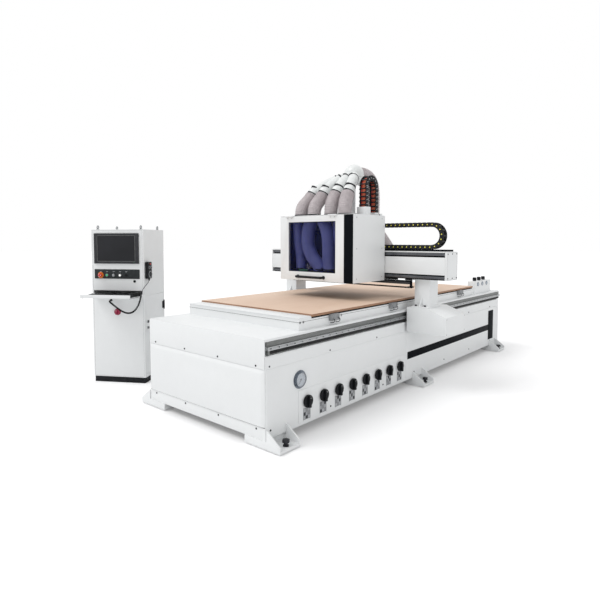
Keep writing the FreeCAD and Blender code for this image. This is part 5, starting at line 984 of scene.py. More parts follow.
def half_rings(name, centre, inner, outer, half, thick, directions, body):
    """Half rings under both sides of a bend's links, so that its outline runs smoothly."""
    first, second, across = directions
    steps = 28
    bm = bmesh.new()
    for side in (-1, 1):
        outline = []
        for reach, order in ((outer, range(steps + 1)), (inner, range(steps, -1, -1))):
            for k in order:
                a = pi * k / steps
                out = first * cos(a) + second * sin(a)
                outline.append(tuple(centre / MM + out * reach + across * (side * half)))
        extruded(bm, outline, tuple(across * (-side * thick)), 0.6)
    piece(name, bm, F.chain, body)


def hose_bundle(name, lines, material, body):
    """Hoses and cables that run inside a chain, each a line in metres and a radius in millimetres."""
    bm = bmesh.new()
    for points, radius in lines:
        swept(bm, points, radius * MM, 10)
    piece(name, bm, material, body)


def chain_tray():
    """Open tray that the flat chain lies on, with its cross bars."""
    start, length = -420, 1465
    front, rear = -100, -20
    low, top, wall, floor = 1293, 1309.8, 2, 4
    tray = bmesh.new()
    section = [(front, low), (rear, low), (rear, top), (rear - wall, top), (rear - wall, low + floor),
               (front + wall, low + floor), (front + wall, top), (front, top)]
    extruded(tray, [(start, y, z) for y, z in section], (length, 0, 0))
    for x in range(start + 20, 1040, 60):
        block(tray, (x, front + 4, low + floor), (x + 14, rear - 4, top - 0.2), 0.8)
    piece("chain_tray", tray, F.black_paint, "gantry")


def flat_chain():
    """Chain that lies on the beam and doubles back over itself to the head."""
    low, middle, high = 1331, 1437.2, 1541
    y, fixed_end, bend = -60, -100, 861
    strand_link = (48, 42, 80)
    bend_link = (47, 35, 80)
    turn = (-Z, X, Y)
    tag = (F.yellow, 6.0)
    centre = mm(bend, y, middle)
    chain_part("flat_chain_lower", run_frames(mm(fixed_end, y, low), X, 20, strand_link[0], Y),
               strand_link, *tag, LOWER_STRAND, ["x_chain_lower"])
    chain_part("flat_chain_bend", bend_frames(centre, 104, 7, *turn), bend_link, *tag, "chain_bend",
               ["x_chain_bend"])
    half_rings("flat_chain_bend_rings", centre, 84, 124.5, 37.5, 6, turn, "chain_bend")
    chain_part("flat_chain_upper", run_frames(mm(bend, y, high), -X, 21, strand_link[0], -Y),
               strand_link, *tag, UPPER_STRAND, ["head_chains"])
    for name, z, start, end, strand in (("flat_chain_cables", low, fixed_end, bend - 3, LOWER_STRAND),
                                        ("flat_chain_cables_upper", high, -146, bend, UPPER_STRAND)):
        lines = []
        for i in range(5):
            off = y + (i - 2) * 13
            lines.append(([mm(start, off, z), mm(400, off, z - 2), mm(end, off, z)], 4.6 + (i % 2) * 1.2))
        hose_bundle(name, lines, F.black_plastic, strand)
    boxes("flat_chain_end", F.chain, "gantry", [((-128, -100, 1310), (fixed_end, -20, 1352))], 2.0)


def standing_chain():
    """Chain that stands on the head, its hoses showing between the bars."""
    x, front_y, rear_y, axis_z = 302, -372, -200, 1905
    front_foot, rear_foot = 1712.7, 1664.7
    half, reach, width = 86, 85, 75
    rear_link, front_link, loop_link = (40, 54, width), (38.4, 54, width), (38.4, 46, width)
    turn = (Y, Z, X)
    tag = (F.white_tag, 4.5)
    middle_y = (front_y + rear_y) / 2
    middle = mm(x, middle_y, axis_z)
    chain_part("standing_chain_rear", run_frames(mm(x, rear_y, rear_foot), Z, 6, rear_link[0], X),
               rear_link, *tag, REAR_STRAND)
    chain_part("standing_chain_front", run_frames(mm(x, front_y, front_foot), Z, 5, front_link[0], X),
               front_link, *tag, FRONT_STRAND, ["z_chain_front"])
    chain_part("standing_chain_loop", bend_frames(middle, half, 7, *turn), loop_link, *tag, "chain_loop",
               ["z_chain_loop"])
    half_rings("standing_chain_rings", middle, half - 25, half + 26.5, width / 2 - 2.5, PLATE_THICK, turn,
               "chain_loop")
    hose_radius, hose_gap, top = 6.6, 15, 1904.7
    hoses = {"rear": [], "front": [], "loop": []}
    for i in range(4):
        off = x + (i - 1.5) * hose_gap
        hoses["rear"].append([mm(off, y, z) for y, z in
                              ((rear_y, rear_foot), (rear_y + 3, 1780), (rear_y, top))])
        hoses["front"].append([mm(off, y, z) for y, z in
                               ((front_y, front_foot), (front_y - 3, 1800), (front_y, top))])
        hoses["loop"].append([mm(off, middle_y + reach * cos(a), axis_z + reach * sin(a))
                              for a in (*angles(16, pi), pi)])
    bodies = {"rear": REAR_STRAND, "front": FRONT_STRAND, "loop": "chain_loop"}
    for run, lines in hoses.items():
        for colour_name, material, chosen in (("red", F.red_hose, (0, 3)), ("orange", F.orange_hose, (1, 2))):
            hose_bundle("air_hoses_%s_%s" % (colour_name, run), [(lines[i], hose_radius) for i in chosen],
                        material, bodies[run])


def dress_chains():
    """Both cable chains, flat over the beam and standing on the head, with their tray, box and shelf."""
    chain_tray()
    flat_chain()
    standing_chain()
    box = bmesh.new()
    block(box, (253, -419, 1631), (361, -345, 1712.7), 3.0, 3)
    block(box, (257, -421.5, 1640), (357, -419, 1706), 1.0)
    piece("chain_box", box, F.white, "hood")
    arm_low = 1562.3
    boxes("chain_shelf", F.white, "head", [((264.5, -231.3, 1634.7), (339.5, -173, 1664.7)),
                                           ((-160, -231, arm_low), (100, -20, arm_low + 12))], 1.5)


# Dust hoses

HOSE_COUNT = 4
MANIFOLD = (40, -165, 2062)
MANIFOLD_RADIUS = 100
PIPE_RADIUS = 51.5


def ribbed(name, points, radius, rib, pitch, body, replaced=(), sides=40):
    """Ribbed hose along points by a geometry tree: the radius rises and falls along the line."""
    values = {"Radius": radius * MM, "Rib": rib * MM, "Pitch": pitch * MM}
    tree, source, output = new_tree(name, values)
    steps_in_rib = 8.0
    squareness = 0.6
    pitch = source.outputs["Pitch"]
    step = worked_out(tree, "DIVIDE", pitch, steps_in_rib)
    feeds = {"Curve": source.outputs["Geometry"], "Length": step}
    even = add_node(tree, "GeometryNodeResampleCurve", feeds, mode="LENGTH").outputs["Curve"]
    along = add_node(tree, "GeometryNodeSplineParameter", {}).outputs["Length"]
    turns = worked_out(tree, "DIVIDE", along, pitch)
    wave = worked_out(tree, "SINE", worked_out(tree, "MULTIPLY", turns, tau))
    steep = worked_out(tree, "POWER", worked_out(tree, "ABSOLUTE", wave), squareness)
    rise = worked_out(tree, "MULTIPLY", worked_out(tree, "SIGN", wave), steep)
    half = worked_out(tree, "MULTIPLY", source.outputs["Rib"], 0.5)
    middle = worked_out(tree, "ADD", source.outputs["Radius"], half)
    size = worked_out(tree, "ADD", middle, worked_out(tree, "MULTIPLY", rise, half))
    circle = add_node(tree, "GeometryNodeCurvePrimitiveCircle", {"Resolution": sides, "Radius": 1.0})
    feeds = {"Curve": even, "Profile Curve": circle.outputs["Curve"], "Scale": size, "Fill Caps": True}
    tube = add_node(tree, "GeometryNodeCurveToMesh", feeds)
    finish_tree(tree, tube.outputs["Mesh"], F.hose, output)
    settled(name, line_holder(points), tree, values, body, replaced)


def roof_line(i):
    """Path of a roof hose, and the foot, top and heading of its rigid pipe."""
    base = mm((-288, -123, 41, 206)[i], (-600, -600, -545, -545)[i], 1631.3)
    foot = mm((-262, -122, 40, 186)[i], -470, 1838)
    top = mm((-225, -101, 38, 150)[i], -300, 2068)
    way = (top - foot).normalized()
    rise = (foot - base).length * 0.5
    return bent(base, Z * rise, foot, way * rise), foot, top, way


def collar(bm, at, way, radius, width):
    """Band clamp with its screw housing."""
    half = width / 2
    lip = radius + 0.6
    turned(bm, [(radius - 6, -half), (radius, -half), (lip, -half + 1), (lip, half - 1), (radius, half),
                (radius - 6, half)], tuple(at / MM), way, 36)
    housing = bmesh.new()
    block(housing, (-16, -radius - 7, -half * 0.8), (10, -radius + 1, half * 0.8), 1.5)
    pin(housing, (8, -radius - 3, 0), X, 4.5, 14, 1.0, 10)
    turn = Z.rotation_difference(way).to_matrix().to_4x4()
    added(bm, housing, Matrix.Translation(at) @ turn)


def manifold(bm):
    """Drum with a domed top and a band, which the pipes run into."""
    radius = MANIFOLD_RADIUS
    profile = [(0, -radius), (radius - 4, -radius), (radius, 4 - radius), (radius, 0)]
    profile += [(radius * cos(a), radius * sin(a)) for a in angles(12, pi / 2)[1:]]
    turned(bm, [*profile, (0, radius)], MANIFOLD, Z, 48)
    band = [(radius + 1.5, -30), (radius + 3, -28), (radius + 3, -14), (radius + 1.5, -12)]
    turned(bm, band, MANIFOLD, Z, 48)


def dress_hoses():
    """Ribbed hoses on the hood's roof, rigid pipes, clamps, manifold and the duct behind the beam."""
    pipes = bmesh.new()
    bands = bmesh.new()
    foot_bands = bmesh.new()
    dome = mm(*MANIFOLD)
    pull = 0.12
    start = 0.0005
    socket_places = (start, 0.004, 0.05, 0.062, 0.075)
    socket_radii = (55.5, 57, 57, 55, 51.6)
    for i in range(HOSE_COUNT):
        points, foot, top, way = roof_line(i)
        replaced = ["roof_hoses"] if i == 0 else []
        ribbed("roof_hose_%d" % (i + 1), points, 61.5, 4, 13, ROOF_HOSES, replaced, 36)
        line = bent(foot + way * start, way * pull, dome - Z * 0.02, (dome - top).normalized() * pull, 24)
        swept(pipes, line, PIPE_RADIUS * MM, 32)
        swept(pipes, [foot + way * d for d in socket_places], [r * MM for r in socket_radii], 32)
        collar(bands, foot + way * ((top - foot).length * 0.3), way, PIPE_RADIUS + 2.5, 13)
        upper = len(line) * 5 // 8
        heading = (line[upper + 1] - line[upper - 1]).normalized()
        collar(bands, line[upper], heading, PIPE_RADIUS + 1.9, 13)
        collar(bands, foot + way * 0.012, way, 58.4, 12)
        collar(foot_bands, points[0] + Z * 0.012, Z, 66, 13)
    manifold(pipes)
    piece("pipes_and_manifold", pipes, F.pvc, "head", ["dust_pipes"])
    piece("pipe_bands", bands, F.black_oxide, "head")
    piece("hose_foot_bands", foot_bands, F.black_oxide, "hood")
    rear_duct_line()


def rear_duct_line():
    """Large ribbed duct behind the beam with its cuff."""
    start = mm(40, -39.7, 2052)
    shoulder = mm(30, 165, 1640)
    end = mm(262, 165, 1150)
    drop = Z * -0.2
    points = bent(start, Y * 0.24, shoulder, drop, 30) + bent(shoulder, drop, end, drop, 30)[1:]
    ribbed("rear_duct_hose", points, 89.5, 5, 17, "head", ["rear_duct"])
    cuff = bmesh.new()
    turned(cuff, [(86, 0), (95, 0), (95, 70), (88, 72), (86, 72)], (262, 165, 1080), Z, 40, hollow=True)
    piece("rear_duct_cuff", cuff, F.black_plastic, "head")


# Table, board and what the bed's right side carries

STOP_ROWS = (-1305, -423, 1044)
STOP_X = 664.5
CYLINDER_X = 677.5
REGULATOR_X = 604
REGULATOR_ROWS = [1595 + 135 * i for i in range(3)]
GAUGE = (690, -1746, 413)


def dress_table():
    """Table and board."""

    def part_of(at, out):
        if abs(at.x) > BOARD_SIDE + 0.3 and at.y < 1100 and at.z > 770:
            return 1
        return 2 if at.z > 898.4 else 0

    dressed("table", "table_frame", [F.white, F.grey_plastic, F.zinc], "bed", 1.2, choose=part_of)
    boxes("board", F.board, "bed", [((-651.5, -1565, 834), (651.5, 1426, 852))], 1.2, ["spoilboard"])
    dress_stops()


def dress_stops():
    """Pop-up stops: collars, cylinders' nuts and caps, air tubes and pins."""
    details = bmesh.new()
    tubes = bmesh.new()
    pins = bmesh.new()
    for y in STOP_ROWS:
        turned(details, [(9.6, 0), (12, 0.2), (12, 1.4), (9.6, 1.8)], (STOP_X, y, 830), Z, 24, hollow=True)
        turned(pins, [(8, 0), (8, 40.2), (6.6, 41.7)], (STOP_X, y, 788.3), Z, 24)
        for off in (y - 34, y + 34):
            turned(details, [(4.6, 0), (4.6, 2.6), (2.6, 3.0), (2.6, 1.2)], (CYLINDER_X, off, 818), X, 6)
            pin(details, (CYLINDER_X, off, 796), X, 6.0, 9.0, 0.8, 12)
            corners = ((686.5, 796), (690, 790), (690, 776), (676, 766), (650, 762))
            swept(tubes, smooth_line([mm(x, off, z) for x, z in corners], 6), 2.6 * MM, 8)
    piece("stop_fittings", details, F.zinc, "bed")
    piece("stop_air_tubes", tubes, F.black_plastic, "bed")
    piece("stop_pin_bars", pins, F.chrome, "stop_pins", ["stop_pins"])


def fluted_knob(bm, x, y, z):
    """Knob of an air regulator: twelve flutes that end below its domed top."""
    corners = 72
    flutes, flute_depth, chamfer = 12, 1.7, 0.9
    rings = []
    for radius, height in ((21.6, 0), (22.8, 1.2), (22.8, 30), (21.8, 36), (18.5, 38)):
        ring = []
        for a in angles(corners):
            dip = flute_depth * max(0.0, cos(a * flutes)) ** 2 if 0 < height < 34 else chamfer
            r = radius - dip
            ring.append(bm.verts.new(mm(x + r * cos(a), y + r * sin(a), z + height)))
        rings.append(ring)
    skinned(bm, rings)


def dress_regulators():
    """Fluted knobs, their lock rings and the dials in the box's side."""
    rings = bmesh.new()
    dials = bmesh.new()
    for i, y in enumerate(REGULATOR_ROWS):
        knob = bmesh.new()
        fluted_knob(knob, REGULATOR_X, y, 904.3)
        node = "regulator_knob_%d" % (i + 1)
        piece("air_knob_%d" % (i + 1), knob, F.black_plastic, node, [node])
        turned(rings, [(8, 0), (17, 0), (17, 3.4), (9, 5.6), (8, 5.6)], (REGULATOR_X, y, 898.1), Z, 32)
        rim = [(21, 0), (24, 0.5), (24, 4.5), (22, 5.6), (20, 5.6), (20, 3.2), (0, 3.2)]
        turned(dials, rim, (648, y, 862), X, 36)
        marked(dials, 1, turned, [(0, 0), (19.6, 0), (19.6, 0.4), (0, 0.4)], (651.3, y, 862), X, 36)
        marked(dials, 2, block, (651.8, y - 1, 860), (652.4, y + 1, 876))
    piece("air_knob_rings", rings, F.zinc, "bed")
    piece("air_dials", dials, [F.bezel, F.dial, F.ink], "bed")


def label_plate(trim, i, y):
    """Printed plate below a valve, its fields laid out a little differently on each, with four screws."""
    face = PLATE_FACE + 1.0
    field_wide, field_narrow, field_tall = 21, 15, 22
    marked(trim, 2, block, (PLATE_FACE, y - 40, 108), (PLATE_FACE + 1.3, y + 40, 192), 0.4)
    for row in range(3):
        for col in range(3):
            if (row + col + i) % 4 == 3:
                continue
            y0 = y - 36 + col * 24.6
            z0 = 112.5 + row * 26.5
            wide = field_wide if (i + row * 2 + col) % 3 else field_narrow
            tone = 3 if (row * 3 + col + i) % 2 else 4
            marked(trim, tone, block, (face, y0, z0), (face + 0.6, y0 + wide, z0 + field_tall))
    for off in (-36.5, 36.5):
        for z in (104, 196):
            marked(trim, 1, turned, [(2.4, 0), (2.4, 0.9), (1.4, 1.2)], (PLATE_FACE, y + off, z), X, 10)


def valve_handle(y):
    """Round valve handle with its ribs, grip, pointer and screw."""
    bm = bmesh.new()
    foot = (700.3, y, VALVE_HEIGHT)
    profile = [(20, 0), (44.5, 0), (46, 1.5), (46, 15.5), (44.5, 17), (42, 17), (40.5, 14), (14, 13), (0, 13)]
    turned(bm, profile, foot, X, 48)
    for k in range(16):
        rib = bmesh.new()
        block(rib, (2.5, -2.6, 44.2), (15, 2.6, 45.9), 0.6)
        added(bm, rib, Matrix.Translation(mm(*foot)) @ Matrix.Rotation(tau * (k + 0.5) / 16, 4, "X"))
    grip_face = 734.3
    block(bm, (700.8, y - 10, 197.5), (grip_face, y + 10, 284.5), 4.0, 3)
    marked(bm, 1, block, (grip_face - 0.3, y - 1.4, 262), (grip_face, y + 1.4, 281))
    marked(bm, 2, turned, [(6.2, 0), (6.2, 0.5), (3.2, 0.5), (3.2, -1.5)], (733.6, y, VALVE_HEIGHT), X, 6)
    return bm


def dress_valves():
    """Vacuum valve handles, their stems, label plates and the black stripe."""
    trim = bmesh.new()
    for i, y in enumerate(VALVE_ROWS):
        stem = (PLATE_FACE, y, VALVE_HEIGHT)
        marked(trim, 1, turned, [(12, 0), (12, 4), (10.5, 6)], stem, X, 24)
        marked(trim, 1, turned, [(22, 0), (22, 1.2), (20.5, 2.2), (12, 2.2)], stem, X, 32)
        label_plate(trim, i, y)
    block(trim, (BED_SIDE, -201, 272), (BED_SIDE + 1.5, 1840, 342), 0.3)
    block(trim, (BED_SIDE, 1840, 150), (BED_SIDE + 1.5, 2005, 512), 0.3)
    piece("labels_and_stripe", trim, [F.black_paint, F.zinc, F.grey_plastic, F.ink, F.label_pale], "bed",
          ["side_trim"])
    finishes = [F.black_plastic, F.white_tag, F.zinc]
    for i, y in enumerate(VALVE_ROWS):
        node = "valve_knob_%d" % (i + 1)
        piece("valve_handle_%d" % (i + 1), valve_handle(y), finishes, node, [node])


def gauge_marks():
    """Scale of fine ticks round the dial and the blocks that stand for its numbers."""
    x, y, z = GAUGE
    face = x + 11.9
    scale_start, scale_turn = -45, 270
    tick_count, number_step, number_reach = 41, 27, 34
    tick = bmesh.new()
    block(tick, (-0.45, -2.6, 0), (0.45, 2.6, 0.25))
    frames = []
    for k in range(tick_count):
        a = radians(scale_start + scale_turn * k / (tick_count - 1))
        reach = 43.5 if k % 5 else 42.2
        way = Vector((0, cos(a), sin(a)))
        turn = Matrix((X.cross(way) * -1, way, X)).transposed().to_euler()
        frames.append((mm(face, y + reach * way.y, z + reach * way.z), turn))
    set_along("gauge_scale", frames, kit_part("tick_kit", tick), F.ink, "bed")
    numbers = bmesh.new()
    upright = Matrix.Rotation(radians(90), 4, "Y") @ Matrix.Rotation(radians(90), 4, "Z")
    for k in range(10):
        a = radians(scale_start + number_step * k)
        number = bmesh.new()
        block(number, (-1.0, -2.0, 0), (1.0, 2.0, 0.2))
        spot = mm(face, y + number_reach * cos(a), z + number_reach * sin(a))
        added(numbers, number, Matrix.Translation(spot) @ upright)
    piece("gauge_marks", numbers, F.ink, "bed")


def gauge_pointer():
    """Needle that points down to the left, on its hub."""
    x, y, z = GAUGE
    tail, tip = -9, 39
    a = radians(225)
    way = Vector((0, cos(a), sin(a)))
    side = Vector((0, -sin(a), cos(a)))
    needle = bmesh.new()
    outline = [Vector((x + 15.6, y, z)) + side * across + way * along for across, along in
               ((2.4, tail), (-2.4, tail), (-1.6, 0), (-0.5, tip), (0.5, tip), (1.6, 0))]
    extruded(needle, outline, (1.2, 0, 0))
    turned(needle, [(4, 0), (4, 5.4), (2.6, 6)], (x + 11.4, y, z), X, 20)
    piece("gauge_pointer", needle, F.ink, "gauge_needle", ["gauge_needle"])


def dress_gauge():
    """Vacuum gauge: rim, dial with its scale, needle and glass."""
    x, y, z = GAUGE
    case = bmesh.new()
    profile = [(0, 0), (64.5, 0), (66, 1.5), (66, 3.8), (64.5, 5), (56, 5), (54, 7), (54, 17), (52.6, 20),
               (50.4, 20), (50, 19), (50, 11.4), (0, 11.4)]
    turned(case, profile, GAUGE, X, 64)
    marked(case, 1, turned, [(0, 11.5), (49.8, 11.5), (49.8, 11.9), (0, 11.9)], GAUGE, X, 64)
    for k in range(3):
        a = radians(90 + 120 * k)
        at = (x + 5, y + 60 * cos(a), z + 60 * sin(a))
        marked(case, 2, turned, [(3.2, 0), (3.2, 1.4), (2, 2), (1.6, 0.9)], at, X, 12)
    piece("gauge_case", case, [F.bezel, F.dial, F.black_oxide], "bed", ["gauge_body"])
    gauge_marks()
    gauge_pointer()
    glass = bmesh.new()
    turned(glass, [(0, 0), (50.2, 0), (50.2, 1.0), (30, 1.7), (0, 1.9)], (x + 18.2, y, z), X, 48)
    piece("gauge_glass", glass, F.glass, "bed")


# Gantry

GANTRY_SIDE = 1077
GANTRY_FOOT_SIDE = 1088.6
BEAM_LOW, BEAM_HIGH = 1041, 1287
BEAM_FRONT, BEAM_REAR = -212, -3
BEAM_RAIL_ROWS = (1058, 1268)
BEAM_COVERS = (-720, 0, 720)


def dress_gantry():
    """Legs, beam with its rails, bolts, seams and the sheet pusher."""

    def leg_part(at, out):
        in_foot = 788.2 < at.z < 801
        if in_foot and (at.y < -169 and abs(abs(at.x) - 815.5) > 12 or at.y > 1):
            return 1
        return 2 if abs(at.x) < 700 and at.z < 730 else 0

    def beam_part(at, out):
        # The rails take the darker beam steel, partly painted shade; the recess face behind them and the low
        # front faces take black as painted shade.
        front = at.y < -189.4 and abs(at.x) < 1057
        if front and at.y < -189.9 and (1045 < at.z < 1071 or 1255 < at.z < 1281):
            return 1
        if front and abs(at.y + 190) < 0.4:
            return 2
        return 2 if at.z < 1035.5 and at.y < -180 else 0

    dressed("gantry_legs_and_feet", "gantry_legs", [F.white, F.black_oxide, F.motor], "gantry", 1.8,
            choose=leg_part)
    dressed("cross_beam", "gantry_beam", [F.white, F.rail_x, F.black_paint], "gantry", 1.2, choose=beam_part)
    places = [((-1030 + 82.4 * k, -215, z), (0, -1, 0)) for z in BEAM_RAIL_ROWS for k in range(26)]
    repeated("beam_rail_plugs", places, plug_part(4.4, 3.0, -0.6, 0.1), F.black_oxide, "gantry")
    places = [((side * GANTRY_SIDE, y, z), (side, 0, 0))
              for side in (-1, 1) for y in (-198, -108, -17) for z in (1055, 1273)]
    repeated("gantry_screws", places, screw_part(6, 3.4), F.black_oxide, "gantry")
    places = [((side * GANTRY_FOOT_SIDE, y, z), (side, 0, 0))
              for side in (-1, 1) for y in (-225, 154) for z in (558, 692)]
    repeated("foot_screws", places, screw_part(6, 0.5), F.black_oxide, "gantry")
    deep, half = 0.25, 0.5
    seams = bmesh.new()
    for x in (-GANTRY_SIDE, GANTRY_SIDE):
        for z in (BEAM_LOW, BEAM_HIGH):
            block(seams, (x - deep, BEAM_FRONT, z - half), (x + deep, BEAM_REAR, z + half))
        for y in (BEAM_FRONT, BEAM_REAR):
            block(seams, (x - deep, y - half, BEAM_LOW), (x + deep, y + half, BEAM_HIGH))
    piece("end_plate_seams", seams, F.rim_grey, "gantry")
    dress_beam_back()
    dress_pusher()


def dress_beam_back():
    """Access covers, screws and cable glands on the beam's back."""
    back, thick = 3, 1.6
    bm = bmesh.new()
    for x in BEAM_COVERS:
        block(bm, (x - 250, back, 1085), (x + 250, back + thick, 1243), 1.0)
    for x in (-955, 955):
        gland = [(15, 0), (15, 4), (12, 6), (12, 14), (8, 18), (8, 30)]
        marked(bm, 1, turned, gland, (x, back, 1090), Y, 24)
    piece("beam_back_covers", bm, [F.white, F.black_plastic], "gantry")
    places = [((x + off, back + thick, z), (0, 1, 0))
              for x in BEAM_COVERS for off in (-238, 0, 238) for z in (1095, 1233)]
    repeated("beam_back_screws", places, screw_part(5, 3), F.black_oxide, "gantry")


def dress_pusher():
    """Frame of the sheet pusher with its rods' collars, plate and screws, and dark strips of painted shade
    above it.
    """

    def pusher_part(at, out):
        return 1 if at.y > -205.8 and at.z > 964 else 0

    front = -222.2
    rod = 700
    dressed("pusher_bars", "pusher_frame", [F.black_paint, F.chrome], "pusher", 0.8, choose=pusher_part)
    fittings = bmesh.new()
    for x in (-rod, rod):
        turned(fittings, [(9.2, 0), (14, 0), (14, 9), (9.2, 9)], (x, -166, 963.2), Z, 24)
        for off in (-12, 12):
            turned(fittings, [(3, 0), (3, 1.6), (1.8, 2.0)], (x + off, front, 957), -Y, 10)
    for k in range(15):
        turned(fittings, [(2.6, 0), (2.6, 1.4), (1.6, 1.8)], (-665 + 95 * k, front, 1016), -Y, 8)
    piece("pusher_fittings", fittings, F.zinc, "pusher")
    boxes("pusher_plate", F.charcoal, "pusher", [((-718.5, -219, 986), (718.5, -209, 1010.5))], 0.6)
    # Painted shade: dark strips in the gap between the pusher and the beam's foot.
    boxes("beam_brush_strips", F.dark_gap, "gantry",
          [((low, -219.4, 1023.8), (high, -206, 1038.4)) for low, high in ((-736, 585), (667, 736))], 0.4)


# Hood and what it holds

DOOR_FACE = -754.2
HOOD_ROOF = 1631.1
HANDLE_HEIGHT = 1049
HANDLE_ENDS = (-196, 116)
HANDLE_RADIUS = 11.6
HANDLE_POINTS = ((0, 0), (0, 17.8), (2, 29.8), (12, 38.8), (36, 39.8))
PANE_LEFT, PANE_RIGHT = -320, 252
PANE_LOW, PANE_HIGH = 1095, 1570
PANE_SEAL = 4.5
HINGES = (-304, 221)
INNER_HOSES = (
    (50, ((-288, -652, 1626.8), (-288, -652, 1560), (-284, -646, 1400), (-262, -640, 1240),
          (-244, -650, 1113))),
    (64, ((-123, -655, 1616), (-123, -655, 1572), (-146, -660, 1480), (-146, -662, 1350), (-92, -664, 1240),
          (-14, -664, 1160), (18, -662, 1113))),
    (64, ((41, -655, 1616), (41, -655, 1572), (88, -660, 1480), (106, -662, 1370), (112, -664, 1240),
          (126, -664, 1113))),
    (50, ((206, -648, 1616), (206, -648, 1572), (190, -626, 1480), (176, -612, 1360), (180, -604, 1240),
          (176, -606, 1113))),
)
SPINDLE_COUNT = 4
SPINDLE_PLACES = [-311 + 180 * i for i in range(SPINDLE_COUNT)]
SPINDLE_Y = -480
SPINDLE_TOP = 1460
NOSE_FOOT = 1077.7


def dress_hood():
    """Hood with its dark band, door, hinge screws and panel screws."""

    def shell_part(at, out):
        if at.x > 345 and at.y < -731.5 and out.x < 0.75 and at.z < 1629:
            return 1
        # Painted shade: the faces inside the hood take the near-black finish.
        if -425.4 < at.x < 444.4 and -732.5 < at.y < -229 and at.z < 1627.3:
            return 2
        return 3 if at.z > 1631.2 and at.y > -700 else 0

    dressed("hood", "hood_shell", [F.white, F.black_paint, F.hood_dark, F.black_plastic], "hood", 1.2,
            choose=shell_part)
    dress_door()
    screws = bmesh.new()
    for x in HINGES:
        for off in (-22, 22):
            turned(screws, [(4, 0), (4, 2.2), (2.4, 2.8)], (x + off, -758.1, 1608), -Y, 12)
    piece("hinge_screws", screws, F.zinc, "hood_door")
    places = []
    for z in (1050, 1320, 1600):
        for y in (-700, -280):
            places.append(((448, y, z), (1, 0, 0)))
            places.append(((-429, y, z), (-1, 0, 0)))
    repeated("hood_screws", places, screw_part(5, 2.8), F.zinc, "hood")
    roof = bmesh.new()
    block(roof, (196, -452, HOOD_ROOF), (252.6, -404, 1652), 3.0)
    turned(roof, [(13, 0), (13, 5), (10, 8), (10, 18)], (196.1, -428, 1642), -X, 20)
    for x, y in ((-205, -655), (-40, -655), (124, -610)):
        block(roof, (x - 16, y - 10, HOOD_ROOF), (x + 16, y + 16, 1640), 2.0)
        marked(roof, 1, turned, [(5, 0), (5, 3.4), (3, 4)], (x, y + 3, 1640), Z, 12)
    piece("roof_fittings", roof, [F.black_plastic, F.zinc], "hood")


def dress_door():
    """Door frame, its tinted pane with the seal round it, and the bow handle."""

    def door_part(at, out):
        # Painted shade: the door frame's inner faces take the near-black finish.
        return 1 if at.y > -732.6 and out.y > 0.7 else 0

    dressed("door_frame", "hood_door", [F.white, F.hood_dark], "hood_door", 1.6, choose=door_part)
    pane = ((PANE_LEFT + 0.4, -750, PANE_LOW + 0.4), (PANE_RIGHT - 0.4, -745, PANE_HIGH - 0.4))
    boxes("door_pane", F.pane, "hood_door", [pane], 0.4, ["hood_window"])
    front, rear = -751.6, -750.1
    inner_left, inner_right = PANE_LEFT + PANE_SEAL, PANE_RIGHT - PANE_SEAL
    seal = bmesh.new()
    for left, right, low, high in ((PANE_LEFT, inner_left, PANE_LOW, PANE_HIGH),
                                   (inner_right, PANE_RIGHT, PANE_LOW, PANE_HIGH),
                                   (inner_left + 0.1, inner_right - 0.1, PANE_LOW, PANE_LOW + PANE_SEAL),
                                   (inner_left + 0.1, inner_right - 0.1, PANE_HIGH - PANE_SEAL, PANE_HIGH)):
        block(seal, (left, front, low), (right, rear, high), 0.4)
    piece("pane_seal", seal, F.rubber, "hood_door")
    left, right = HANDLE_ENDS
    corners = [(left + along, DOOR_FACE - out) for along, out in HANDLE_POINTS]
    corners.append(((left + right) / 2, DOOR_FACE - HANDLE_POINTS[-1][1]))
    corners += [(right - along, DOOR_FACE - out) for along, out in reversed(HANDLE_POINTS)]
    handle = bmesh.new()
    swept(handle, smooth_line([mm(x, y, HANDLE_HEIGHT) for x, y in corners], 6), HANDLE_RADIUS * MM, 20)
    for x in HANDLE_ENDS:
        turned(handle, [(HANDLE_RADIUS, 0), (17, 0), (17, 3), (15, 5), (HANDLE_RADIUS, 5)],
               (x, DOOR_FACE + 0.1, HANDLE_HEIGHT), -Y, 28)
    piece("door_handle", handle, F.black_plastic, "hood_door", ["hood_handle"])


def dress_inner_hoses():
    """Smooth hoses behind the pane, the rings at their feet, and the collector's label."""
    rings = bmesh.new()
    for i, (radius, corners) in enumerate(INNER_HOSES):
        hose = bmesh.new()
        swept(hose, smooth_line([mm(*p) for p in corners], 10), radius * MM, 36)
        piece("inner_hose_%d" % (i + 1), hose, F.inner_hose, "hood", ["inner_hoses"] if i == 0 else ())
        x, y, z = corners[-1]
        ring = [(radius - 1, 0), (radius + 3, 0.5), (radius + 3, 13), (radius - 1, 14)]
        turned(rings, ring, (x, y, z - 0.6), Z, 40)
    piece("inner_hose_rings", rings, F.black_oxide, "hood")
    boxes("collector_label", F.green_dust, "hood", [((-214, -724, 1097), (-104, -721, 1118))], 0.6)


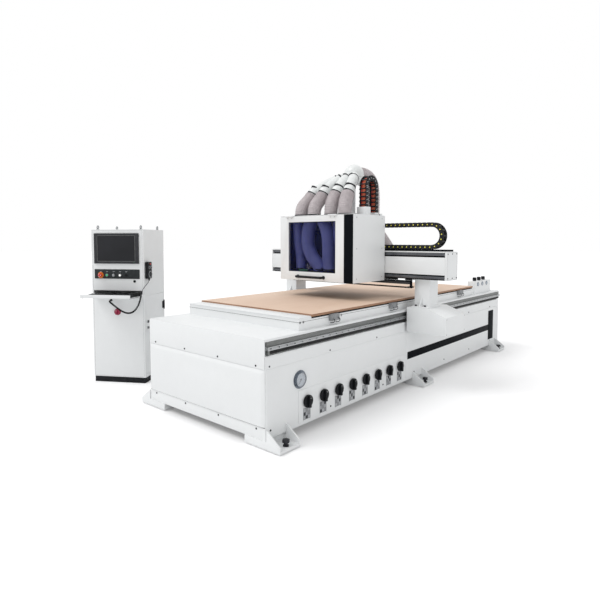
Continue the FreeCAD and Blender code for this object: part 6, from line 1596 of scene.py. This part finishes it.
def spindle_details(x):
    """Cooling fins, fan grille, plug and name plate of a spindle motor."""
    fin_low, fin_high, fin_half, fin_pitch = 1200, 1425, 1.6, 11
    half_width = 64.9
    bm = bmesh.new()
    for k in range(9):
        middle = x - 44 + fin_pitch * k
        block(bm, (middle - fin_half, -547.5, fin_low), (middle + fin_half, -544.9, fin_high), 0.5)
    for side in (-1, 1):
        low, high = sorted((x + side * half_width, x + side * (half_width + 2.6)))
        for k in range(7):
            middle = SPINDLE_Y - 33 + fin_pitch * k
            block(bm, (low, middle - fin_half, fin_low), (high, middle + fin_half, fin_high), 0.5)
    for radius in (16, 28, 40, 52):
        ring = [(radius - 1.4, 0), (radius - 1.4, 2.4), (radius + 1.4, 2.4), (radius + 1.4, 0)]
        marked(bm, 1, turned, ring, (x, SPINDLE_Y, SPINDLE_TOP), Z, 32)
    for k in range(4):
        spoke = bmesh.new()
        block(spoke, (12, -1.5, 0.4), (54, 1.5, 2.0))
        turn = Matrix.Rotation(pi / 4 * (2 * k + 1), 4, "Z")
        added(bm, spoke, Matrix.Translation(mm(x, SPINDLE_Y, SPINDLE_TOP)) @ turn)
    marked(bm, 1, block, (x - 22, -552, 1432), (x + 22, -545, 1456), 1.5)
    marked(bm, 2, block, (x - 34, -546.4, 1168), (x + 34, -544.9, 1190), 0.3)
    return bm


def collet_nose(x):
    """Spindle nose with its collet nut and the six flats of the nut."""
    foot = (x, SPINDLE_Y, NOSE_FOOT)
    nose = bmesh.new()
    turned(nose, [(6.35, 34), (6.35, 0), (10, -1.6), (19, -2), (21, 0), (25, 9), (25, 36), (22, 39),
                  (22, 40.5), (33, 40.5), (36, 43.5), (36, 82)], foot, Z, 40)
    for a in angles(6):
        flat = bmesh.new()
        block(flat, (24.0, -4.4, 12), (25.4, 4.4, 33), 0.5)
        added(nose, flat, Matrix.Translation(mm(*foot)) @ Matrix.Rotation(a, 4, "Z"))
    return nose


def dress_spindles():
    """Square spindle motors with their details, noses and the lifting plate."""

    def plate_part(at, out):
        if at.y < -297.8:
            return 1
        return 2 if at.y > -279.4 else 0

    def body_part(at, out):
        return 1 if at.y > -414.8 else 0

    dressed("lifting_plate", "z_plate", [F.light_metal, F.rail_z, F.motor], "hood", 1.0, choose=plate_part)
    for i, x in enumerate(SPINDLE_PLACES):
        number = i + 1
        body = "spindle_%d" % number
        node = "spindle_nose_%d" % number
        dressed("spindle_motor_%d" % number, "spindle_body_%d" % number, [F.motor, F.zinc], body, 1.2,
                choose=body_part)
        piece("spindle_details_%d" % number, spindle_details(x), [F.motor, F.black_plastic, F.zinc], body)
        piece("collet_nose_%d" % number, collet_nose(x), F.chrome, "nose_%d" % number, [node])


def dress_carriage():
    """Cross carriage with its rails and blocks, and the mast."""

    def carriage_part(at, out):
        if at.z < 1290 and at.y > -231.1:
            return 1
        return 2 if at.y < -249.6 and abs(abs(at.x - 9.5) - 240) < 14 else 0

    dressed("cross_carriage", "x_carriage", [F.white, F.motor, F.rail_z], "head", 1.2, choose=carriage_part)
    places = [((x, -249.3, 1640), (0, -1, 0)) for x in (-380, -200, 20, 220, 400)]
    places += [((-2 + 28 * k, -219.3, 1375), (0, 1, 0)) for k in range(4)]
    repeated("carriage_screws", places, screw_part(5, 3), F.black_oxide, "head")


# Control cabinet, in its own axes: along the front, inwards, up

CABINET_WIDTH = 540
CABINET_DEPTH = 450
CABINET_TOP = 1500
SWITCH = (262, 700)
SCREEN_LEFT, SCREEN_RIGHT = 69, 459
SCREEN_LOW, SCREEN_HIGH = 1194, 1439
BEZEL = 36
BEZEL_TOP_AND_FOOT = 24
PANEL_FACE = -6
BUTTON_HEIGHT = 1057
ESTOP_X, KEY_SWITCH_X = 96, 362
BUTTONS = {"start": 163, "pause": 231, "reset": 299}
TRAY_LOW, TRAY_TOP = 856, 860
KEYBOARD_SLOPE = 0.0656
KEYBOARD_TILT = radians(3.75)
PENDANT_FACE = 576
PENDANT_Y = 64


def in_cabinet(name, bm, material, body, replaced=()):
    """Piece that is made in the cabinet's axes and moved to its place."""
    return piece(name, bm, material, body, replaced, CABINET_TURN)


def dress_cabinet():
    """Cabinet body, its side door with locks, plinth, lifting eyes and seams."""
    side = CABINET_WIDTH + 0.4
    into_cabinet = CABINET_TURN.inverted()

    def door_part(at, out):
        local = into_cabinet @ (at * MM) / MM
        if local.x <= side:
            return 0
        return 1 if local.y < 100 else 2

    dressed("cabinet_body", "cabinet_shell", F.white, "bed", 1.4)
    dressed("cabinet_side_door", "cabinet_door", [F.white, F.zinc, F.black_oxide], "cabinet_door", 1.0,
            choose=door_part)
    locks = bmesh.new()
    for z in (602, 542):
        turned(locks, [(11, 0), (12.6, 0.4), (12.6, 1.4), (10.6, 1.9), (9.5, 0.6), (0, 0.6)], (552, 60, z),
               X, 32)
        block(locks, (552.5, 59, z - 6), (552.9, 61, z + 6))
    in_cabinet("door_locks", locks, F.black_oxide, "cabinet_door")
    plinth_and_plates()
    lifting_eyes()
    cabinet_seams()
    cabinet_back()


def plinth_and_plates():
    """Plinth, the switch's crimson disc and shaft, the panel's lock, and the pendant's hooks and hinges."""
    x, z = SWITCH
    hinge_x, hinge_y = 547, 430
    base = bmesh.new()
    block(base, (6, 6, 0), (CABINET_WIDTH - 6, CABINET_DEPTH - 6, 57), 1.5)
    marked(base, 1, turned, [(33, 0), (33, 2.8), (31.8, 4), (8, 4)], (x, 0, z), -Y, 48)
    turned(base, [(8, 4), (8, 8.2)], (x, 0, z), -Y, 20)
    turned(base, [(11.4, 0), (13, 0.4), (13, 4.2), (12, 5), (6, 5), (5, 4)], (445, 0, 999), -Y, 28)
    block(base, (CABINET_WIDTH, 56, 1134), (552, 72, 1146), 1.0)
    for z in (180, 690):
        pin(base, (hinge_x, hinge_y, z - 12), Z, 4, 94, 0.5, 16)
        for low in (z - 12, z + 70.3):
            block(base, (CABINET_WIDTH, hinge_y - 3, low), (hinge_x + 4, hinge_y + 7, low + 11.7), 1.0)
    in_cabinet("plinth_and_plates", base, [F.black_plastic, F.dark_red], "bed", ["cabinet_plinth"])


def lifting_eyes():
    """Four ring bolts on the roof."""
    ring_radius, wire, ring_height = 14, 5.6, 1523
    eyes = bmesh.new()
    for x in (45, CABINET_WIDTH - 45):
        for y in (45, CABINET_DEPTH - 45):
            turned(eyes, [(17, 0), (17, 3), (15, 4.6), (9, 6), (8, 8)], (x, y, CABINET_TOP), Z, 28)
            ring = [mm(x, y + ring_radius * cos(a), ring_height + ring_radius * sin(a))
                    for a in (*angles(28), tau)]
            swept(eyes, ring, wire * MM, 10, False)
    in_cabinet("lifting_eyes", eyes, F.zinc, "bed")


def cabinet_seams():
    """Dark joints round the front panels and the back panel."""
    front, inside, half = -0.15, 0.3, 0.6
    left, right, low, high = 12, 528, 66, 1492
    seams = bmesh.new()
    for x in (left, right):
        for start, end in ((low, 845), (909, high)):
            block(seams, (x - half, front, start), (x + half, inside, end))
    for z in (low, high):
        block(seams, (left, front, z - half), (right, inside, z + half))
    back, behind = CABINET_DEPTH - 0.3, CABINET_DEPTH + 0.15
    for x0, x1, z0, z1 in ((14, 526, 70, 71.2), (14, 526, 1489, 1490.2), (14, 15.2, 71, 1490),
                           (524.8, 526, 71, 1490)):
        block(seams, (x0, back, z0), (x1, behind, z1))
    in_cabinet("cabinet_seams", seams, F.rim_grey, "bed")


def cabinet_back():
    """Louvres, cable glands and back panel screws."""
    half_length = 70
    louvre = bmesh.new()
    outline = [(-half_length, 0, 0), (-half_length, 5, -7), (-half_length, 0, -7)]
    extruded(louvre, outline, (2 * half_length, 0, 0), 0.5)
    places = [((270, CABINET_DEPTH, foot + 16 * k), (0, 0, 1)) for foot in (300, 1180) for k in range(9)]
    repeated("back_louvres", places, kit_part("louvre_kit", louvre), F.white, "bed", place=CABINET_TURN)
    bm = bmesh.new()
    for x in (150, 210, 270, 330):
        gland = [(17, 0), (17, 5), (13, 7), (13, 18), (9, 22), (9, 26)]
        turned(bm, gland, (x, CABINET_DEPTH, 140), Y, 20)
    for z in (90, 780, 1470):
        for x in (30, 510):
            turned(bm, [(6, 0), (6, 1.6), (3.6, 2.6), (2.8, 1.4)], (x, CABINET_DEPTH, z), Y, 14)
    in_cabinet("back_glands", bm, F.black_plastic, "bed")


def monitor(bm):
    """Bezel, inner rim, glass, its lamp and its keys, each with a material index."""
    face = -14
    left, right = SCREEN_LEFT - BEZEL, SCREEN_RIGHT + BEZEL
    low, high = SCREEN_LOW - BEZEL_TOP_AND_FOOT, SCREEN_HIGH + BEZEL_TOP_AND_FOOT
    for x0, x1, z0, z1 in ((left, SCREEN_LEFT, low, high), (SCREEN_RIGHT, right, low, high),
                           (SCREEN_LEFT - 0.1, SCREEN_RIGHT + 0.1, low, SCREEN_LOW),
                           (SCREEN_LEFT - 0.1, SCREEN_RIGHT + 0.1, SCREEN_HIGH, high)):
        block(bm, (x0, face, z0), (x1, 0, z1), 1.8)
    proud = face - 0.3
    for x0, x1, z0, z1 in ((67, 70.5, 1192, 1441), (457.5, 461, 1192, 1441), (67, 461, 1191, 1194.5),
                           (67, 461, 1438.5, 1442)):
        marked(bm, 1, block, (x0, proud, z0), (x1, -10, z1), 0.6)
    marked(bm, 2, block, (SCREEN_LEFT, -11.6, 1193), (SCREEN_RIGHT, -9, 1440), 0.3)
    marked(bm, 3, block, (446, proud, 1179), (450, proud + 0.5, 1181))
    for k in range(5):
        x = 356 + 14 * k
        marked(bm, 4, block, (x, proud, 1178), (x + 8, proud + 0.5, 1182), 0.2)


def button_panel(bm):
    """Panel with its corner screws, printed names, key switch, button rims and the stop's collar."""
    marked(bm, 5, block, (31, PANEL_FACE, 1023), (498, 0, 1114), 1.2)
    for z in (1030, 1107):
        for x in (38, 491):
            marked(bm, 4, turned, [(3.4, 0), (3.4, 0.9), (2, 1.3), (1.7, 0.6)], (x, PANEL_FACE, z), -Y, 12)
    print_face, print_back = PANEL_FACE - 0.25, PANEL_FACE + 0.1
    for x in (ESTOP_X, *BUTTONS.values(), KEY_SWITCH_X):
        marked(bm, 6, block, (x - 11, print_face, 1092), (x + 11, print_back, 1094.6))
        marked(bm, 6, block, (x - 7, print_face, 1087.5), (x + 7, print_back, 1089.4))
    profile = [(10, 0), (13, 0.6), (13, 3.4), (9, 4), (8, 1.6), (0, 1.6)]
    marked(bm, 4, turned, profile, (KEY_SWITCH_X, PANEL_FACE, BUTTON_HEIGHT), -Y, 28)
    for x in BUTTONS.values():
        rim = [(15, 0), (15, 1.2), (14.2, 6.2), (12.6, 8), (10.4, 8), (10.3, 0.2)]
        marked(bm, 7, turned, rim, (x, PANEL_FACE, BUTTON_HEIGHT), -Y, 32)
    shroud = [(30, 0), (30, 2.0), (29, 3), (16, 3), (15, 6.5), (9.5, 6.5), (9.3, 0.2)]
    marked(bm, 8, turned, shroud, (ESTOP_X, PANEL_FACE, BUTTON_HEIGHT), -Y, 40)


def emergency_cap():
    """Mushroom cap of the emergency stop, with the three marks that show which way it turns."""
    reach = 12
    bm = bmesh.new()
    profile = [(9, 1.6), (9, 8.1), (17, 8.3), (19.4, 9.6), (20, 12)]
    for a in (*angles(8, pi / 2)[1:], pi / 2):
        profile.append((14 + 6 * cos(a), 14.8 + 6.5 * sin(a)))
    profile += [(9, 21.0), (0, 20.6)]
    turned(bm, profile, (ESTOP_X, -10.0, BUTTON_HEIGHT), -Y, 40)
    for a in angles(3):
        arrow = bmesh.new()
        block(arrow, (-2.4, -5, 0), (2.4, 5, 0.4))
        spot = mm(ESTOP_X + reach * cos(a), -31.2, BUTTON_HEIGHT + reach * sin(a))
        turn = Matrix.Rotation(-a, 4, "Y") @ Matrix.Rotation(pi / 2, 4, "X")
        marked(bm, 1, added, arrow, Matrix.Translation(spot) @ turn)
    in_cabinet("emergency_cap", bm, [F.red, F.white_tag], "estop_button", ["estop_button"])


def switch_knob():
    """Knob of the main switch: a round base, an upright grip and its white mark."""
    x, z = SWITCH
    bm = bmesh.new()
    turned(bm, [(25, 0), (28, 0.8), (28, 9), (26, 12.6), (12, 13)], (x, -8.3, z), -Y, 40)
    block(bm, (x - 8, -34.3, z - 26), (x + 8, -8.4, z + 26), 3.0, 3)
    marked(bm, 1, block, (x - 1.2, -34.4, z + 8), (x + 1.2, -34.1, z + 22))
    in_cabinet("switch_knob", bm, [F.dark_red, F.white_tag], "main_switch", ["main_switch"])


def dress_console():
    """Monitor, button panel, push buttons, emergency stop and main switch."""
    bm = bmesh.new()
    monitor(bm)
    button_panel(bm)
    finishes = [F.charcoal, F.rim_grey, F.screen, F.green_lens, F.black_plastic, F.panel_black, F.label_pale,
                F.zinc, F.amber]
    in_cabinet("monitor_and_panel", bm, finishes, "bed", ["operator_panel"])
    lenses = {"start": F.green_lens, "pause": F.grey_lens, "reset": F.white_lens}
    for name, x in BUTTONS.items():
        lens = bmesh.new()
        profile = [(10, 0), (10, 6.6), (9.2, 7.6), (7.6, 8), (6.6, 7.6), (0, 7.4)]
        turned(lens, profile, (x, -10, BUTTON_HEIGHT), -Y, 28)
        in_cabinet(name + "_lens", lens, lenses[name], name + "_button", [name + "_button"])
    emergency_cap()
    switch_knob()


def keys():
    """Key caps in six rows, with gaps for the space bar and between the groups, and the space bar."""
    half, tall, taper = 8.2, 5.2, 0.84
    first_x, column_pitch = 45.5, 20.4
    first_y, row_pitch, back_edge = -184, 20.2, -70
    slope_start, slope_height = -190, 870.4
    key = bmesh.new()
    block(key, (-half, -half, 0), (half, half, tall), 1.6)
    for vertex in key.verts:
        if vertex.co.z > 2.5 * MM:
            vertex.co.x *= taper
            vertex.co.y *= taper
    tilt = Vector((0, -sin(KEYBOARD_TILT), cos(KEYBOARD_TILT)))
    places = []
    for row in range(6):
        y = first_y + row * row_pitch + (4 if row == 5 else 0)
        for column in range(19):
            under_space = row == 0 and 3 < column < 9
            between_groups = row == 5 and column in (1, 6, 11)
            if y < back_edge and not under_space and not between_groups:
                z = slope_height + (y - slope_start) * KEYBOARD_SLOPE
                places.append(((first_x + column * column_pitch, y, z), tilt))
    repeated("keys", places, kit_part("key_kit", key), F.key_black, "keyboard_tray", place=CABINET_TURN)
    space = ((119, first_y - half, 870.2), (217, first_y + half, 875.6))
    boxes("space_key", F.key_black, "keyboard_tray", [space], 1.6, place=CABINET_TURN)


def mouse():
    """Mouse: a rounded shell, flat below and lower at its nose, with its wheel."""
    x, y, z = 474, -145, 861
    half_width, half_length, height = 28, 50, 30.5
    shell = bmesh.new()
    bmesh.ops.create_uvsphere(shell, u_segments=36, v_segments=20, radius=1.0)
    for vertex in shell.verts:
        across, along, up = vertex.co
        vertex.co = mm(x + half_width * across * (1 - 0.10 * along), y + half_length * along,
                       z + height * max(up, 0.0) ** 0.85 * (1 - 0.16 * along))
    bmesh.ops.dissolve_degenerate(shell, dist=1e-6, edges=shell.edges)
    turned(shell, [(0, -3), (6, -3), (7, -2), (7, 2), (6, 3), (0, 3)], (x, -118, 884), X, 20)
    in_cabinet("mouse_body", shell, F.black_plastic, "keyboard_tray")


def dress_tray():
    """Sliding tray with its lip, mat and runners, the keyboard with its keys, and the mouse."""
    bm = bmesh.new()
    block(bm, (22, -225, TRAY_LOW), (508, 40, TRAY_TOP), 1.0)
    block(bm, (14, -233, TRAY_LOW), (516, -225, 888), 2.4, 3)
    marked(bm, 1, block, (24, -224.6, TRAY_TOP), (506, 38, TRAY_TOP + 0.9), 0.3)
    for x in (22.2, 500.8):
        marked(bm, 2, block, (x, -218, 850.6), (x + 7, 30, 855.8), 0.8)
    left, length, foot = 34, 390, TRAY_TOP + 0.9
    section = [(-195, foot), (-63, foot), (-63, 877), (-68, 878.2), (-190, 870.2), (-195, 868.6)]
    marked(bm, 3, extruded, [(left, y, z) for y, z in section], (length, 0, 0), 0.8)
    in_cabinet("tray_and_keyboard", bm, [F.white_top, F.rubber, F.zinc, F.black_plastic], "keyboard_tray",
               ["keyboard_tray"])
    keys()
    mouse()


def dress_pendant():
    """Hand pendant: rounded body, hand wheel, selector knobs, stop button, screws and the cord's boot."""
    x, y = PENDANT_FACE, PENDANT_Y
    wheel = (x + 2, y, 1066)
    bm = bmesh.new()
    block(bm, (x - 35, y - 40, 1023), (x, y + 40, 1186), 9.0, 4)
    block(bm, (x - 31, y - 42, 1034), (x - 5, y + 42, 1176), 6.0, 3)
    marked(bm, 1, turned, [(30, 0), (32, 0.8), (32, 2.2), (30, 3)], (x - 0.4, y, 1066), X, 40)
    marked(bm, 2, turned, [(27, 0), (27, 3.6), (25, 5), (12, 5), (10, 3.4), (0, 3.4)], wheel, X, 40)
    marked(bm, 2, turned, [(4.2, 0), (4.2, 4.4), (3.2, 5)], (x + 2, y, 1084), X, 16)
    for at in (y - 18, y + 18):
        marked(bm, 1, turned, [(13.5, 0), (13.5, 0.8), (12.5, 1.2)], (x - 0.2, at, 1133), X, 28)
        marked(bm, 2, turned, [(9, 0), (9, 4), (8, 6), (0, 6)], (x + 0.6, at, 1133), X, 24)
        marked(bm, 1, block, (x + 6.4, at - 0.8, 1133), (x + 6.9, at + 0.8, 1141))
    marked(bm, 3, turned, [(8, 0), (8, 3), (7, 4.6), (0, 4.8)], (x, y, 1166), X, 24)
    for at in (y - 31, y + 31):
        for z in (1036, 1174):
            marked(bm, 4, turned, [(2.6, 0), (2.6, 0.5), (1.4, 0.9)], (x - 0.2, at, z), X, 10)
    in_cabinet("pendant_body", bm, [F.black_plastic, F.label_pale, F.grip_black, F.red, F.zinc], "pendant",
               ["pendant"])
    boot = bmesh.new()
    turned(boot, [(4, 0), (4.6, 0.6), (9, 14), (11, 22)], (562, y, 1001), Z, 24)
    in_cabinet("pendant_boot", boot, F.rubber, "pendant")


# Pendant's cord

CORD_ROUTE = (
    (196, -0.3, 812), (196, -54, 812), (250, -62, 776), (300, -64, 740), (354, -66, 708), (412, -66, 694),
    (468, -66, 714), (506, -60, 768), (525, -50, 830), (533, -42, 884),
)
TAIL_ROUTE = (
    (533.1, -41.9, 884.7), (538, -32, 918), (551, -6, 950), (561, 32, 978), (562, 62, 1000),
    (562, 64, 1022.5),
)
CORD_EXIT = (196, 0, 812)
WIRE_RADIUS = 2.8
CURL_RADIUS = 6.1
CURL_PITCH = 7.6
CURL_STEPS = 14
PLAIN_START, PLAIN_END = 30, 6
CURL_GROWTH = 18


def route_points(route):
    """Points read from the NURBS spline of a route."""
    data = bpy.data.curves.new("route", "CURVE")
    data.dimensions = "3D"
    data.resolution_u = 40
    spline = data.splines.new("NURBS")
    spline.points.add(len(route) - 1)
    for item, p in zip(spline.points, route):
        item.co = (*(CABINET_TURN @ mm(*p)), 1)
    spline.order_u = 3
    spline.use_endpoint_u = True
    obj = linked("route", data)
    bpy.context.view_layer.update()
    mesh = bpy.data.meshes.new_from_object(obj)
    points = [v.co.copy() for v in mesh.vertices]
    bpy.data.objects.remove(obj)
    bpy.data.meshes.remove(mesh)
    return points


def lengths_along(points):
    """Length from the start to each point."""
    found = [0.0]
    for a, b in zip(points, points[1:]):
        found.append(found[-1] + (b - a).length)
    return found


def curled(points):
    """Helix round a line of points, plain at both ends, its radius growing from nothing between them."""
    along = lengths_along(points)
    total = along[-1]
    step = CURL_PITCH * MM / CURL_STEPS
    start, end, ramp = PLAIN_START * MM, total - PLAIN_END * MM, CURL_GROWTH * MM
    side = (points[1] - points[0]).orthogonal().normalized()
    helix = []
    index = 0
    count = int(total / step)
    for k in range(count + 1):
        s = min(k * step, total)
        while index < len(along) - 2 and along[index + 1] < s:
            index += 1
        share = (s - along[index]) / (along[index + 1] - along[index])
        centre = points[index].lerp(points[index + 1], share)
        before = (points[index + 1] - points[index]).normalized()
        after = (points[min(index + 2, len(points) - 1)] - points[index + 1]).normalized()
        ahead = before.lerp(after, share).normalized() if after.length > 0.5 else before
        side = (side - ahead * side.dot(ahead)).normalized()
        rise = min(1.0, max(0.0, (s - start) / ramp), max(0.0, (end - s) / ramp))
        reach = CURL_RADIUS * MM * rise * rise * (3 - 2 * rise)
        turn = tau * s / (CURL_PITCH * MM)
        helix.append(centre + (side * cos(turn) + ahead.cross(side) * sin(turn)) * reach)
    return helix


def dress_cord():
    """Curly cord from the cabinet's front to the pendant, its tail and its strain relief."""
    helix = curled(route_points(CORD_ROUTE))
    tail = route_points(TAIL_ROUTE)
    path = helix + tail[1:]
    bm = bmesh.new()
    swept(bm, path, WIRE_RADIUS * MM, 10)
    relief = bmesh.new()
    turned(relief, [(3.2, -2), (12, -2), (12, 2.5), (8.5, 4), (7, 9), (5.4, 18), (4.2, 26), (3.0, 27)],
           CORD_EXIT, -Y, 24)
    sleeve = in_cabinet("cord_relief", relief, F.rubber, "bed")
    cord = piece("pendant_curly_cord", bm, F.rubber, "bed", ["pendant_cord"])


# Add-on

class RouterColours(PropertyGroup):
    """Colours that a user would change."""
    machine: bpy.props.FloatVectorProperty(
        name="Machine", description="Powder coat of the machine", subtype="COLOR", size=3, min=0, max=1,
        default=(0.80, 0.815, 0.82))
    hose: bpy.props.FloatVectorProperty(
        name="Hoses", description="Ribbed dust hoses", subtype="COLOR", size=3, min=0, max=1,
        default=(0.50, 0.45, 0.46))


class ROUTER_OT_finishes(Operator):
    """Make the finishes"""
    bl_idname = "router.finishes"
    bl_label = "Finishes"

    def execute(self, context):
        make_finishes(context.scene.router_colours)
        return {"FINISHED"}


class ROUTER_OT_stage(Operator):
    """Set the floor, the light and the camera"""
    bl_idname = "router.stage"
    bl_label = "Stage"

    def execute(self, context):
        make_stage()
        return {"FINISHED"}


class ROUTER_OT_cord(Operator):
    """Dress the pendant's curly cord"""
    bl_idname = "router.cord"
    bl_label = "Pendant cord"

    def execute(self, context):
        dress_cord()
        return {"FINISHED"}


class ROUTER_OT_bed(Operator):
    """Dress the bed and its guide ways"""
    bl_idname = "router.bed"
    bl_label = "Bed"

    def execute(self, context):
        dress_bed()
        way_parts()
        return {"FINISHED"}


class ROUTER_OT_table(Operator):
    """Dress the table, the board and the stops"""
    bl_idname = "router.table"
    bl_label = "Table"

    def execute(self, context):
        dress_table()
        return {"FINISHED"}


class ROUTER_OT_regulators(Operator):
    """Dress the air regulators"""
    bl_idname = "router.regulators"
    bl_label = "Air regulators"

    def execute(self, context):
        dress_regulators()
        return {"FINISHED"}


class ROUTER_OT_valves(Operator):
    """Dress the vacuum valves and the stripe"""
    bl_idname = "router.valves"
    bl_label = "Vacuum valves"

    def execute(self, context):
        dress_valves()
        return {"FINISHED"}


class ROUTER_OT_gauge(Operator):
    """Dress the vacuum gauge"""
    bl_idname = "router.gauge"
    bl_label = "Vacuum gauge"

    def execute(self, context):
        dress_gauge()
        return {"FINISHED"}


class ROUTER_OT_gantry(Operator):
    """Dress the gantry and the sheet pusher"""
    bl_idname = "router.gantry"
    bl_label = "Gantry"

    def execute(self, context):
        dress_gantry()
        return {"FINISHED"}


class ROUTER_OT_chains(Operator):
    """Dress the cable chains"""
    bl_idname = "router.chains"
    bl_label = "Cable chains"

    def execute(self, context):
        dress_chains()
        return {"FINISHED"}


class ROUTER_OT_hoses(Operator):
    """Dress the dust hoses, pipes and manifold"""
    bl_idname = "router.hoses"
    bl_label = "Dust hoses"

    def execute(self, context):
        dress_hoses()
        return {"FINISHED"}


class ROUTER_OT_carriage(Operator):
    """Dress the cross carriage and the mast"""
    bl_idname = "router.carriage"
    bl_label = "Cross carriage"

    def execute(self, context):
        dress_carriage()
        return {"FINISHED"}


class ROUTER_OT_spindles(Operator):
    """Dress the spindles and the lifting plate"""
    bl_idname = "router.spindles"
    bl_label = "Spindles"

    def execute(self, context):
        dress_spindles()
        return {"FINISHED"}


class ROUTER_OT_hood(Operator):
    """Dress the hood, its door and the hoses inside"""
    bl_idname = "router.hood"
    bl_label = "Hood"

    def execute(self, context):
        dress_hood()
        dress_inner_hoses()
        return {"FINISHED"}


class ROUTER_OT_cabinet(Operator):
    """Dress the control cabinet"""
    bl_idname = "router.cabinet"
    bl_label = "Cabinet"

    def execute(self, context):
        dress_cabinet()
        return {"FINISHED"}


class ROUTER_OT_console(Operator):
    """Dress the monitor, the button panel and the main switch"""
    bl_idname = "router.console"
    bl_label = "Console"

    def execute(self, context):
        dress_console()
        return {"FINISHED"}


class ROUTER_OT_tray(Operator):
    """Dress the keyboard tray"""
    bl_idname = "router.tray"
    bl_label = "Keyboard tray"

    def execute(self, context):
        dress_tray()
        return {"FINISHED"}


class ROUTER_OT_pendant(Operator):
    """Dress the hand pendant"""
    bl_idname = "router.pendant"
    bl_label = "Pendant"

    def execute(self, context):
        dress_pendant()
        return {"FINISHED"}


STEPS = (
    ROUTER_OT_stage, ROUTER_OT_finishes, ROUTER_OT_cord, ROUTER_OT_bed, ROUTER_OT_table,
    ROUTER_OT_regulators, ROUTER_OT_valves, ROUTER_OT_gauge, ROUTER_OT_gantry, ROUTER_OT_chains,
    ROUTER_OT_hoses, ROUTER_OT_carriage, ROUTER_OT_spindles, ROUTER_OT_hood, ROUTER_OT_cabinet,
    ROUTER_OT_console, ROUTER_OT_tray, ROUTER_OT_pendant,
)


class ROUTER_PT_panel(Panel):
    """Steps that dress the router"""
    bl_label = "Flat-bed cnc router"
    bl_idname = "ROUTER_PT_panel"
    bl_space_type = "VIEW_3D"
    bl_region_type = "UI"
    bl_category = "Router"

    def draw(self, context):
        column = self.layout.column()
        column.prop(context.scene.router_colours, "machine")
        column.prop(context.scene.router_colours, "hose")
        for step in STEPS:
            column.operator(step.bl_idname)


CLASSES = (RouterColours, *STEPS, ROUTER_PT_panel)


def register():
    """Adds the classes and the scene's settings."""
    for each in CLASSES:
        bpy.utils.register_class(each)
    bpy.types.Scene.router_colours = bpy.props.PointerProperty(type=RouterColours)


def unregister():
    """Removes what register added."""
    del bpy.types.Scene.router_colours
    for each in reversed(CLASSES):
        bpy.utils.unregister_class(each)


def main():
    """Registers the add-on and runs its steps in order."""
    register()
    for step in STEPS:
        group, name = step.bl_idname.split(".")
        getattr(getattr(bpy.ops, group), name)()


if __name__ == "__main__":
    main()
